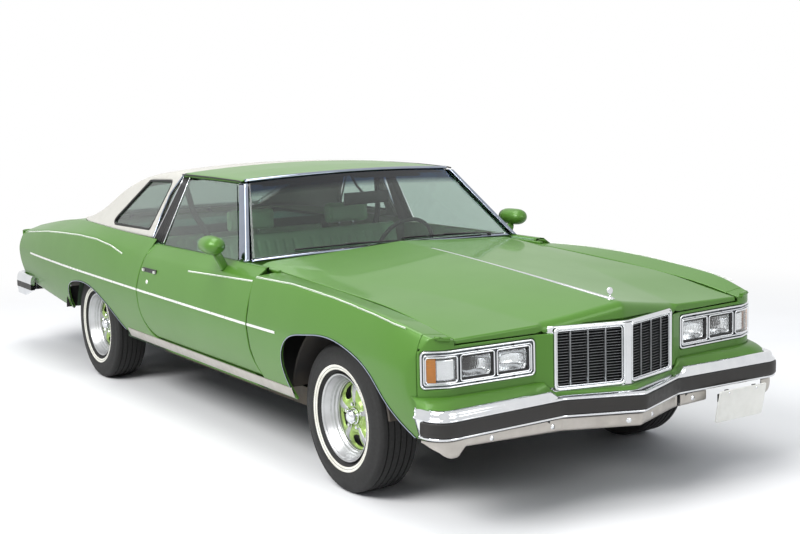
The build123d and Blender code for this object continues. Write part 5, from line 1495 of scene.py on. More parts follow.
def build_bezels(mats):
    """Bright lamp bezels: a plate with three openings, an outer roll, and a ring round each lamp."""
    window = rounded_box(NOSE.place(0.417), NOSE.place_x(BEZEL_END), BEZEL_LOW, BEZEL_TOP, 0.020)
    holes = lamp_boxes(0.006)

    def limit(uv):
        return np.minimum.reduce([inside(window, uv)] + [-inside(h, uv) for h in holes])
    plate = nose_panel(limit, -0.004, NOSE.place(0.410), NOSE.place_x(BEZEL_END - 0.008), BEZEL_LOW - 0.004,
                       BEZEL_TOP + 0.004, 190, 64, 0.004)
    outer = rounded_box(NOSE.place(0.417) + 0.006, NOSE.place_x(BEZEL_END) - 0.006, BEZEL_LOW + 0.006,
                        BEZEL_TOP - 0.006, 0.018)
    roll = rounded(0.009, 0.012, 0.0042)
    frame = nose_ring(outer, roll, 0.0)
    inner = rounded_box(NOSE.place(0.417) + 0.019, NOSE.place_x(BEZEL_END) - 0.017, BEZEL_LOW + 0.0185,
                        BEZEL_TOP - 0.0205, 0.012)
    step = nose_ring(inner, rounded(0.006, 0.009, 0.0028), -0.001)
    # Bezel plates in chrome darkened as a painted dark reflection.
    plates = joined("bezel_plates", pair(plate), mats["chrome_painted_dark"], wall=0.006)
    frames = joined("bezel_frames", pair(frame) + pair(step), mats["chrome"])
    rings = []
    ring_profile = rounded(0.007, 0.014, 0.003)
    for box_line in lamp_boxes(0.001):
        rings += pair(nose_ring(box_line, ring_profile, -0.006))
    ring = joined("lamp_rings", rings, mats["chrome"])
    # Black rings sunk inside the lamp rings: painted shade in the gap round each headlamp.
    gaps = []
    for box_line in lamp_boxes(-0.006)[:2]:
        gaps += pair(nose_ring(box_line, rounded(0.010, 0.006, 0.0025), -0.011))
    gap = joined("lamp_gap_shade", gaps, mats["black"])
    screws = []
    for y in (0.524, 0.703):
        for z in (BEZEL_LOW + 0.0135, BEZEL_TOP - 0.0145):
            at = NOSE.at(np.array([[NOSE.place(y), z]]), 0.0045)[0]
            screws += pair(turned([(1e-4, 0.0022), (0.0032, 0.0018), (0.0042, 0.0), (0.0042, -0.004)], at,
                                  (1, 0.04, 0), 16))
    screw = joined("bezel_screws", screws, mats["screw"])
    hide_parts("lamp_bezels")
    return [plates, frames, ring, gap, screw]


def build_lamps(mats):
    """Headlamps with fluted lenses over bright bowls, and the wrap-round corner lamps."""
    lenses, bowls = [], []
    for y0, y1 in LAMP_SPANS:
        s0, s1 = NOSE.place(y0) + 0.004, NOSE.place(y1) - 0.004
        n, m = 110, 46
        s, z = np.linspace(s0, s1, n), np.linspace(LAMP_LOW + 0.004, LAMP_TOP - 0.004, m)
        ss, zz = np.meshgrid(s, z, indexing="ij")
        a, b = 2 * (ss - s0) / (s1 - s0) - 1, 2 * (zz - z[0]) / (z[-1] - z[0]) - 1
        bulge = 0.007 * (1 - a ** 4) * (1 - b ** 4)
        base = NOSE.at(np.stack([ss.ravel(), zz.ravel()], 1), -0.014).reshape(n, m, 3)
        front = NOSE.at(np.stack([ss.ravel(), zz.ravel()], 1), -0.004).reshape(n, m, 3)
        push = (front - base) / 0.010
        band = np.floor((b + 1) * 2.0)
        flute = 0.0010 * np.abs(np.sin(np.pi * (ss - s0) / 0.0105 + band * 1.3))
        lens = base + push * (bulge - flute * (np.abs(a) < 0.93) * (np.abs(b) < 0.9))[..., None]
        lenses += pair(sheet(lens))
        depth = 0.050 * (1 - np.minimum(1, (np.abs(a) ** 3 + np.abs(b) ** 3)))
        bowl = base - push * (0.004 + depth)[..., None]
        bowls += pair(sheet(bowl[::3, ::3]))
    lens = joined("headlamp_lenses", lenses, mats["lamp_glass"], wall=0.0030)
    bowl = joined("headlamp_bowls", bowls, mats["bowl"], wall=0.002)
    s0, s1 = NOSE.place(CORNER_LAMP) + 0.002, NOSE.place_x(LAMP_END) - 0.002
    seam = NOSE.place_x(AMBER_SEAM)
    z = np.linspace(LAMP_LOW + 0.003, LAMP_TOP - 0.003, 60)

    def slab(a, b, count, ribs):
        ss, zz = np.meshgrid(np.linspace(a, b, count), z, indexing="ij")
        rib = 0.0012 * np.abs(np.sin(np.pi * zz / 0.0085)) * ribs
        flat = np.stack([ss.ravel(), zz.ravel()], 1)
        pts = NOSE.at(flat, -0.003)
        push = (NOSE.at(flat, 0.007) - pts) / 0.010
        return sheet((pts + push * rib.reshape(-1, 1)).reshape(count, len(z), 3))
    clear = joined("corner_lens_clear", pair(slab(s0, seam - 0.001, 20, 1.0)), mats["lamp_glass"], wall=0.003)
    amber = joined("corner_lens_amber", pair(slab(seam + 0.001, s1, 40, 1.0)), mats["amber"], wall=0.003)
    ss, zz = np.meshgrid(np.linspace(s0, s1, 30), z[::6], indexing="ij")
    dish = NOSE.at(np.stack([ss.ravel(), zz.ravel()], 1), -0.016).reshape(30, -1, 3)
    back = joined("corner_dishes", pair(sheet(dish)), mats["bowl"], wall=0.002)
    bulb = joined("corner_bulbs", pair(turned([(1e-4, 0.012), (0.010, 0.006), (0.011, -0.006), (1e-4, -0.01)],
                                              (2.578, 0.850, 0.689), (1, 0.3, 0), 20)), mats["amber"])
    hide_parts("front_lamps")
    return [lens, bowl, clear, amber, back, bulb]


def grille_x(y, back=0.0):
    """Front line of the grille in plan."""
    return GRILLE_NOSE - back - (GRILLE_NOSE - GRILLE_SIDE) * np.abs(y) / GRILLE_HALF


def build_grille(mats, count):
    """Two-part grille: rounded bright frames, centre bar, fine bars across, uprights, and a matt black plate
    behind as painted shade.
    """
    frame, centre = 0.015, 0.044
    bars = []
    pitch = (GRILLE_TOP - GRILLE_LOW - 2 * frame) / (count + 1)
    y = np.linspace(centre / 2 - 0.004, GRILLE_HALF - frame + 0.004, 12)
    blade = np.array([(0.0016, 0.0), (0.0006, 0.0011), (-0.013, 0.0012), (-0.013, -0.0012),
                      (0.0006, -0.0011)])
    for i in range(count):
        z = GRILLE_LOW + frame + pitch * (i + 1)
        path = np.stack([grille_x(y, 0.014), y, np.full(12, z)], 1)
        bars.append(swept(blade, path))
    uprights = []
    for i in range(3):
        yy = centre / 2 + (GRILLE_HALF - centre / 2) * (i + 1) / 4
        z = np.linspace(GRILLE_LOW + 0.006, GRILLE_TOP - 0.006, 6)
        path = np.stack([np.full(6, float(grille_x(yy, 0.010))), np.full(6, yy), z], 1)
        uprights.append(swept([(-0.0022, 0.002), (0.0022, 0.002), (0.0026, -0.014), (-0.0026, -0.014)], path,
                              (1, 0, 0)))
    fine = joined("grille_bars", pairs(bars), mats["bar_metal"])
    upright = joined("grille_uprights", pairs(uprights), mats["bar_metal"])
    slope = (GRILLE_NOSE - GRILLE_SIDE) / GRILLE_HALF
    line = soften(np.array([(centre / 2 - 0.004, GRILLE_LOW + frame / 2),
                            (GRILLE_HALF - frame / 2, GRILLE_LOW + frame / 2),
                            (GRILLE_HALF - frame / 2, GRILLE_TOP - frame / 2),
                            (centre / 2 - 0.004, GRILLE_TOP - frame / 2)]), 0.022, 8)
    dense = dense_ring(line, 4)
    path = np.stack([grille_x(dense[:, 0], 0.008), dense[:, 0], dense[:, 1]], 1)
    normal = np.array([1, slope, 0]) / math.hypot(1, slope)
    ring = swept(rounded(frame, 0.020, 0.0065), path, normal, close_path=True, caps=False)
    inner = soften(np.array([(centre / 2 + 0.006, GRILLE_LOW + frame + 0.003),
                             (GRILLE_HALF - frame - 0.003, GRILLE_LOW + frame + 0.003),
                             (GRILLE_HALF - frame - 0.003, GRILLE_TOP - frame - 0.003),
                             (centre / 2 + 0.006, GRILLE_TOP - frame - 0.003)]), 0.014, 8)
    dense = dense_ring(inner, 4)
    path = np.stack([grille_x(dense[:, 0], 0.012), dense[:, 0], dense[:, 1]], 1)
    step = swept(rounded(0.005, 0.014, 0.002), path, normal, close_path=True, caps=False)
    frames = joined("grille_frame", pair(ring) + pair(step), mats["chrome"])
    edge = soften(np.array([(-0.3465, 0.5305), (0.3465, 0.5305), (0.3465, 0.8125), (-0.3465, 0.8125)]),
                  0.018, 6)
    edge = dense_ring(edge, 14)
    rows = []
    for depth, grow, wide in ((0.004, -0.004, 0.0), (0.006, 0.0, 0.0), (0.014, 0.0015, 0.006),
                              (0.050, 0.0050, 0.040)):
        away = edge - [0, 0.6715]
        out = edge + np.stack([np.clip(away[:, 0] / 0.30, -1, 1) * wide, away[:, 1] / 0.141 * grow], 1)
        rows.append(np.stack([grille_x(np.clip(out[:, 0], -0.345, 0.345), depth), out[:, 0], out[:, 1]], 1))
    rows = np.array(rows)
    surround = make("grille_surround", rows.reshape(-1, 3), grid_faces(4, len(edge), False, True),
                    mats["chrome"], wall=0.004)
    z = np.linspace(GRILLE_LOW + 0.004, GRILLE_TOP - 0.004, 30)
    x = np.full(30, GRILLE_NOSE - 0.002)
    spine = swept(np.array([(-0.022, -0.016), (-0.021, -0.006), (-0.012, 0.002), (-0.004, 0.0045),
                            (0.004, 0.0045), (0.012, 0.002), (0.021, -0.006), (0.022, -0.016), (0.0, -0.03)]),
                  np.stack([x, np.zeros(30), z], 1), (1, 0, 0))
    bar = make("grille_centre", *spine, mats["chrome"], smooth=True, sharp=40)
    # Matt black plate behind the bars: painted shade in the depth of the grille.
    yb = np.linspace(-GRILLE_HALF + 0.006, GRILLE_HALF - 0.006, 41)
    plate = np.stack([np.stack([grille_x(yb, 0.040), yb, np.full(41, GRILLE_LOW + 0.003)], 1),
                      np.stack([grille_x(yb, 0.040), yb, np.full(41, GRILLE_TOP - 0.003)], 1)])
    back = make("grille_painted_shade", *sheet(plate), mats["shadow"], wall=0.003)
    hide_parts("grille")
    return [fine, upright, frames, bar, back, surround]


# Bumpers and plate


def bumper_line(inset, tip=2.502, count=260):
    """Front bumper's outer line in plan from right to left, set in by inset, its corners eased."""
    i = inset
    corner = arc((2.744 - i, 0.884), (2.722 - i, 0.966 - 0.3 * i), (2.644, 0.996 - 0.3 * i),
                 np.linspace(0, 1, 24))
    half = np.concatenate([[(NOSE_X - i, 0.0), (2.730 - i, 0.330)], corner, [(tip, 1.004 - 0.3 * i)]])
    whole = np.concatenate([(half * (1, -1))[::-1], half[1:]])
    length = run_length(whole)
    s = np.linspace(0, length[-1], count)
    line = line_at(whole, length, s)
    return smooth_line(line, 3)


def bumper_sweep(profile, inset, tip=2.502, count=260, change=None):
    """Profile (out, z) carried round the front bumper; change(points) may reshape the result."""
    line = bumper_line(inset, tip, count)
    path = np.c_[line, np.zeros(len(line))]
    v, f = swept(profile, path)
    v[:, 2] = np.tile(np.asarray(profile, float)[:, 1], len(line))
    return (change(v) if change else v), f


def build_front_bumper(mats):
    """Bright bumper: raised roll with slanted steps, face, lower lip, valance, bolts and black strip."""
    def step_up(v):
        f = np.clip((np.abs(v[:, 1]) - 0.345) / 0.045, 0, 1)
        f = 0.12 + 0.88 * f * f * (3 - 2 * f)
        over = np.clip(v[:, 2] - 0.518, 0, None)
        v = v.copy()
        v[:, 2] = np.where(over > 0, 0.518 + over * f, v[:, 2])
        return slant(v)

    def slant(v):
        v[:, 0] = np.where(v[:, 0] < 2.66,
                           np.maximum(v[:, 0], 2.562 + np.clip(0.548 - v[:, 2], 0, 1) * 0.48), v[:, 0])
        return v
    main = [(-0.052, 0.430), (0.000, 0.430), (0.0060, 0.4315), (0.0080, 0.4350), (0.0072, 0.4390),
            (0.0040, 0.4420), (0.0, 0.4435), (0.0, 0.5030), (0.0040, 0.5045), (0.0068, 0.5075),
            (0.0064, 0.5110), (0.0020, 0.5150), (-0.0040, 0.5185), (-0.0065, 0.5270), (-0.0085, 0.5360),
            (-0.0130, 0.5430), (-0.0200, 0.5470), (-0.0290, 0.5480), (-0.0380, 0.5470), (-0.0470, 0.5430),
            (-0.052, 0.5360)]
    bar = bumper_sweep(main, 0.014, count=320, change=step_up)
    chrome = make("front_bumper_bar", *bar, mats["chrome"], sharp=50)
    line = bumper_line(0.032, 2.622, 420)
    a = np.abs(line[:, 1])
    bottom = np.where(a < 0.33, 0.364, 0.364 + (a - 0.33) * 0.046)
    hook = np.interp(line[:, 0], [2.61, 2.64, 2.69, 2.715], [0.415, 0.404, 0.376, 0.344])
    mix = np.clip((a - 0.835) / 0.035, 0, 1)
    bottom = bottom * (1 - mix) + hook * mix
    apron = np.array([(-0.006, 0), (0.0, 0.05), (0.0008, 0.40), (0.0, 0.75), (-0.003, 0.90),
                      (-0.010, 0.985), (-0.020, 1.0), (-0.024, 0.96), (-0.014, 0.93), (-0.007, 0.82),
                      (-0.005, 0.5), (-0.005, 0.05)])
    skirts = []
    for lo, hi in ((-2.0, 0.345), (0.358, 0.525), (0.868, 2.0)):
        keep = (line[:, 1] > lo) & (line[:, 1] < hi)
        path = np.c_[line[keep], np.zeros(keep.sum())]
        v, f = swept(apron, path)
        f_part = np.tile(apron[:, 1], keep.sum())
        v[:, 2] = 0.4225 - f_part * np.repeat(0.4225 - bottom[keep], len(apron))
        skirts.append((v, f))
    dull = joined("front_valance", skirts, mats["bright"], sharp=50)
    strip = [(-0.004, 0.4438), (0.0080, 0.4440), (0.0108, 0.4465), (0.0116, 0.4510), (0.0118, 0.4730),
             (0.0116, 0.4950), (0.0108, 0.5000), (0.0080, 0.5022), (-0.004, 0.5025)]
    rub = bumper_sweep(strip, 0.014, 2.632, 260)
    rubber = make("bumper_rub_strip", *rub, mats["strip"], sharp=40)
    bolts = []
    for y in (-0.702, -0.377, -0.0545, 0.100, 0.440):
        k = int(np.argmin(np.abs(line[:, 1] - y)))
        d = line[k + 1] - line[k - 1]
        normal = np.array([d[1], -d[0], 0]) / np.hypot(*d)
        spot = (line[k, 0], line[k, 1], 0.5 * (0.4225 + bottom[k]))
        bolts.append(turned([(1e-4, 0.0035), (0.0060, 0.0030), (0.0072, 0.0012), (0.0115, 0.0010),
                             (0.0125, -0.002)],
                            spot, normal, 24))
    bolt = joined("valance_bolts", bolts, mats["chrome"])
    stays = []
    for y in (PLATE_Y - PLATE_BOLT, PLATE_Y + PLATE_BOLT):
        stays.append(block(2.700, PLATE_X - 0.017, y - 0.013, y + 0.013, 0.352, 0.390))
        stays.append(block(PLATE_X - 0.022, PLATE_X - 0.017, y - 0.013, y + 0.013, 0.352, PLATE_TOP - 0.002))
    arms = pair(block(2.5605, 2.700, 0.391, 0.439, 0.401, 0.439))
    carrier = joined("bumper_stays", stays + arms, mats["black"], bevel=0.002)
    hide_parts("front_bumper")
    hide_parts("bumper_strip")
    return [chrome, dull, rubber, bolt, carrier]


def build_plate(mats):
    """Blank licence plate with its pressed rim and two bolts."""
    w, h = PLATE_WIDTH, PLATE_HEIGHT
    centre_z = PLATE_TOP - h / 2
    outer = rounded(w, h, 0.012, 6)
    n = len(outer)
    rings = []
    for k, x in ((1.0, 0.0), (1.0, 0.003), (0.988, 0.0038), (0.965, 0.0038), (0.955, 0.0025)):
        rings.append(np.c_[np.full(n, PLATE_X + x), PLATE_Y + outer[:, 0] * k,
                           centre_z + outer[:, 1] * (1 - (1 - k) * w / h)])
    pts = np.array(rings)
    pts[..., 0] -= (PLATE_TOP - pts[..., 2]) * 0.20
    faces = grid_faces(len(rings), n, False, True).tolist()
    faces += [list(range(n)), [(len(rings) - 1) * n + i for i in range(n)][::-1]]
    plate = make("licence_plate_blank", pts.reshape(-1, 3), faces, mats["plate"])
    bolts = [dome((PLATE_X - 0.001, y, PLATE_TOP - 0.015), (1, 0, 0.2), 0.0060, 0.0030)
             for y in (PLATE_Y - PLATE_BOLT, PLATE_Y + PLATE_BOLT)]
    bolt = joined("plate_bolts", bolts, mats["chrome"])
    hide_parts("licence_plate")
    return [plate, bolt]


# Rear end


def tail_line(out=0.0):
    """Rear outer line in plan from the left side to the right, moved out by out."""
    turn = arc((-2.6945, 0.938), (-2.740, 0.915), (-2.754, 0.850), np.linspace(0, 1, 24))
    half = np.concatenate([turn, [(-2.775, 0.0)]])
    whole = np.concatenate([half, (half * (1, -1))[::-1][1:]])
    length = run_length(whole)
    s = np.linspace(0, length[-1], 240)
    line = line_at(whole, length, s)
    d = np.gradient(line, axis=0)
    normal = np.stack([d[:, 1], -d[:, 0]], 1) / np.hypot(*d.T)[:, None]
    return line + normal * out, s


def tail_surface(out):
    """Tail surface reader: (distance, height) to a point, stood off by out."""
    line, s = tail_line(out)

    def at(uv):
        return np.stack([np.interp(uv[:, 0], s, line[:, 0]), np.interp(uv[:, 0], s, line[:, 1]), uv[:, 1]], 1)
    return at, s


def build_tail(mats):
    """Tail panel with its lamp recesses, bright lamp frames and red ribbed lenses."""
    at, s = tail_surface(0.0)
    line, _ = tail_line(0.0)
    place = lambda y: float(np.interp(-y, -line[:, 1], s))
    holes = [rounded(place(0.334) - place(0.900), 0.166, 0.014) + [(place(0.334) + place(0.900)) / 2, 0.705]]
    holes.append(holes[0] * (-1, 1) + [s[-1], 0])

    def limit_flat(p):
        flat = np.stack([np.interp(-p[:, 1], -line[:, 1], s), p[:, 2]], 1)
        return np.minimum.reduce([p[:, 2] - 0.500, 0.856 - p[:, 2]] + [-inside(h, flat) for h in holes])
    part = panel(at, np.linspace(0, s[-1], 260), np.linspace(0.499, 0.857, 48), limit_flat, 0.004)
    skin = make("tail_skin", *part, mats["paint"], wall=0.012)
    rear, _ = tail_surface(-0.024)
    frames, lenses = [], []
    for hole in holes:
        dense = dense_ring(hole, 3)
        path = at(dense)
        normal = path - rear(dense)
        frames.append(swept(rounded(0.010, 0.012, 0.004), path,
                            normal / np.linalg.norm(normal, axis=1)[:, None], close_path=True, caps=False))
    frame = joined("tail_lamp_frames", frames, mats["chrome"])
    inner, _ = tail_surface(-0.006)
    far, _ = tail_surface(-0.016)
    z = np.linspace(0.6225, 0.7875, 70)
    edges = np.linspace(0.334, 0.900, 4)
    for a, b in zip(edges, edges[1:]):
        ss, zz = np.meshgrid(np.linspace(place(b) + 0.002, place(a) - 0.002, 26), z, indexing="ij")
        flat = np.stack([ss.ravel(), zz.ravel()], 1)
        out = (inner(flat) - far(flat)) / 0.010
        rib = 0.0016 * np.abs(np.sin(np.pi * (flat[:, 1] - 0.6225) / 0.0117))
        lens = (inner(flat) + out * rib[:, None]).reshape(26, 70, 3)
        lenses += pair(sheet(lens))
    lens = joined("tail_lenses", lenses, mats["red"], wall=0.004)
    backing = block(-2.742, -2.728, 0.34, 0.88, 0.624, 0.786)
    dish = joined("tail_dishes", pair(backing), mats["bowl"])
    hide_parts("tail_panel")
    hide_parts("tail_lamps")
    return [skin, frame, lens, dish]


def build_rear_bumper(mats):
    """Bright rear bumper wrapped round the tail, with its black rub strip."""
    corner = arc((-2.852, 0.820), (-2.815, 0.955), (-2.700, 0.988), np.linspace(0, 1, 30))
    half = np.concatenate([[(-2.422, 0.990)], corner[::-1], [(-2.870, 0.0)]])
    whole = np.concatenate([half, (half * (1, -1))[::-1][1:]])
    length = run_length(whole)
    s = np.linspace(0, length[-1], 300)
    line = smooth_line(line_at(whole, length, s), 3)
    path = np.c_[line, np.zeros(300)]

    def carried(profile):
        v, f = swept(profile, path)
        v[:, 2] = np.tile(np.asarray(profile, float)[:, 1], len(path))
        cut = 0.392 + 0.30 * np.clip(v[:, 0] + 2.60, 0, None)
        v[:, 2] = np.where(np.abs(v[:, 1]) > 0.93, np.maximum(v[:, 2], cut), v[:, 2])
        return v, f
    main = [(-0.030, 0.392), (-0.012, 0.3925), (-0.006, 0.396), (-0.0045, 0.404), (-0.0045, 0.420),
            (-0.0015, 0.428), (-0.0005, 0.436), (-0.0005, 0.504), (-0.0015, 0.512), (-0.0045, 0.522),
            (-0.009, 0.536), (-0.017, 0.545), (-0.028, 0.548), (-0.042, 0.545), (-0.048, 0.536),
            (-0.030, 0.53)]
    bar = make("rear_bumper_bar", *carried(main), mats["chrome"], sharp=50)
    strip = [(-0.004, 0.444), (-0.0001, 0.446), (-0.0001, 0.488), (-0.004, 0.490)]
    rub = make("rear_rub_strip", *carried(strip), mats["strip"], sharp=40)
    arms = joined("rear_bumper_stays", pair(block(-2.838, -2.680, 0.536, 0.584, 0.401, 0.439)), mats["black"])
    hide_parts("rear_bumper")
    return [bar, rub, arms]


# Wheels


def wheel_parts(x, side):
    """Tyre, white band and wheel pieces, about the axle point; along is outward."""
    centre, axis = (x, side * WHEEL_Y, AXLE_Z), (0, side, 0)
    tread = []
    for edge in np.linspace(-0.078, 0.078, 6)[:-1] + 0.0156:
        r = 0.345 - 0.0035 * (edge / 0.085) ** 2
        tread += [(r, edge - 0.0040), (r - 0.006, edge - 0.0028), (r - 0.006, edge + 0.0028),
                  (r, edge + 0.0040)]
    outer = [(0.1905, -0.072), (0.2115, -0.078), (0.222, -0.094), (0.232, -0.101), (0.234, -0.1035),
             (0.242, -0.1045), (0.262, -0.1085), (0.280, -0.1085), (0.300, -0.1045), (0.316, -0.0985),
             (0.326, -0.0990), (0.332, -0.0955), (0.3385, -0.0890), (0.3425, -0.0830)]
    far = [(r, -y) for r, y in outer[::-1]]
    profile = outer + tread + far
    tyre = turned(profile, centre, axis, 120, True)
    band = turned([(0.2235, 0.0995), (0.2250, 0.1010), (0.2310, 0.1022), (0.2370, 0.1042), (0.2420, 0.1058),
                   (0.2470, 0.1068), (0.2475, 0.1050), (0.2400, 0.1010), (0.2300, 0.0990)], centre, axis,
                  120, True)
    trim = [(0.1870, 0.0560), (0.1900, 0.0700), (0.1965, 0.0790), (0.2040, 0.0800), (0.2055, 0.0850),
            (0.2025, 0.0895), (0.1965, 0.0885), (0.1935, 0.0830), (0.1925, 0.0760), (0.1875, 0.0730),
            (0.1860, 0.0640), (0.1815, 0.0610), (0.1795, 0.0500), (0.1745, 0.0465), (0.1725, 0.0350),
            (0.1675, 0.0320), (0.1650, 0.0200), (0.1615, 0.0180), (0.1620, 0.0140), (0.1700, 0.0200)]
    ring = turned(trim, centre, axis, 120, True)
    barrel = turned([(0.1900, -0.0720), (0.2035, -0.0860), (0.2035, -0.0895), (0.1830, -0.0780),
                     (0.1640, -0.0200), (0.1640, 0.0200), (0.1800, 0.0560), (0.1885, 0.0640),
                     (0.1900, 0.0560), (0.1720, 0.0200), (0.1720, -0.0160), (0.1900, -0.0620)], centre,
                    axis, 96, True)
    return tyre, band, ring, barrel


def wheel_disc(x, side):
    """Pressed five-spoke centre: height over (radius, angle), with five windows cut in it."""
    centre = np.array((x, side * WHEEL_Y, AXLE_Z))
    angles = 2 * np.pi * (np.arange(5) + 0.5) / 5 + np.pi / 2
    ra = [0.034, 0.060, 0.070, 0.086, 0.116, 0.138, 0.150, 0.163]
    hb = [0.026, 0.028, 0.030, 0.031, 0.0300, 0.0225, 0.013, 0.0080]

    def height(r, a):
        base = np.interp(r, ra, hb)
        off = (a[:, None] - angles + np.pi) % (2 * np.pi) - np.pi
        near = np.abs(off).min(1)
        dip = np.clip(1.25 - near / 0.36, 0, 1)
        fade = np.clip((r - 0.070) / 0.02, 0, 1) * np.clip((0.156 - r) / 0.012, 0, 1)
        return base - 0.0190 * fade * dip * dip * (3 - 2 * dip)

    def at(uv):
        r, a = uv[:, 0], uv[:, 1]
        return np.stack([centre[0] + r * np.cos(a), centre[1] + side * height(r, a),
                         centre[2] + r * np.sin(a)], 1)

    def limit(p):
        dx, dz = p[:, 0] - centre[0], p[:, 2] - centre[2]
        r, a = np.hypot(dx, dz), np.arctan2(dz, dx)
        off = (a[:, None] - angles + np.pi) % (2 * np.pi) - np.pi
        near = np.abs(off).min(1) * r
        qx, qy = near - (0.012 + 0.22 * (r - 0.09)), np.abs(r - 0.121) - 0.013
        box = np.hypot(np.maximum(qx, 0), np.maximum(qy, 0)) + np.minimum(np.maximum(qx, qy), 0) - 0.013
        return box
    verts, faces = panel(at, np.linspace(0.034, 0.163, 56), np.linspace(0, 2 * np.pi, 181), limit, 0.0022)
    spokes = []
    for a in angles + np.pi / 5:
        out = np.array([math.cos(a), 0, math.sin(a)])
        r = np.linspace(0.064, 0.152, 16)
        lift = np.interp(r, ra, hb) + 0.0004
        path = centre + out * r[:, None] + np.array([0, side, 0]) * lift[:, None]
        width = np.interp(r, [0.064, 0.100, 0.152], [0.80, 1.10, 1.75])
        bar = np.array([(-0.0130, -0.0030), (-0.0122, 0.0006), (-0.0085, 0.0021), (0.0, 0.0027),
                        (0.0085, 0.0021), (0.0122, 0.0006), (0.0130, -0.0030)])
        spokes.append(swept(bar, path, (0, side, 0), scale=width))
    return (verts, faces), spokes


def wheel_hub(x, side):
    """Bright centre cap and lug nuts."""
    centre, axis = np.array((x, side * WHEEL_Y, AXLE_Z)), (0, side, 0)
    centre = centre + np.array([0, side * HUB_OUT, 0])
    cap = turned([(0.0385, 0.0010), (0.0385, 0.0045), (0.0345, 0.0060), (0.0335, 0.0200), (0.0320, 0.0260),
                  (0.0275, 0.0290), (0.0265, 0.0325), (0.0225, 0.0360), (0.0120, 0.0378), (1e-4, 0.0382)],
                 centre, axis, 48)
    nuts = []
    for i in range(5):
        a = 2 * np.pi * i / 5 + np.pi / 2
        spot = centre + np.array([math.cos(a), 0, math.sin(a)]) * 0.0573
        nuts.append(turned([(0.0115, 0.0015), (0.0115, 0.0040), (0.0095, 0.0050), (0.0092, 0.0150),
                            (0.0075, 0.0175), (1e-4, 0.0190)], spot, axis, 6))
    return cap, nuts


def build_wheels(mats):
    """Four tyres with their narrow white bands, and the wheels in silver and green."""
    made = []
    for end, x in (("front", FRONT_AXLE), ("rear", REAR_AXLE)):
        for name, side in (("left", 1), ("right", -1)):
            tag, body = end + "_" + name, "wheel_" + end + "_" + name
            tyre, band, ring, barrel = wheel_parts(x, side)
            n = len(tyre[0]) // 120
            angle = np.repeat(np.arange(120) / 120.0, n)
            uv = np.stack([angle, np.tile(np.linspace(0, 1, n), 120)], 1)
            rubber = make("tyre_rubber_" + tag, *tyre, mats["tyre"], body, uv=uv, sharp=50)
            white = make("tyre_band_" + tag, *band, mats["white_band"], body)
            rim = make("rim_trim_" + tag, *ring, mats["rim_bright"], body, sharp=60)
            inner = make("rim_barrel_" + tag, *barrel, mats["rim_silver"], body)
            disc, spokes = wheel_disc(x, side)
            face = make("wheel_centre_" + tag, *disc, mats["rim_green"], body, wall=0.004)
            bars = joined("wheel_spokes_" + tag, spokes, mats["rim_silver"], body)
            cap, nuts = wheel_hub(x, side)
            hub = joined("wheel_cap_" + tag, [cap], mats["chrome"], body, sharp=50)
            lug = joined("wheel_nuts_" + tag, nuts, mats["chrome"], body, smooth=False)
            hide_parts("tyre_" + tag)
            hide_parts("rim_" + tag)
            made += [rubber, white, rim, inner, face, bars, hub, lug]
    return made


# Stripes, mouldings and small trim


STRIPE_OUT = 0.0009


def even(points, count):
    """Points spaced evenly along a line of points, its bends eased."""
    p = np.asarray(points, float)
    length = np.concatenate([[0], np.cumsum(np.linalg.norm(np.diff(p, axis=0), axis=1))])
    s = np.linspace(0, length[-1], count)
    return smooth_line(np.stack([np.interp(s, length, p[:, k]) for k in range(p.shape[1])], 1), 4)


def ribbon(line, width):
    """Painted stripe: a narrow band on the body side along (x, z) points."""
    p = even(line, 120)
    d = np.gradient(p, axis=0)
    square = np.stack([-d[:, 1], d[:, 0]], 1) / np.linalg.norm(d, axis=1)[:, None]
    rows = [on_side(p + square * k * width / 2, STRIPE_OUT) for k in (-1, -0.4, 0.4, 1)]
    return sheet(np.array(rows))


def moulding(line, profile, count=120, inner=0.0):
    """Profile (out, along the body's height) carried along (x, z) points of the body side."""
    path = on_side(even(line, count), inner)
    ahead = np.gradient(path, axis=0)
    side = np.stack([-ahead[:, 2], 0 * ahead[:, 0], ahead[:, 0]], 1)
    side /= np.linalg.norm(side, axis=1)[:, None]
    return swept(profile, path, side)


def parted(line, edges):
    """Cuts a line of (x, z) points into runs between the given x edges."""
    p = np.asarray(even(line, 400), float)
    p = p[np.argsort(p[:, 0])]
    runs = []
    for a, b in edges:
        x = np.concatenate([[a], p[(p[:, 0] > a) & (p[:, 0] < b), 0], [b]])
        runs.append(np.stack([x, np.interp(x, p[:, 0], p[:, 1])], 1))
    return runs


def rocker_path(x, z):
    """Outer point of the sill moulding's base at (x, z)."""
    side, at = (FENDER, max(x, 1.045)) if x > 0.46 else (QUARTER, min(x, -0.125))
    return (x, float(side.y([at], [z])[0]), z)


def build_stripes(mats, width):
    """Double white pinstripes along the crests of fenders, doors and quarters."""
    crest = [(1.110, 0.9225), (1.5, 0.932), (1.88, 0.915), (2.24, 0.885), (2.46, 0.856)]
    front = [(0.30, 0.868), (1.078, 0.899)]
    rear = [(-2.57, 0.856), (-2.08, 0.899), (-1.76, 0.915), (-1.40, 0.929), (-1.107, 0.927), (-0.85, 0.908),
            (-0.66, 0.876)]
    fixed, moving = [], []
    for shift, wide in ((0.0, width), (-1.6 * width, width * 0.35)):
        for line, store in ((crest, fixed), (rear, fixed), (front, moving)):
            store.append(ribbon([(x, z + shift) for x, z in line], wide))
    body = joined("body_stripes", pairs(fixed), mats["stripe"], wall=-0.0005)
    made = [body]
    for name, turn in SIDES:
        made.append(joined("door_stripes_" + name, [turn(p) for p in moving], mats["stripe"], "door_" + name,
                           wall=-0.0005))
    return made


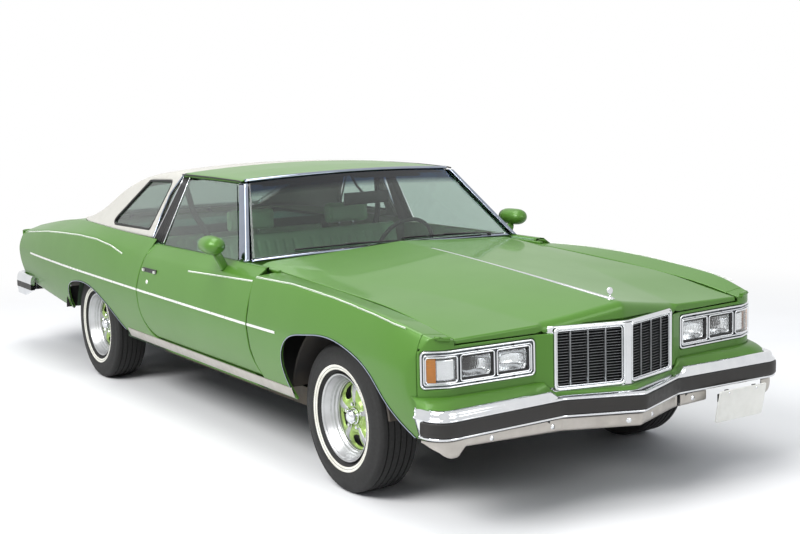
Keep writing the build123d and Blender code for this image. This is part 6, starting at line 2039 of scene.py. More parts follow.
def build_mouldings(mats):
    """Bright side strips, wheel lips and sill mouldings."""
    strip = np.array([(-0.002, -0.0062), (0.0028, -0.0062), (0.0045, -0.0048), (0.0052, 0.0),
                      (0.0045, 0.0048), (0.0028, 0.0062), (-0.002, 0.0062)])
    line = [(-2.39, 0.722), (-1.50, 0.708), (-0.316, 0.697), (1.098, 0.690), (1.40, 0.691)]
    spans = parted(line, [(-2.380, DOOR_REAR - SEAM - 0.004), (DOOR_REAR + 0.004, DOOR_FRONT - 0.003),
                          (DOOR_FRONT + SEAM + 0.004, 1.400)])
    runs = [moulding(s, strip) for s in spans]
    lips = []
    lip = np.array([(-0.003, -0.0012), (0.0012, -0.0012), (0.0020, 0.0000), (0.0020, 0.0018),
                    (0.0012, 0.0030), (-0.003, 0.0035)])
    for arch, at, low in ((FRONT_ARCH, FRONT_AXLE, 0.388), (REAR_ARCH, REAR_AXLE, 0.404)):
        p = arch_line(arch, at)
        p = p[p[:, 1] > low]
        p = p[np.argsort(-np.arctan2(p[:, 1] - 0.30, p[:, 0] - at))]
        lips.append(moulding(p, lip * (1, -1), 160, 0.0))
    sill = []
    x = np.linspace(-0.640, 1.455, 120)
    for z in (0.3700, 0.3715, 0.3740, 0.3950, 0.4170, 0.4225, 0.4245):
        out = {0.3700: 0.0005, 0.3715: 0.0032, 0.4225: 0.0030, 0.4245: 0.0002}.get(z, 0.0045)
        row = np.array([rocker_path(a, z) for a in x])
        row[:, 1] += out
        sill.append(row)
    sill = sheet(np.array(sill))
    fixed = pairs((runs[0], runs[2]))
    trims = joined("side_mouldings", fixed, mats["side_trim"], sharp=50)
    arches = joined("arch_mouldings", pairs(lips), mats["chrome_painted_sky"], sharp=50)
    rocker = joined("sill_mouldings", pair(sill), mats["bright"], wall=0.003)
    made = [trims, arches, rocker]
    for name, turn in SIDES:
        made.append(joined("door_moulding_" + name, [turn(runs[1])], mats["side_trim"], "door_" + name,
                           sharp=50))
    return made


def build_handles(mats):
    """Outer door handles in their recess plates, with lock barrels."""
    made = []
    x0, x1, z = -0.292, -0.098, 0.812
    base = on_side([(x0, z), (x1, z)], 0.0)
    y = float(base[:, 1].mean())
    plate = moulding([(x0, z), (x1, z)], rounded(0.006, 0.040, 0.0025) + [0.0012, 0], 30)
    bar = moulding([(x0 + 0.012, z + 0.006), (x1 - 0.012, z + 0.006)],
                   rounded(0.009, 0.019, 0.004) + [0.0095, 0], 30)
    ends = [block(x0 + 0.012, x0 + 0.024, y - 0.001, y + 0.012, z - 0.002, z + 0.013),
            block(x1 - 0.024, x1 - 0.012, y - 0.001, y + 0.012, z - 0.002, z + 0.013)]
    spot = on_side([(-0.200, 0.755)], 0.0)[0]
    lock = turned([(0.0125, -0.002), (0.0125, 0.0015), (0.0105, 0.0032), (0.0060, 0.0036), (0.0055, 0.0026),
                   (1e-4, 0.0026)], spot, (0, 1, 0), 28)
    for name, turn in SIDES:
        made.append(joined("door_handle_" + name, [turn(p) for p in [bar, *ends, lock]], mats["side_trim"],
                           "door_" + name, sharp=50))
        made.append(joined("handle_recess_" + name, [turn(plate)], mats["black"], "door_" + name, sharp=50))
    return made


def build_hood_trim(mats):
    """Bright strip down the middle of the hood, with a plain round ornament at its front."""
    x = np.linspace(1.25, 2.655, 60)
    line = np.stack([x, 0 * x, hood_height(x, 0 * x) - 0.0012], 1)
    width = np.interp(x, [1.25, 2.0, 2.655], [0.7, 1.0, 1.9])
    profile = np.array([(-0.0075, -0.001), (-0.0060, 0.0020), (0.0, 0.0042), (0.0060, 0.0020),
                        (0.0075, -0.001)])
    v, f = swept(profile, line, scale=width)
    z0 = float(hood_height(np.array([2.640]), np.array([0.0]))[0])
    foot = turned([(1e-4, 0.010), (0.0100, 0.0080), (0.0135, 0.0030), (0.0160, -0.004)], (2.640, 0, z0),
                  (0, 0, 1), 28)
    stem = tube_along(np.array([(2.640, 0, z0 + 0.004), (2.638, 0, z0 + 0.018)]), 0.0035, 12, (0, 1, 0))
    disc = turned([(1e-4, 0.0032), (0.0130, 0.0030), (0.0160, 0.0022), (0.0172, 0.0), (0.0160, -0.0022),
                   (0.0130, -0.0030), (1e-4, -0.0032)], (2.637, 0, z0 + 0.0335), (1, 0, 0.08), 36)
    strip = joined("hood_strip", [(v, f), foot, stem, disc], mats["chrome"], "hood")
    return [strip]


def build_wipers(mats):
    """Two parked wiper arms and blades."""
    def screen_point(y, w, out):
        t = (y / COWL_Y) ** 2
        low = np.array([COWL_X - (COWL_X - COWL_CORNER_X) * t, y, COWL_Z - (COWL_Z - COWL_CORNER_Z) * t])
        k = y * HEADER_Y / COWL_Y
        s = (k / HEADER_Y) ** 2
        high = np.array([HEADER_X - (HEADER_X - HEADER_CORNER_X) * s, k,
                         HEADER_Z - (HEADER_Z - HEADER_CORNER_Z) * s])
        return low * (1 - w) + high * w + np.array(SCREEN_OUT) * out
    parts = []
    for y0, y1 in ((0.62, 0.05), (-0.02, -0.60)):
        blade = np.array([screen_point(y, w, 0.010)
                          for y, w in zip(np.linspace(y0, y1, 20), np.linspace(0.030, 0.052, 20))])
        arm = np.array([screen_point(y, w, 0.016)
                        for y, w in zip(np.linspace(y0 + 0.05, (y0 + y1) / 2, 12),
                                        np.linspace(0.012, 0.044, 12))])
        parts.append(swept(rounded(0.006, 0.009, 0.002), blade, SCREEN_OUT))
        parts.append(swept(rounded(0.009, 0.005, 0.002), arm, SCREEN_OUT))
        parts.append(dome(screen_point(y0 + 0.05, 0.010, 0.004), SCREEN_OUT, 0.013, 0.014))
    return [joined("wipers", parts, mats["black"])]


# Cabin

COLUMN_TOP = np.array([0.462, 0.380, 0.858])
COLUMN_AXIS = COLUMN_TOP - (1.1103, 0.380, 0.614)
COLUMN_AXIS /= np.linalg.norm(COLUMN_AXIS)


def build_dash(mats):
    """Dashboard with a padded hood, instrument face, vents, glove box lid and column."""
    outline = np.concatenate([[(0.640, 0.657), (0.560, 0.645), (0.490, 0.702), (0.478, 0.760), (0.484, 0.778),
                               (0.492, 0.782), (0.486, 0.846)],
                              arc((0.486, 0.846), (0.506, 0.899), (0.562, 0.914), np.linspace(0, 1, 12))[1:],
                              [(0.680, 0.919), (0.796, 0.922)]])
    y = np.linspace(-0.776, 0.776, 90)
    pts = np.stack([np.broadcast_to(outline[:, 0], (90, len(outline))), np.broadcast_to(y[:, None],
                    (90, len(outline))), outline[:, 1] + 0 * y[:, None]], -1)
    dash = make("dash_pad", *sheet(pts), mats["dash"], wall=0.006)
    face = [block(0.468, 0.480, 0.150, 0.610, 0.772, 0.842),
            block(0.474, 0.482, -0.640, -0.220, 0.712, 0.800)]
    glass = joined("dash_face", face, mats["black"], bevel=0.004)
    dials = []
    for y0, r in ((0.240, 0.028), (0.360, 0.030), (0.500, 0.030)):
        dials.append(turned([(r, 0.0), (r + 0.003, 0.003), (r + 0.005, 0.0), (r + 0.003, -0.002)],
                            (0.467, y0, 0.806), (-1, 0, 0), 40, True))
    for y0 in (-0.690, -0.100, 0.690):
        for k in range(5):
            dials.append(block(0.470, 0.484, y0 - 0.060, y0 + 0.060, 0.802 + k * 0.008, 0.8045 + k * 0.008))
    dials.append(block(0.466, 0.478, -0.140, 0.110, 0.742, 0.768))
    bright = joined("dash_bright", dials, mats["chrome"])
    axis, top = COLUMN_AXIS, COLUMN_TOP
    column = turned([(1e-4, -0.004), (0.030, -0.005), (0.036, -0.020), (0.040, -0.120), (0.042, -0.200),
                     (1e-4, -0.205)], top, axis, 32)
    lever = tube_along(np.array([top + axis * -0.03, top + axis * -0.01 + (0, 0.09, 0.01),
                                 top + axis * 0.01 + (0, 0.15, 0.015)]), 0.004, 10, (0, 0, 1))
    tube = joined("steering_column", [column, lever], mats["dash"])
    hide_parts("dashboard")
    return [dash, glass, bright, tube]


def build_steering(mats):
    """Steering wheel: rim, two padded spokes and hub."""
    axis = COLUMN_AXIS
    centre = COLUMN_TOP + axis * 0.060
    side = np.array([0.0, 1.0, 0.0])
    up = np.cross(side, axis)
    t = np.linspace(0, 2 * np.pi, 97)[:-1]
    ring_r = 0.0115 + 0.0008 * np.abs(np.sin(t * 24))
    ring = centre + 0.1905 * (np.cos(t)[:, None] * side + np.sin(t)[:, None] * up)
    a = np.linspace(0, 2 * np.pi, 14, endpoint=False)
    rim = swept(np.stack([np.cos(a), np.sin(a)], 1), ring, axis, close_path=True, caps=False, scale=ring_r)
    parts = [rim]
    for s in (-1, 1):
        line = np.array([centre + side * s * 0.188 - up * 0.012,
                         centre + side * s * 0.12 - up * 0.016 - axis * 0.012,
                         centre + side * s * 0.045 - up * 0.010 - axis * 0.020])
        parts.append(swept(rounded(0.030, 0.012, 0.005), even(line, 14), axis,
                           scale=np.interp(np.linspace(0, 1, 14), [0, 1], [0.75, 1.7])))
    pad = turned([(1e-4, -0.006), (0.040, -0.008), (0.056, -0.014), (0.058, -0.026), (0.044, -0.040),
                  (0.030, -0.056), (1e-4, -0.057)], centre, axis, 40)
    wheel = joined("steering_ring", parts + [pad], mats["wheel_plastic"], "steering_wheel")
    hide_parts("steering_wheel")
    return [wheel]


def bolster(profile, y0, y1, ends):
    """Closed cushion from an (x, z) outline carried from y0 to y1, drawn in at both ends."""
    p = soften(np.asarray(profile, float), 0.028, 7)
    middle = p.mean(0)
    away = p - middle
    size = np.linalg.norm(away, axis=1)[:, None]
    phi = np.linspace(0, np.pi / 2, 6)
    inset, sink = ends * (1 - np.cos(phi)), ends * (1 - np.sin(phi))
    drop = np.concatenate([sink, np.zeros(24), sink[::-1]])
    y = np.concatenate([y0 + inset, np.linspace(y0 + ends, y1 - ends, 26)[1:-1], (y1 - inset)[::-1]])
    rings = [np.insert(middle + away * (1 - d / size), 1, v, 1) for v, d in zip(y, drop)]
    return np.concatenate(rings), tube_faces(len(rings), len(p))


def inflate(points, faces, voxel, limit):
    """Cushion cloth: remeshed, blown up gently by cloth pressure, its points held within limit."""
    mesh = bpy.data.meshes.new("cushion_start")
    mesh.from_pydata(points.tolist(), [], [list(map(int, f)) for f in faces])
    bm = bmesh.new()
    bm.from_mesh(mesh)
    bmesh.ops.recalc_face_normals(bm, faces=bm.faces)
    bm.to_mesh(mesh)
    bm.free()
    obj = bpy.data.objects.new("cushion_start", mesh)
    bpy.context.scene.collection.objects.link(obj)
    even_mesh = obj.modifiers.new("Even", "REMESH")
    even_mesh.mode = "VOXEL"
    even_mesh.voxel_size = voxel
    graph = bpy.context.evaluated_depsgraph_get()
    start = bpy.data.meshes.new_from_object(obj.evaluated_get(graph))
    obj.modifiers.clear()
    obj.data = start
    rest = np.zeros(len(start.vertices) * 3)
    start.vertices.foreach_get("co", rest)
    rest = rest.reshape(-1, 3)
    moved = rest.copy()
    cloth = obj.modifiers.new("Cloth", "CLOTH")
    cloth.settings.quality = 4
    cloth.settings.use_pressure = True
    cloth.settings.uniform_pressure_force = 4.0
    cloth.settings.effector_weights.gravity = 0.0
    scene = bpy.context.scene
    for frame_no in range(1, 21):
        scene.frame_set(frame_no)
    graph = bpy.context.evaluated_depsgraph_get()
    done = obj.evaluated_get(graph)
    blown = np.zeros(len(done.data.vertices) * 3)
    done.data.vertices.foreach_get("co", blown)
    step = blown.reshape(-1, 3) - rest
    size = np.linalg.norm(step, axis=1)[:, None] + 1e-9
    moved = rest + step * np.minimum(1, limit / size)
    scene.frame_set(1)
    obj.modifiers.clear()
    quads = [list(p.vertices) for p in start.polygons]
    normals = np.zeros(len(start.vertices) * 3)
    start.vertices.foreach_get("normal", normals)
    bpy.data.objects.remove(obj)
    bpy.data.meshes.remove(mesh)
    return moved, quads, normals.reshape(-1, 3)


def cushion(name, profile, y0, y1, pleats, material, voxel=0.010, limit=0.012, ends=0.030, edge=0.055,
            zone=None):
    """Padded seat part with sewn channels along y = pleats, inside a plain border."""
    points, faces = bolster(profile, y0, y1, ends)
    points, quads, normals = inflate(points, faces, voxel, limit)
    near = np.abs(points[:, 1:2]
                  - np.asarray(pleats)[None, :]).min(1) if len(pleats) else np.full(len(points), 9.0)
    groove = 0.0075 * np.exp(-(near / 0.0075) ** 2)
    if zone is not None:
        lo, hi = zone
        inside_zone = ((points[:, 0] > lo[0]) & (points[:, 0] < hi[0]) & (points[:, 2] > lo[1])
                       & (points[:, 2] < hi[1]))
        groove = np.where(inside_zone, groove, 0.0)
    border = np.minimum(np.abs(points[:, 1] - (y0 + edge)), np.abs(points[:, 1] - (y1 - edge)))
    groove = np.maximum(groove, 0.0060 * np.exp(-(border / 0.0070) ** 2))
    points = points - normals * groove[:, None]
    piece = make(name, points, quads, material, level=1)
    return piece


def build_seats(mats):
    """Front and rear benches with sewn channels, and front head rests."""
    made = []
    pleats = np.concatenate([np.arange(-0.62, -0.05, 0.062), np.arange(0.062, 0.65, 0.062)])
    made.append(cushion("front_seat_cushion",
                        [(-0.060, 0.478), (0.395, 0.478), (0.422, 0.505), (0.424, 0.565), (0.390, 0.588),
                         (0.030, 0.556), (-0.050, 0.590)], -0.686, 0.686, pleats, mats["seat"],
                        zone=((0.00, 0.54), (0.36, 0.70))))
    made.append(cushion("front_seat_back",
                        [(-0.118, 0.520), (0.000, 0.560), (-0.095, 0.760), (-0.160, 0.985), (-0.198, 0.985),
                         (-0.178, 0.700)], -0.686, 0.686, pleats, mats["seat"], limit=0.008, ends=0.022,
                        zone=((-0.20, 0.66), (0.05, 0.93))))
    rests = []
    for side in (-1, 1):
        lo, hi = sorted((side * 0.182, side * 0.478))
        rests.append(cushion("head_rest_%s" % ("right" if side < 0 else "left"),
                             [(-0.212, 1.000), (-0.152, 0.996), (-0.150, 1.128), (-0.206, 1.130)], lo, hi, [],
                             mats["seat"], voxel=0.007, limit=0.006, ends=0.022, edge=0.022))
    made += rests
    rear = np.concatenate([np.arange(-0.56, -0.05, 0.055), np.arange(0.055, 0.58, 0.055)])
    made.append(cushion("rear_seat_cushion", [(-0.745, 0.575), (-0.745, 0.500), (-0.572, 0.498),
                                              (-0.556, 0.540), (-0.575, 0.582), (-0.640, 0.590),
                                              (-0.900, 0.570), (-0.985, 0.600), (-1.040, 0.575)], -0.636,
                        0.636, rear, mats["seat"], limit=0.006, ends=0.016,
                        zone=((-0.88, 0.54), (-0.60, 0.70))))
    made.append(cushion("rear_seat_back",
                        [(-1.046, 0.585), (-0.925, 0.598), (-0.996, 0.760), (-1.022, 0.908), (-1.046, 0.912)],
                        -0.636, 0.636, rear, mats["seat"], limit=0.005, ends=0.012,
                        zone=((-1.04, 0.64), (-0.9, 0.88))))
    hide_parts("bench_seats")
    posts = [tube_along(np.array([(-0.181, y, 0.960), (-0.181, y, 1.030)]), 0.006, 12, (0, 1, 0))
             for y in (-0.380, -0.280, 0.280, 0.380)]
    made.append(joined("head_rest_posts", posts, mats["chrome"]))
    return made


def build_cabin_trim(mats):
    """Painted shade sheets in the rear wheel arches, parcel shelf, inside mirror, sun visors and safety
    belts.
    """
    # Matt black sheets behind the rear wheels: painted shade where the pale floor would show through the
    # arches.
    curve = even([(-1.670, 0.0, 0.560), (-1.730, 0.0, 0.470), (-1.742, 0.0, 0.412)], 20)
    liner = np.stack([curve + [0, 0.620, 0], curve + [0, 0.962, 0]])
    arch_shade_sheets = joined("rear_arch_shade_sheets", pair(sheet(liner)), mats["shadow"], wall=0.004)
    shelf = block(-1.600, -1.075, -0.640, 0.640, 0.9445, 0.952)
    tray = joined("parcel_shelf", [shelf], mats["shelf"], bevel=0.003)
    stem = tube_along(np.array([(0.452, 0, 1.338), (0.500, 0.010, 1.275), (0.535, 0.030, 1.235)]), 0.007, 12,
                      (0, 1, 0))
    glass = swept(rounded(0.020, 0.070, 0.009),
                  np.array([(0.552, -0.105, 1.212), (0.548, 0.040, 1.212), (0.540, 0.185, 1.212)]),
                  (0.1, 0, 1))
    mirror = joined("inside_mirror", [stem, glass], mats["black"])
    visors = []
    for side in (-1, 1):
        c = np.array([(0.235, 0.08 * side, 1.343), (0.390, 0.08 * side, 1.325), (0.385, 0.52 * side, 1.312),
                      (0.240, 0.52 * side, 1.333)])
        v = np.concatenate([c, c - [0, 0, 0.013]])
        visors.append((v, [[0, 1, 2, 3], [7, 6, 5, 4]] + prism_walls(4)))
    visor = joined("sun_visors", visors, mats["visor"], bevel=0.004)
    belts = []
    for side in (-1, 1):
        line = even([(-0.345, 0.660 * side, 1.270), (-0.300, 0.640 * side, 1.120),
                     (-0.245, 0.600 * side, 1.022), (-0.228, 0.560 * side, 0.940),
                     (-0.232, 0.540 * side, 0.620)], 40)
        belts.append(swept([(-0.019, -0.0008), (0.019, -0.0008), (0.019, 0.0008), (-0.019, 0.0008)], line,
                           (1, 0, 0.3)))
    belt = joined("safety_belts", belts, mats["webbing"])
    return [arch_shade_sheets, tray, mirror, visor, belt]


# Materials of the whole car


def zoned_material(name, paint, inner, inner_other, axis, limit):
    """Kept body part: painted where the axis value passes the limit, another colour elsewhere: the floor's
    own finish, and painted shade on the cowl.
    """
    made = material(name, inner, inner_other, 0.6, 120.0, rough=0.8, spread=0.1, bump=0.0010)
    tree = made.node_tree
    place = node(tree, "ShaderNodeTexCoord").outputs["Object"]
    reach = maths(tree, "ABSOLUTE", node(tree, "ShaderNodeSeparateXYZ", {0: place}).outputs[axis])
    lay_over(made, maths(tree, "GREATER_THAN", reach, limit), paint)
    return made


def paint_material(name, base):
    """Metallic paint under clear coat: flakes and a slow colour drift."""
    return material(name, base, shade(base, 0.86), 0.5, 900.0, rough=0.40, spread=0.05, dust=0.10,
                    dust_top=0.62, Metallic=0.20, Specular_IOR_Level=0.30, Coat_Weight=0.25,
                    Coat_Roughness=0.05)


def screen_material(name, base, tint):
    """Windshield glass with a dark blue band along its top edge, by the sheet's own height."""
    made = material(name, base, rough=0.02, spread=0.0, Transmission_Weight=1.0, Metallic=0.0, IOR=1.45)
    tree = made.node_tree
    uv = node(tree, "ShaderNodeUVMap").outputs["UV"]
    height = node(tree, "ShaderNodeSeparateXYZ", {0: uv}).outputs["Y"]
    lay_over(made, ranged(tree, height, From_Min=0.77, From_Max=0.86), tint)
    return made


def tyre_material(name):
    """Tyre rubber: speckled colour, and sipes across the tread from the piece's own coordinates."""
    made = material(name, srgb(15, 15, 15), srgb(24, 23, 22), 0.5, 60.0, rough=0.66, spread=0.14)
    tree = made.node_tree
    uv = node(tree, "ShaderNodeUVMap").outputs["UV"]
    apart = node(tree, "ShaderNodeSeparateXYZ", {0: uv}).outputs
    turns = maths(tree, "FRACT", maths(tree, "MULTIPLY", apart["X"], 90.0))
    sipe = maths(tree, "MULTIPLY", maths(tree, "GREATER_THAN", turns, 0.16),
                 maths(tree, "COMPARE", apart["Y"], 0.5, 0.16))
    lift = node(tree, "ShaderNodeBump", {"Height": sipe}, Strength=0.6, Distance=0.003)
    tree.links.new(lift.outputs["Normal"], tree.nodes["Principled BSDF"].inputs["Normal"])
    return made


def make_materials(colours):
    """Every material of the car, by key."""
    paint = tuple(colours.paint) + (1.0,)
    vinyl, seat, dash = (tuple(c) + (1.0,) for c in (colours.roof, colours.seats, colours.dash))
    rim, stripe = tuple(colours.rims) + (1.0,), tuple(colours.stripes) + (1.0,)
    chrome = dict(rough=0.06, spread=0.05, amount=0.5, scale=14.0, Metallic=1.0)
    return {
        "paint": paint_material("Metallic green paint", paint),
        "vinyl": material("White grained vinyl", vinyl, srgb(164, 162, 154), 0.6, 30.0, rough=0.60,
                          spread=0.10, bump=0.0006, grain=420.0, Coat_Weight=0.12, Coat_Roughness=0.4),
        "liner": material("Headliner cloth", srgb(176, 190, 160), srgb(158, 172, 146), 0.5, 240.0, rough=0.9,
                          bump=0.0008),
        "seat": material("Mint vinyl", seat, shade(seat, 0.78), 0.6, 26.0, rough=0.42,
                         spread=0.12, bump=0.0004, grain=520.0),
        "dash": material("Green grained plastic", dash, shade(dash, 0.75), 0.5, 30.0,
                         rough=0.5, spread=0.1, bump=0.0004, grain=600.0),
        "shelf": material("Parcel shelf board", srgb(68, 107, 93), srgb(58, 92, 80), 0.6, 180.0, rough=0.85,
                          bump=0.0008),
        "visor": material("Visor vinyl", srgb(150, 172, 134), srgb(132, 154, 120), 0.5, 30.0, rough=0.6,
                          bump=0.0004, grain=600.0),
        "webbing": material("Belt webbing", srgb(26, 27, 26), srgb(40, 42, 40), 0.6, 500.0, rough=0.75,
                            bump=0.0006),
        "chrome": material("Bright chrome", srgb(222, 224, 226), srgb(196, 200, 206), **chrome),
        "side_trim": material("Side strip", srgb(226, 226, 222), srgb(206, 206, 202), 0.5, 30.0, rough=0.25,
                              spread=0.08, Metallic=0.35),
        # Bright metal tinted blue and darkened: a painted reflection of blue sky on the window, roof and arch
        # mouldings.
        "chrome_painted_sky": material("Moulding metal with painted sky reflection", srgb(150, 158, 172), srgb(128, 136, 150),
                                  **chrome),
        # Bezel plate chrome with its base darkened: a painted reflection of dark surroundings in the recess.
        "chrome_painted_dark": material("Bright metal with painted dark reflection", srgb(88, 92, 96), srgb(70, 74, 78), **chrome),
        "bar_metal": material("Grille bar metal", srgb(132, 134, 136), srgb(108, 110, 112), 0.6, 30.0,
                              rough=0.34, spread=0.10, Metallic=1.0),
        "wheel_plastic": material("Steering wheel plastic", srgb(22, 28, 22), srgb(30, 36, 30), 0.5, 90.0,
                                  rough=0.4, spread=0.1, bump=0.0004),
        "bright": material("Dull bright metal", srgb(186, 182, 176), srgb(158, 154, 148), 0.6, 20.0,
                           rough=0.30, spread=0.14, dust=0.16, dust_top=0.6, Metallic=1.0),
        "mirror": material("Mirror glass", srgb(230, 232, 234), rough=0.01, spread=0.02, Metallic=1.0),
        # Side glass and windshield: the glass's own green tint, deepened further as painted shade of the
        # cabin seen through them.
        "glass": material("Side glass", (0.56, 0.66, 0.61, 1), rough=0.01, spread=0.01,
                          Transmission_Weight=1.0, Metallic=0.0, IOR=1.45),
        "screen": screen_material("Windshield glass", (0.62, 0.72, 0.68, 1), (0.02, 0.05, 0.11, 1)),
        "lamp_glass": material("Lamp glass", (0.96, 0.97, 0.97, 1), rough=0.03, spread=0.02,
                               Transmission_Weight=1.0, Metallic=0.0, IOR=1.5),
        "bowl": material("Lamp reflector", srgb(226, 228, 230), srgb(205, 207, 210), 0.5, 12.0, rough=0.12,
                         spread=0.08, Metallic=1.0),
        "amber": material("Amber lens", (0.62, 0.235, 0.012, 1), (0.50, 0.17, 0.008, 1), 0.4, 40.0,
                          rough=0.12, spread=0.05, Transmission_Weight=0.55, Metallic=0.0, Coat_Weight=0.5),
        "red": material("Red lens", (0.62, 0.010, 0.012, 1), (0.45, 0.006, 0.008, 1), 0.5, 40.0, rough=0.14,
                        spread=0.05, Transmission_Weight=0.35, Metallic=0.0, Coat_Weight=0.6),
        "black": material("Satin black trim", srgb(14, 14, 15), srgb(22, 22, 22), 0.5, 70.0, rough=0.40,
                          spread=0.15),
        "strip": material("Black rub strip", srgb(9, 8, 8), srgb(16, 14, 13), 0.6, 50.0, rough=0.40,
                          spread=0.15, dust=0.05),
        # Matt black that stands in for shade: painted shade behind the nose and grille and in the rear wheel
        # arches.
        "shadow": material("Painted shade black", srgb(9, 9, 10), srgb(18, 18, 18), 0.5, 30.0, rough=0.9,
                           spread=0.05),
        "screw": material("Screw heads", srgb(58, 58, 60), srgb(90, 90, 90), 0.5, 90.0, rough=0.35,
                          spread=0.15, Metallic=1.0),
        "plate": material("Blank plate enamel", srgb(234, 234, 228), srgb(208, 208, 200), 0.5, 22.0,
                          rough=0.35, spread=0.15, dust=0.12),
        "tyre": tyre_material("Tyre rubber"),
        "white_band": material("White tyre band", srgb(222, 221, 212), srgb(186, 182, 168), 0.6, 30.0,
                               rough=0.6, spread=0.1),
        "rim_bright": material("Bright wheel trim", srgb(190, 191, 192), srgb(160, 161, 162), 0.5, 20.0,
                               rough=0.30, spread=0.06, Metallic=1.0),
        "rim_silver": material("Silver wheel paint", srgb(178, 181, 182), srgb(150, 152, 152), 0.6, 60.0,
                               rough=0.34, spread=0.14, dust=0.15, Metallic=0.75),
        "rim_green": material("Green wheel paint", rim, shade(rim, 0.8), 0.6, 60.0,
                              rough=0.34, spread=0.12, dust=0.15, Metallic=0.35, Coat_Weight=0.6),
        "stripe": material("White pinstripe", stripe, srgb(214, 216, 208), 0.4, 60.0, rough=0.35,
                           spread=0.1),
        "chassis": material("Chassis black", srgb(28, 28, 28), srgb(58, 50, 42), 0.7, 18.0, rough=0.6,
                            spread=0.2, bump=0.001, dust=0.5, dust_top=0.5),
        "cast": material("Cast iron", srgb(74, 72, 70), srgb(92, 74, 58), 0.7, 26.0, rough=0.6, spread=0.2,
                         bump=0.0012, Metallic=0.6),
        "steel": material("Dull steel", srgb(126, 124, 120), srgb(108, 86, 66), 0.7, 14.0, rough=0.45,
                          spread=0.2, bump=0.0006, Metallic=0.8),
        "floor": zoned_material("Floor and sill", paint, srgb(46, 66, 46), srgb(34, 50, 34), "Y", 0.905),
        # Cowl: body colour at the top only; below it, near-black painted shade, as seen through the wheel
        # arches.
        "cowl": zoned_material("Cowl with painted shade below", paint, srgb(22, 22, 22), srgb(34, 33, 32), "Z", 0.918),
    }


KEPT = {
    "cowl": "cowl", "floor_pan": "floor", "inner_fenders": "chassis", "chassis_frame": "chassis",
    "powertrain": "cast", "rear_axle": "cast", "front_suspension": "cast", "exhaust": "steel",
    "fuel_tank": "steel", "knuckle_left": "cast", "knuckle_right": "cast",
}


def dress_kept_nodes(mats):
    """Gives each CAD node that still shows its procedural material."""
    for name, key in KEPT.items():
        obj = frame["nodes"][name]
        obj = obj if hasattr(obj, "data") else bpy.data.objects[name]
        for slot in obj.material_slots:
            slot.material = mats[key]
        if not obj.material_slots:
            raise RuntimeError("no material slot on " + name)


# Stage


def aim(obj, at, target):
    """Points an object's -Z at a target."""
    from mathutils import Vector
    obj.location = at
    obj.rotation_euler = (Vector(target) - Vector(at)).to_track_quat("-Z", "Y").to_euler()


def soft_light(name, at, target, size, power):
    """One rectangular area light."""
    data = bpy.data.lights.new(name, "AREA")
    data.shape = "RECTANGLE"
    data.size, data.size_y = size
    data.energy = power
    obj = bpy.data.objects.new(name, data)
    bpy.context.scene.collection.objects.link(obj)
    aim(obj, at, target)
    return obj


def build_stage(camera_focal):
    """Camera of the photograph, pale floor, white world and soft lights."""
    from mathutils import Matrix
    scene = bpy.context.scene
    a, e, r = (math.radians(v) for v in (CAMERA_AZIMUTH, CAMERA_PITCH, CAMERA_ROLL))
    back = np.array([math.sin(a) * math.cos(e), -math.cos(a) * math.cos(e), math.sin(e)])
    right = np.cross((0, 0, 1), back)
    right /= np.linalg.norm(right)
    up = np.cross(back, right)
    r2 = math.cos(r) * right + math.sin(r) * up
    u2 = -math.sin(r) * right + math.cos(r) * up
    data = bpy.data.cameras.new("Camera")
    data.sensor_width = 36.0
    data.sensor_fit = "HORIZONTAL"
    data.lens = camera_focal / PHOTO_WIDTH * 36.0
    data.clip_end = 200.0
    camera = bpy.data.objects.new("Camera", data)
    scene.collection.objects.link(camera)
    m = np.eye(4)
    m[:3, 0], m[:3, 1], m[:3, 2], m[:3, 3] = r2, u2, back, CAMERA_AT
    camera.matrix_world = Matrix(m.tolist())
    scene.camera = camera
    size = 60.0
    mesh = bpy.data.meshes.new("studio_floor")
    mesh.from_pydata([(-size, -size, 0), (size, -size, 0), (size, size, 0), (-size, size, 0)], [],
                     [[0, 1, 2, 3]])
    floor = bpy.data.objects.new("studio_floor", mesh)
    scene.collection.objects.link(floor)
    mesh.materials.append(floor_material("Pale floor"))
    world = scene.world or bpy.data.worlds.new("World")
    scene.world = world
    world.use_nodes = True
    tree = world.node_tree
    tree.nodes.clear()
    place = node(tree, "ShaderNodeTexCoord").outputs["Generated"]
    ramp = node(tree, "ShaderNodeValToRGB", {0: node(tree, "ShaderNodeSeparateXYZ", {0: place}).outputs["Z"]})
    stops = ramp.color_ramp.elements
    stops[0].position, stops[0].color = 0.0, (0.10, 0.10, 0.10, 1)
    stops[1].position, stops[1].color = 1.0, (1.0, 1.0, 1.0, 1)
    for at, colour in ((0.04, (0.10, 0.10, 0.11, 1)), (0.16, (0.13, 0.14, 0.16, 1)),
                       (0.34, (0.30, 0.34, 0.42, 1)), (0.60, (0.70, 0.76, 0.86, 1))):
        stops.new(at).color = colour
    sky = node(tree, "ShaderNodeBackground", {"Color": ramp.outputs["Color"]}, Strength=0.75)
    plain = node(tree, "ShaderNodeBackground", Color=(1, 1, 1, 1), Strength=1.0)
    mix = node(tree, "ShaderNodeMixShader", {0: seen_directly(tree), 1: sky.outputs[0], 2: plain.outputs[0]})
    node(tree, "ShaderNodeOutputWorld", {"Surface": mix.outputs[0]})
    scene.view_settings.view_transform = "Standard"
    soft_light("Key", (2.5, -6.5, 6.5), (0.4, 0, 0.5), (6.0, 3.5), 860)
    soft_light("Fill", (8.5, 2.0, 4.2), (1.0, 0, 0.5), (4.0, 3.0), 140)
    soft_light("Top", (-0.6, -0.8, 8.5), (0.0, 0, 0.8), (8.0, 4.0), 500)
    return [camera, floor]


def seen_directly(tree):
    """One for camera, glossy and transmission rays, so that metal and glass show the backdrop too."""
    path = node(tree, "ShaderNodeLightPath").outputs
    seen = maths(tree, "MAXIMUM", path["Is Camera Ray"], path["Is Glossy Ray"])
    return maths(tree, "MAXIMUM", seen, path["Is Transmission Ray"])


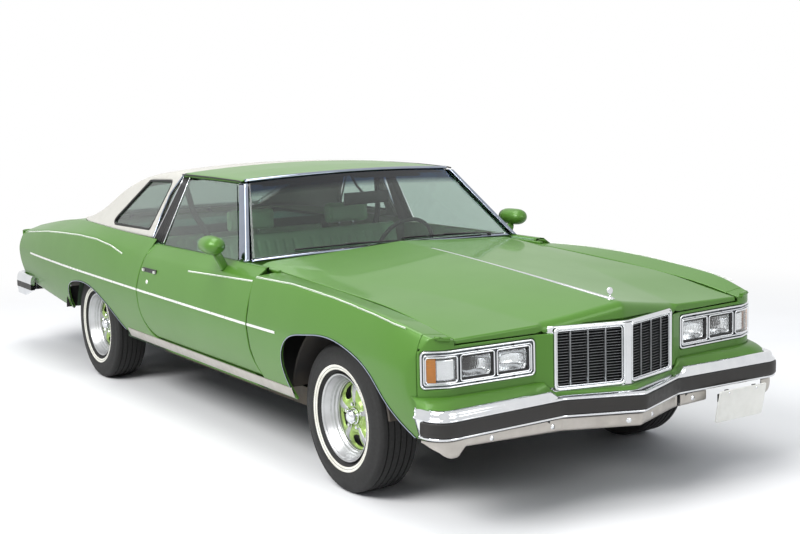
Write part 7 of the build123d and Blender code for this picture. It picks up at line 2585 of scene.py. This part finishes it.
def floor_material(name):
    """Pale floor, white to the camera beyond the object's shadow."""
    made = bpy.data.materials.new(name)
    made.use_nodes = True
    tree = made.node_tree
    shader = tree.nodes["Principled BSDF"]
    place = node(tree, "ShaderNodeTexCoord").outputs["Object"]
    noise = node(tree, "ShaderNodeTexNoise", {"Vector": place}, Scale=2.0, Detail=6.0).outputs["Fac"]
    tree.links.new(ranged(tree, noise, To_Min=0.70, To_Max=0.74), shader.inputs["Base Color"])
    shader.inputs["Roughness"].default_value = 0.85
    away = node(tree, "ShaderNodeVectorMath", {0: place}, operation="LENGTH").outputs["Value"]
    fade = node(tree, "ShaderNodeMapRange", {"Value": away, "From Min": 2.6, "From Max": 6.5},
                interpolation_type="SMOOTHSTEP").outputs[0]
    white = node(tree, "ShaderNodeEmission", Color=(1, 1, 1, 1), Strength=1.0)
    share = maths(tree, "MULTIPLY", fade, seen_directly(tree))
    mix = node(tree, "ShaderNodeMixShader", {0: share, 1: shader.outputs[0], 2: white.outputs[0]})
    tree.links.new(mix.outputs[0], tree.nodes["Material Output"].inputs["Surface"])
    return made


# Add-on: settings, operators and panel


class CoupeColours(bpy.types.PropertyGroup):
    """Colours of the car, linear."""
    paint: bpy.props.FloatVectorProperty(name="Paint", description="Body colour", subtype="COLOR", size=3,
                                         min=0, max=1, default=(0.066, 0.180, 0.020))
    roof: bpy.props.FloatVectorProperty(name="Roof", description="Vinyl of the roof", subtype="COLOR", size=3,
                                        min=0, max=1, default=(0.43, 0.42, 0.385))
    seats: bpy.props.FloatVectorProperty(name="Seats", description="Vinyl of the benches", subtype="COLOR",
                                         size=3, min=0, max=1, default=(0.25, 0.42, 0.24))
    dash: bpy.props.FloatVectorProperty(name="Dash", description="Dashboard plastic", subtype="COLOR", size=3,
                                        min=0, max=1, default=(0.036, 0.105, 0.042))
    rims: bpy.props.FloatVectorProperty(name="Wheels", description="Painted part of the wheels",
                                        subtype="COLOR", size=3, min=0, max=1, default=(0.27, 0.42, 0.08))
    stripes: bpy.props.FloatVectorProperty(name="Stripes", description="Pinstripes", subtype="COLOR", size=3,
                                           min=0, max=1, default=(0.86, 0.87, 0.82))


class CoupeSizes(bpy.types.PropertyGroup):
    """Sizes that can be changed before the pieces are made."""
    stripe: bpy.props.FloatProperty(name="Stripe width", description="Width of the main pinstripe",
                                    default=0.0030, min=0.001, max=0.03, unit="LENGTH")
    bars: bpy.props.IntProperty(name="Grille bars", description="Fine bars across each grille half",
                                default=GRILLE_BARS, min=4, max=30)
    focal: bpy.props.FloatProperty(name="Focal length",
                                   description="Camera focal length in pixels of the photograph",
                                   default=CAMERA_FOCAL_PX, min=200, max=6000)


MATERIALS = {}


def materials(context):
    """The car's materials, made once."""
    if not MATERIALS:
        MATERIALS.update(make_materials(context.scene.coupe_colours))
    return MATERIALS


def run(operator, pieces):
    """Ends an operator: an error where nothing was made."""
    if not pieces:
        raise RuntimeError(operator.bl_label + " made nothing")
    return {"FINISHED"}


class COUPE_OT_stage(bpy.types.Operator):
    """Camera, floor, world and lights."""
    bl_idname = "coupe.stage"
    bl_label = "Stage"
    bl_options = {"REGISTER", "UNDO"}

    def execute(self, context):
        return run(self, build_stage(context.scene.coupe_sizes.focal))


class COUPE_OT_kept(bpy.types.Operator):
    """Materials of the parts that keep their solid."""
    bl_idname = "coupe.kept"
    bl_label = "Kept parts"
    bl_options = {"REGISTER", "UNDO"}

    def execute(self, context):
        dress_kept_nodes(materials(context))
        return {"FINISHED"}


class COUPE_OT_fenders(bpy.types.Operator):
    """Front fenders and cowl strips."""
    bl_idname = "coupe.fenders"
    bl_label = "Front fenders"
    bl_options = {"REGISTER", "UNDO"}

    def execute(self, context):
        return run(self, build_fenders(materials(context)))


class COUPE_OT_quarters(bpy.types.Operator):
    """Quarter panels and upper deck."""
    bl_idname = "coupe.quarters"
    bl_label = "Quarter panels"
    bl_options = {"REGISTER", "UNDO"}

    def execute(self, context):
        return run(self, build_quarters(materials(context)))


class COUPE_OT_hood(bpy.types.Operator):
    """Hood with its rolled nose."""
    bl_idname = "coupe.hood"
    bl_label = "Hood"
    bl_options = {"REGISTER", "UNDO"}

    def execute(self, context):
        return run(self, build_hood(materials(context)))


class COUPE_OT_hood_trim(bpy.types.Operator):
    """Bright hood strip and ornament."""
    bl_idname = "coupe.hood_trim"
    bl_label = "Hood trim"
    bl_options = {"REGISTER", "UNDO"}

    def execute(self, context):
        return run(self, build_hood_trim(materials(context)))


class COUPE_OT_trunk(bpy.types.Operator):
    """Trunk lid."""
    bl_idname = "coupe.trunk"
    bl_label = "Trunk lid"
    bl_options = {"REGISTER", "UNDO"}

    def execute(self, context):
        return run(self, build_trunk_lid(materials(context)))


class COUPE_OT_roof_front(bpy.types.Operator):
    """Painted roof and headliner."""
    bl_idname = "coupe.roof_front"
    bl_label = "Painted roof"
    bl_options = {"REGISTER", "UNDO"}

    def execute(self, context):
        return run(self, build_roof_front(materials(context)))


class COUPE_OT_roof_rear(bpy.types.Operator):
    """Vinyl-covered rear roof."""
    bl_idname = "coupe.roof_rear"
    bl_label = "Vinyl roof"
    bl_options = {"REGISTER", "UNDO"}

    def execute(self, context):
        return run(self, build_roof_rear(materials(context)))


class COUPE_OT_doors(bpy.types.Operator):
    """Doors with trim and mirrors."""
    bl_idname = "coupe.doors"
    bl_label = "Doors"
    bl_options = {"REGISTER", "UNDO"}

    def execute(self, context):
        return run(self, build_doors(materials(context)))


class COUPE_OT_handles(bpy.types.Operator):
    """Outer door handles and locks."""
    bl_idname = "coupe.handles"
    bl_label = "Door handles"
    bl_options = {"REGISTER", "UNDO"}

    def execute(self, context):
        return run(self, build_handles(materials(context)))


class COUPE_OT_glass(bpy.types.Operator):
    """Windshield, rear, quarter and door glass."""
    bl_idname = "coupe.glass"
    bl_label = "Glass"
    bl_options = {"REGISTER", "UNDO"}

    def execute(self, context):
        return run(self, build_glass(materials(context)))


class COUPE_OT_pillars(bpy.types.Operator):
    """Bright pillars, mouldings and seals."""
    bl_idname = "coupe.pillars"
    bl_label = "Pillars and mouldings"
    bl_options = {"REGISTER", "UNDO"}

    def execute(self, context):
        return run(self, build_pillars(materials(context)))


class COUPE_OT_louvres(bpy.types.Operator):
    """Black ribbed panels behind the doors."""
    bl_idname = "coupe.louvres"
    bl_label = "Pillar louvres"
    bl_options = {"REGISTER", "UNDO"}

    def execute(self, context):
        return run(self, build_louvres(materials(context)))


class COUPE_OT_wipers(bpy.types.Operator):
    """Wiper arms and blades."""
    bl_idname = "coupe.wipers"
    bl_label = "Wipers"
    bl_options = {"REGISTER", "UNDO"}

    def execute(self, context):
        return run(self, build_wipers(materials(context)))


class COUPE_OT_header(bpy.types.Operator):
    """Painted nose round the lamps."""
    bl_idname = "coupe.header"
    bl_label = "Nose panel"
    bl_options = {"REGISTER", "UNDO"}

    def execute(self, context):
        return run(self, build_header(materials(context)))


class COUPE_OT_bezels(bpy.types.Operator):
    """Bright bezels and lamp rings."""
    bl_idname = "coupe.bezels"
    bl_label = "Lamp bezels"
    bl_options = {"REGISTER", "UNDO"}

    def execute(self, context):
        return run(self, build_bezels(materials(context)))


class COUPE_OT_lamps(bpy.types.Operator):
    """Headlamps and corner lamps."""
    bl_idname = "coupe.lamps"
    bl_label = "Front lamps"
    bl_options = {"REGISTER", "UNDO"}

    def execute(self, context):
        return run(self, build_lamps(materials(context)))


class COUPE_OT_grille(bpy.types.Operator):
    """Two-part bright grille."""
    bl_idname = "coupe.grille"
    bl_label = "Grille"
    bl_options = {"REGISTER", "UNDO"}

    def execute(self, context):
        return run(self, build_grille(materials(context), context.scene.coupe_sizes.bars))


class COUPE_OT_front_bumper(bpy.types.Operator):
    """Front bumper with valance and strip."""
    bl_idname = "coupe.front_bumper"
    bl_label = "Front bumper"
    bl_options = {"REGISTER", "UNDO"}

    def execute(self, context):
        return run(self, build_front_bumper(materials(context)))


class COUPE_OT_plate(bpy.types.Operator):
    """Blank licence plate."""
    bl_idname = "coupe.plate"
    bl_label = "Plate"
    bl_options = {"REGISTER", "UNDO"}

    def execute(self, context):
        return run(self, build_plate(materials(context)))


class COUPE_OT_tail(bpy.types.Operator):
    """Tail panel and lamps."""
    bl_idname = "coupe.tail"
    bl_label = "Tail"
    bl_options = {"REGISTER", "UNDO"}

    def execute(self, context):
        return run(self, build_tail(materials(context)))


class COUPE_OT_rear_bumper(bpy.types.Operator):
    """Rear bumper and strip."""
    bl_idname = "coupe.rear_bumper"
    bl_label = "Rear bumper"
    bl_options = {"REGISTER", "UNDO"}

    def execute(self, context):
        return run(self, build_rear_bumper(materials(context)))


class COUPE_OT_wheels(bpy.types.Operator):
    """Four tyres and wheels."""
    bl_idname = "coupe.wheels"
    bl_label = "Wheels"
    bl_options = {"REGISTER", "UNDO"}

    def execute(self, context):
        return run(self, build_wheels(materials(context)))


class COUPE_OT_stripes(bpy.types.Operator):
    """Double pinstripes of the body."""
    bl_idname = "coupe.stripes"
    bl_label = "Pinstripes"
    bl_options = {"REGISTER", "UNDO"}

    def execute(self, context):
        return run(self, build_stripes(materials(context), context.scene.coupe_sizes.stripe))


class COUPE_OT_mouldings(bpy.types.Operator):
    """Side strips, wheel lips and sills."""
    bl_idname = "coupe.mouldings"
    bl_label = "Mouldings"
    bl_options = {"REGISTER", "UNDO"}

    def execute(self, context):
        return run(self, build_mouldings(materials(context)))


class COUPE_OT_dash_unit(bpy.types.Operator):
    """Dashboard and column."""
    bl_idname = "coupe.dash_unit"
    bl_label = "Dashboard"
    bl_options = {"REGISTER", "UNDO"}

    def execute(self, context):
        return run(self, build_dash(materials(context)))


class COUPE_OT_steering(bpy.types.Operator):
    """Steering wheel."""
    bl_idname = "coupe.steering"
    bl_label = "Steering wheel"
    bl_options = {"REGISTER", "UNDO"}

    def execute(self, context):
        return run(self, build_steering(materials(context)))


class COUPE_OT_seats(bpy.types.Operator):
    """Front and rear benches."""
    bl_idname = "coupe.seats"
    bl_label = "Seats"
    bl_options = {"REGISTER", "UNDO"}

    def execute(self, context):
        return run(self, build_seats(materials(context)))


class COUPE_OT_cabin(bpy.types.Operator):
    """Shelf, mirror, visors and belts."""
    bl_idname = "coupe.cabin"
    bl_label = "Cabin trim"
    bl_options = {"REGISTER", "UNDO"}

    def execute(self, context):
        return run(self, build_cabin_trim(materials(context)))


OPERATORS = (
    COUPE_OT_stage, COUPE_OT_kept, COUPE_OT_fenders, COUPE_OT_quarters, COUPE_OT_hood,
    COUPE_OT_hood_trim, COUPE_OT_trunk, COUPE_OT_roof_front, COUPE_OT_roof_rear, COUPE_OT_doors,
    COUPE_OT_handles, COUPE_OT_glass, COUPE_OT_pillars, COUPE_OT_louvres, COUPE_OT_wipers,
    COUPE_OT_header, COUPE_OT_bezels, COUPE_OT_lamps, COUPE_OT_grille, COUPE_OT_front_bumper,
    COUPE_OT_plate, COUPE_OT_tail, COUPE_OT_rear_bumper, COUPE_OT_wheels, COUPE_OT_stripes,
    COUPE_OT_mouldings, COUPE_OT_dash_unit, COUPE_OT_steering, COUPE_OT_seats, COUPE_OT_cabin,
)


class COUPE_PT_pieces(bpy.types.Panel):
    """Sidebar panel with the settings and one button per group of pieces."""
    bl_idname = "COUPE_PT_pieces"
    bl_label = "Hardtop coupe"
    bl_space_type = "VIEW_3D"
    bl_region_type = "UI"
    bl_category = "Coupe"

    def draw(self, context):
        layout = self.layout
        for settings in (context.scene.coupe_colours, context.scene.coupe_sizes):
            for key in settings.__annotations__:
                layout.prop(settings, key)
        for operator in OPERATORS:
            layout.operator(operator.bl_idname)


CLASSES = (CoupeColours, CoupeSizes) + OPERATORS + (COUPE_PT_pieces,)


def register():
    """Adds the settings, the operators and the panel."""
    for item in CLASSES:
        bpy.utils.register_class(item)
    bpy.types.Scene.coupe_colours = bpy.props.PointerProperty(type=CoupeColours)
    bpy.types.Scene.coupe_sizes = bpy.props.PointerProperty(type=CoupeSizes)


def unregister():
    """Takes them away again."""
    del bpy.types.Scene.coupe_sizes
    del bpy.types.Scene.coupe_colours
    for item in reversed(CLASSES):
        bpy.utils.unregister_class(item)


def main():
    register()
    for operator in OPERATORS:
        family, name = operator.bl_idname.split(".")
        getattr(getattr(bpy.ops, family), name)()
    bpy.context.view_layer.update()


if __name__ == "__main__":
    main()
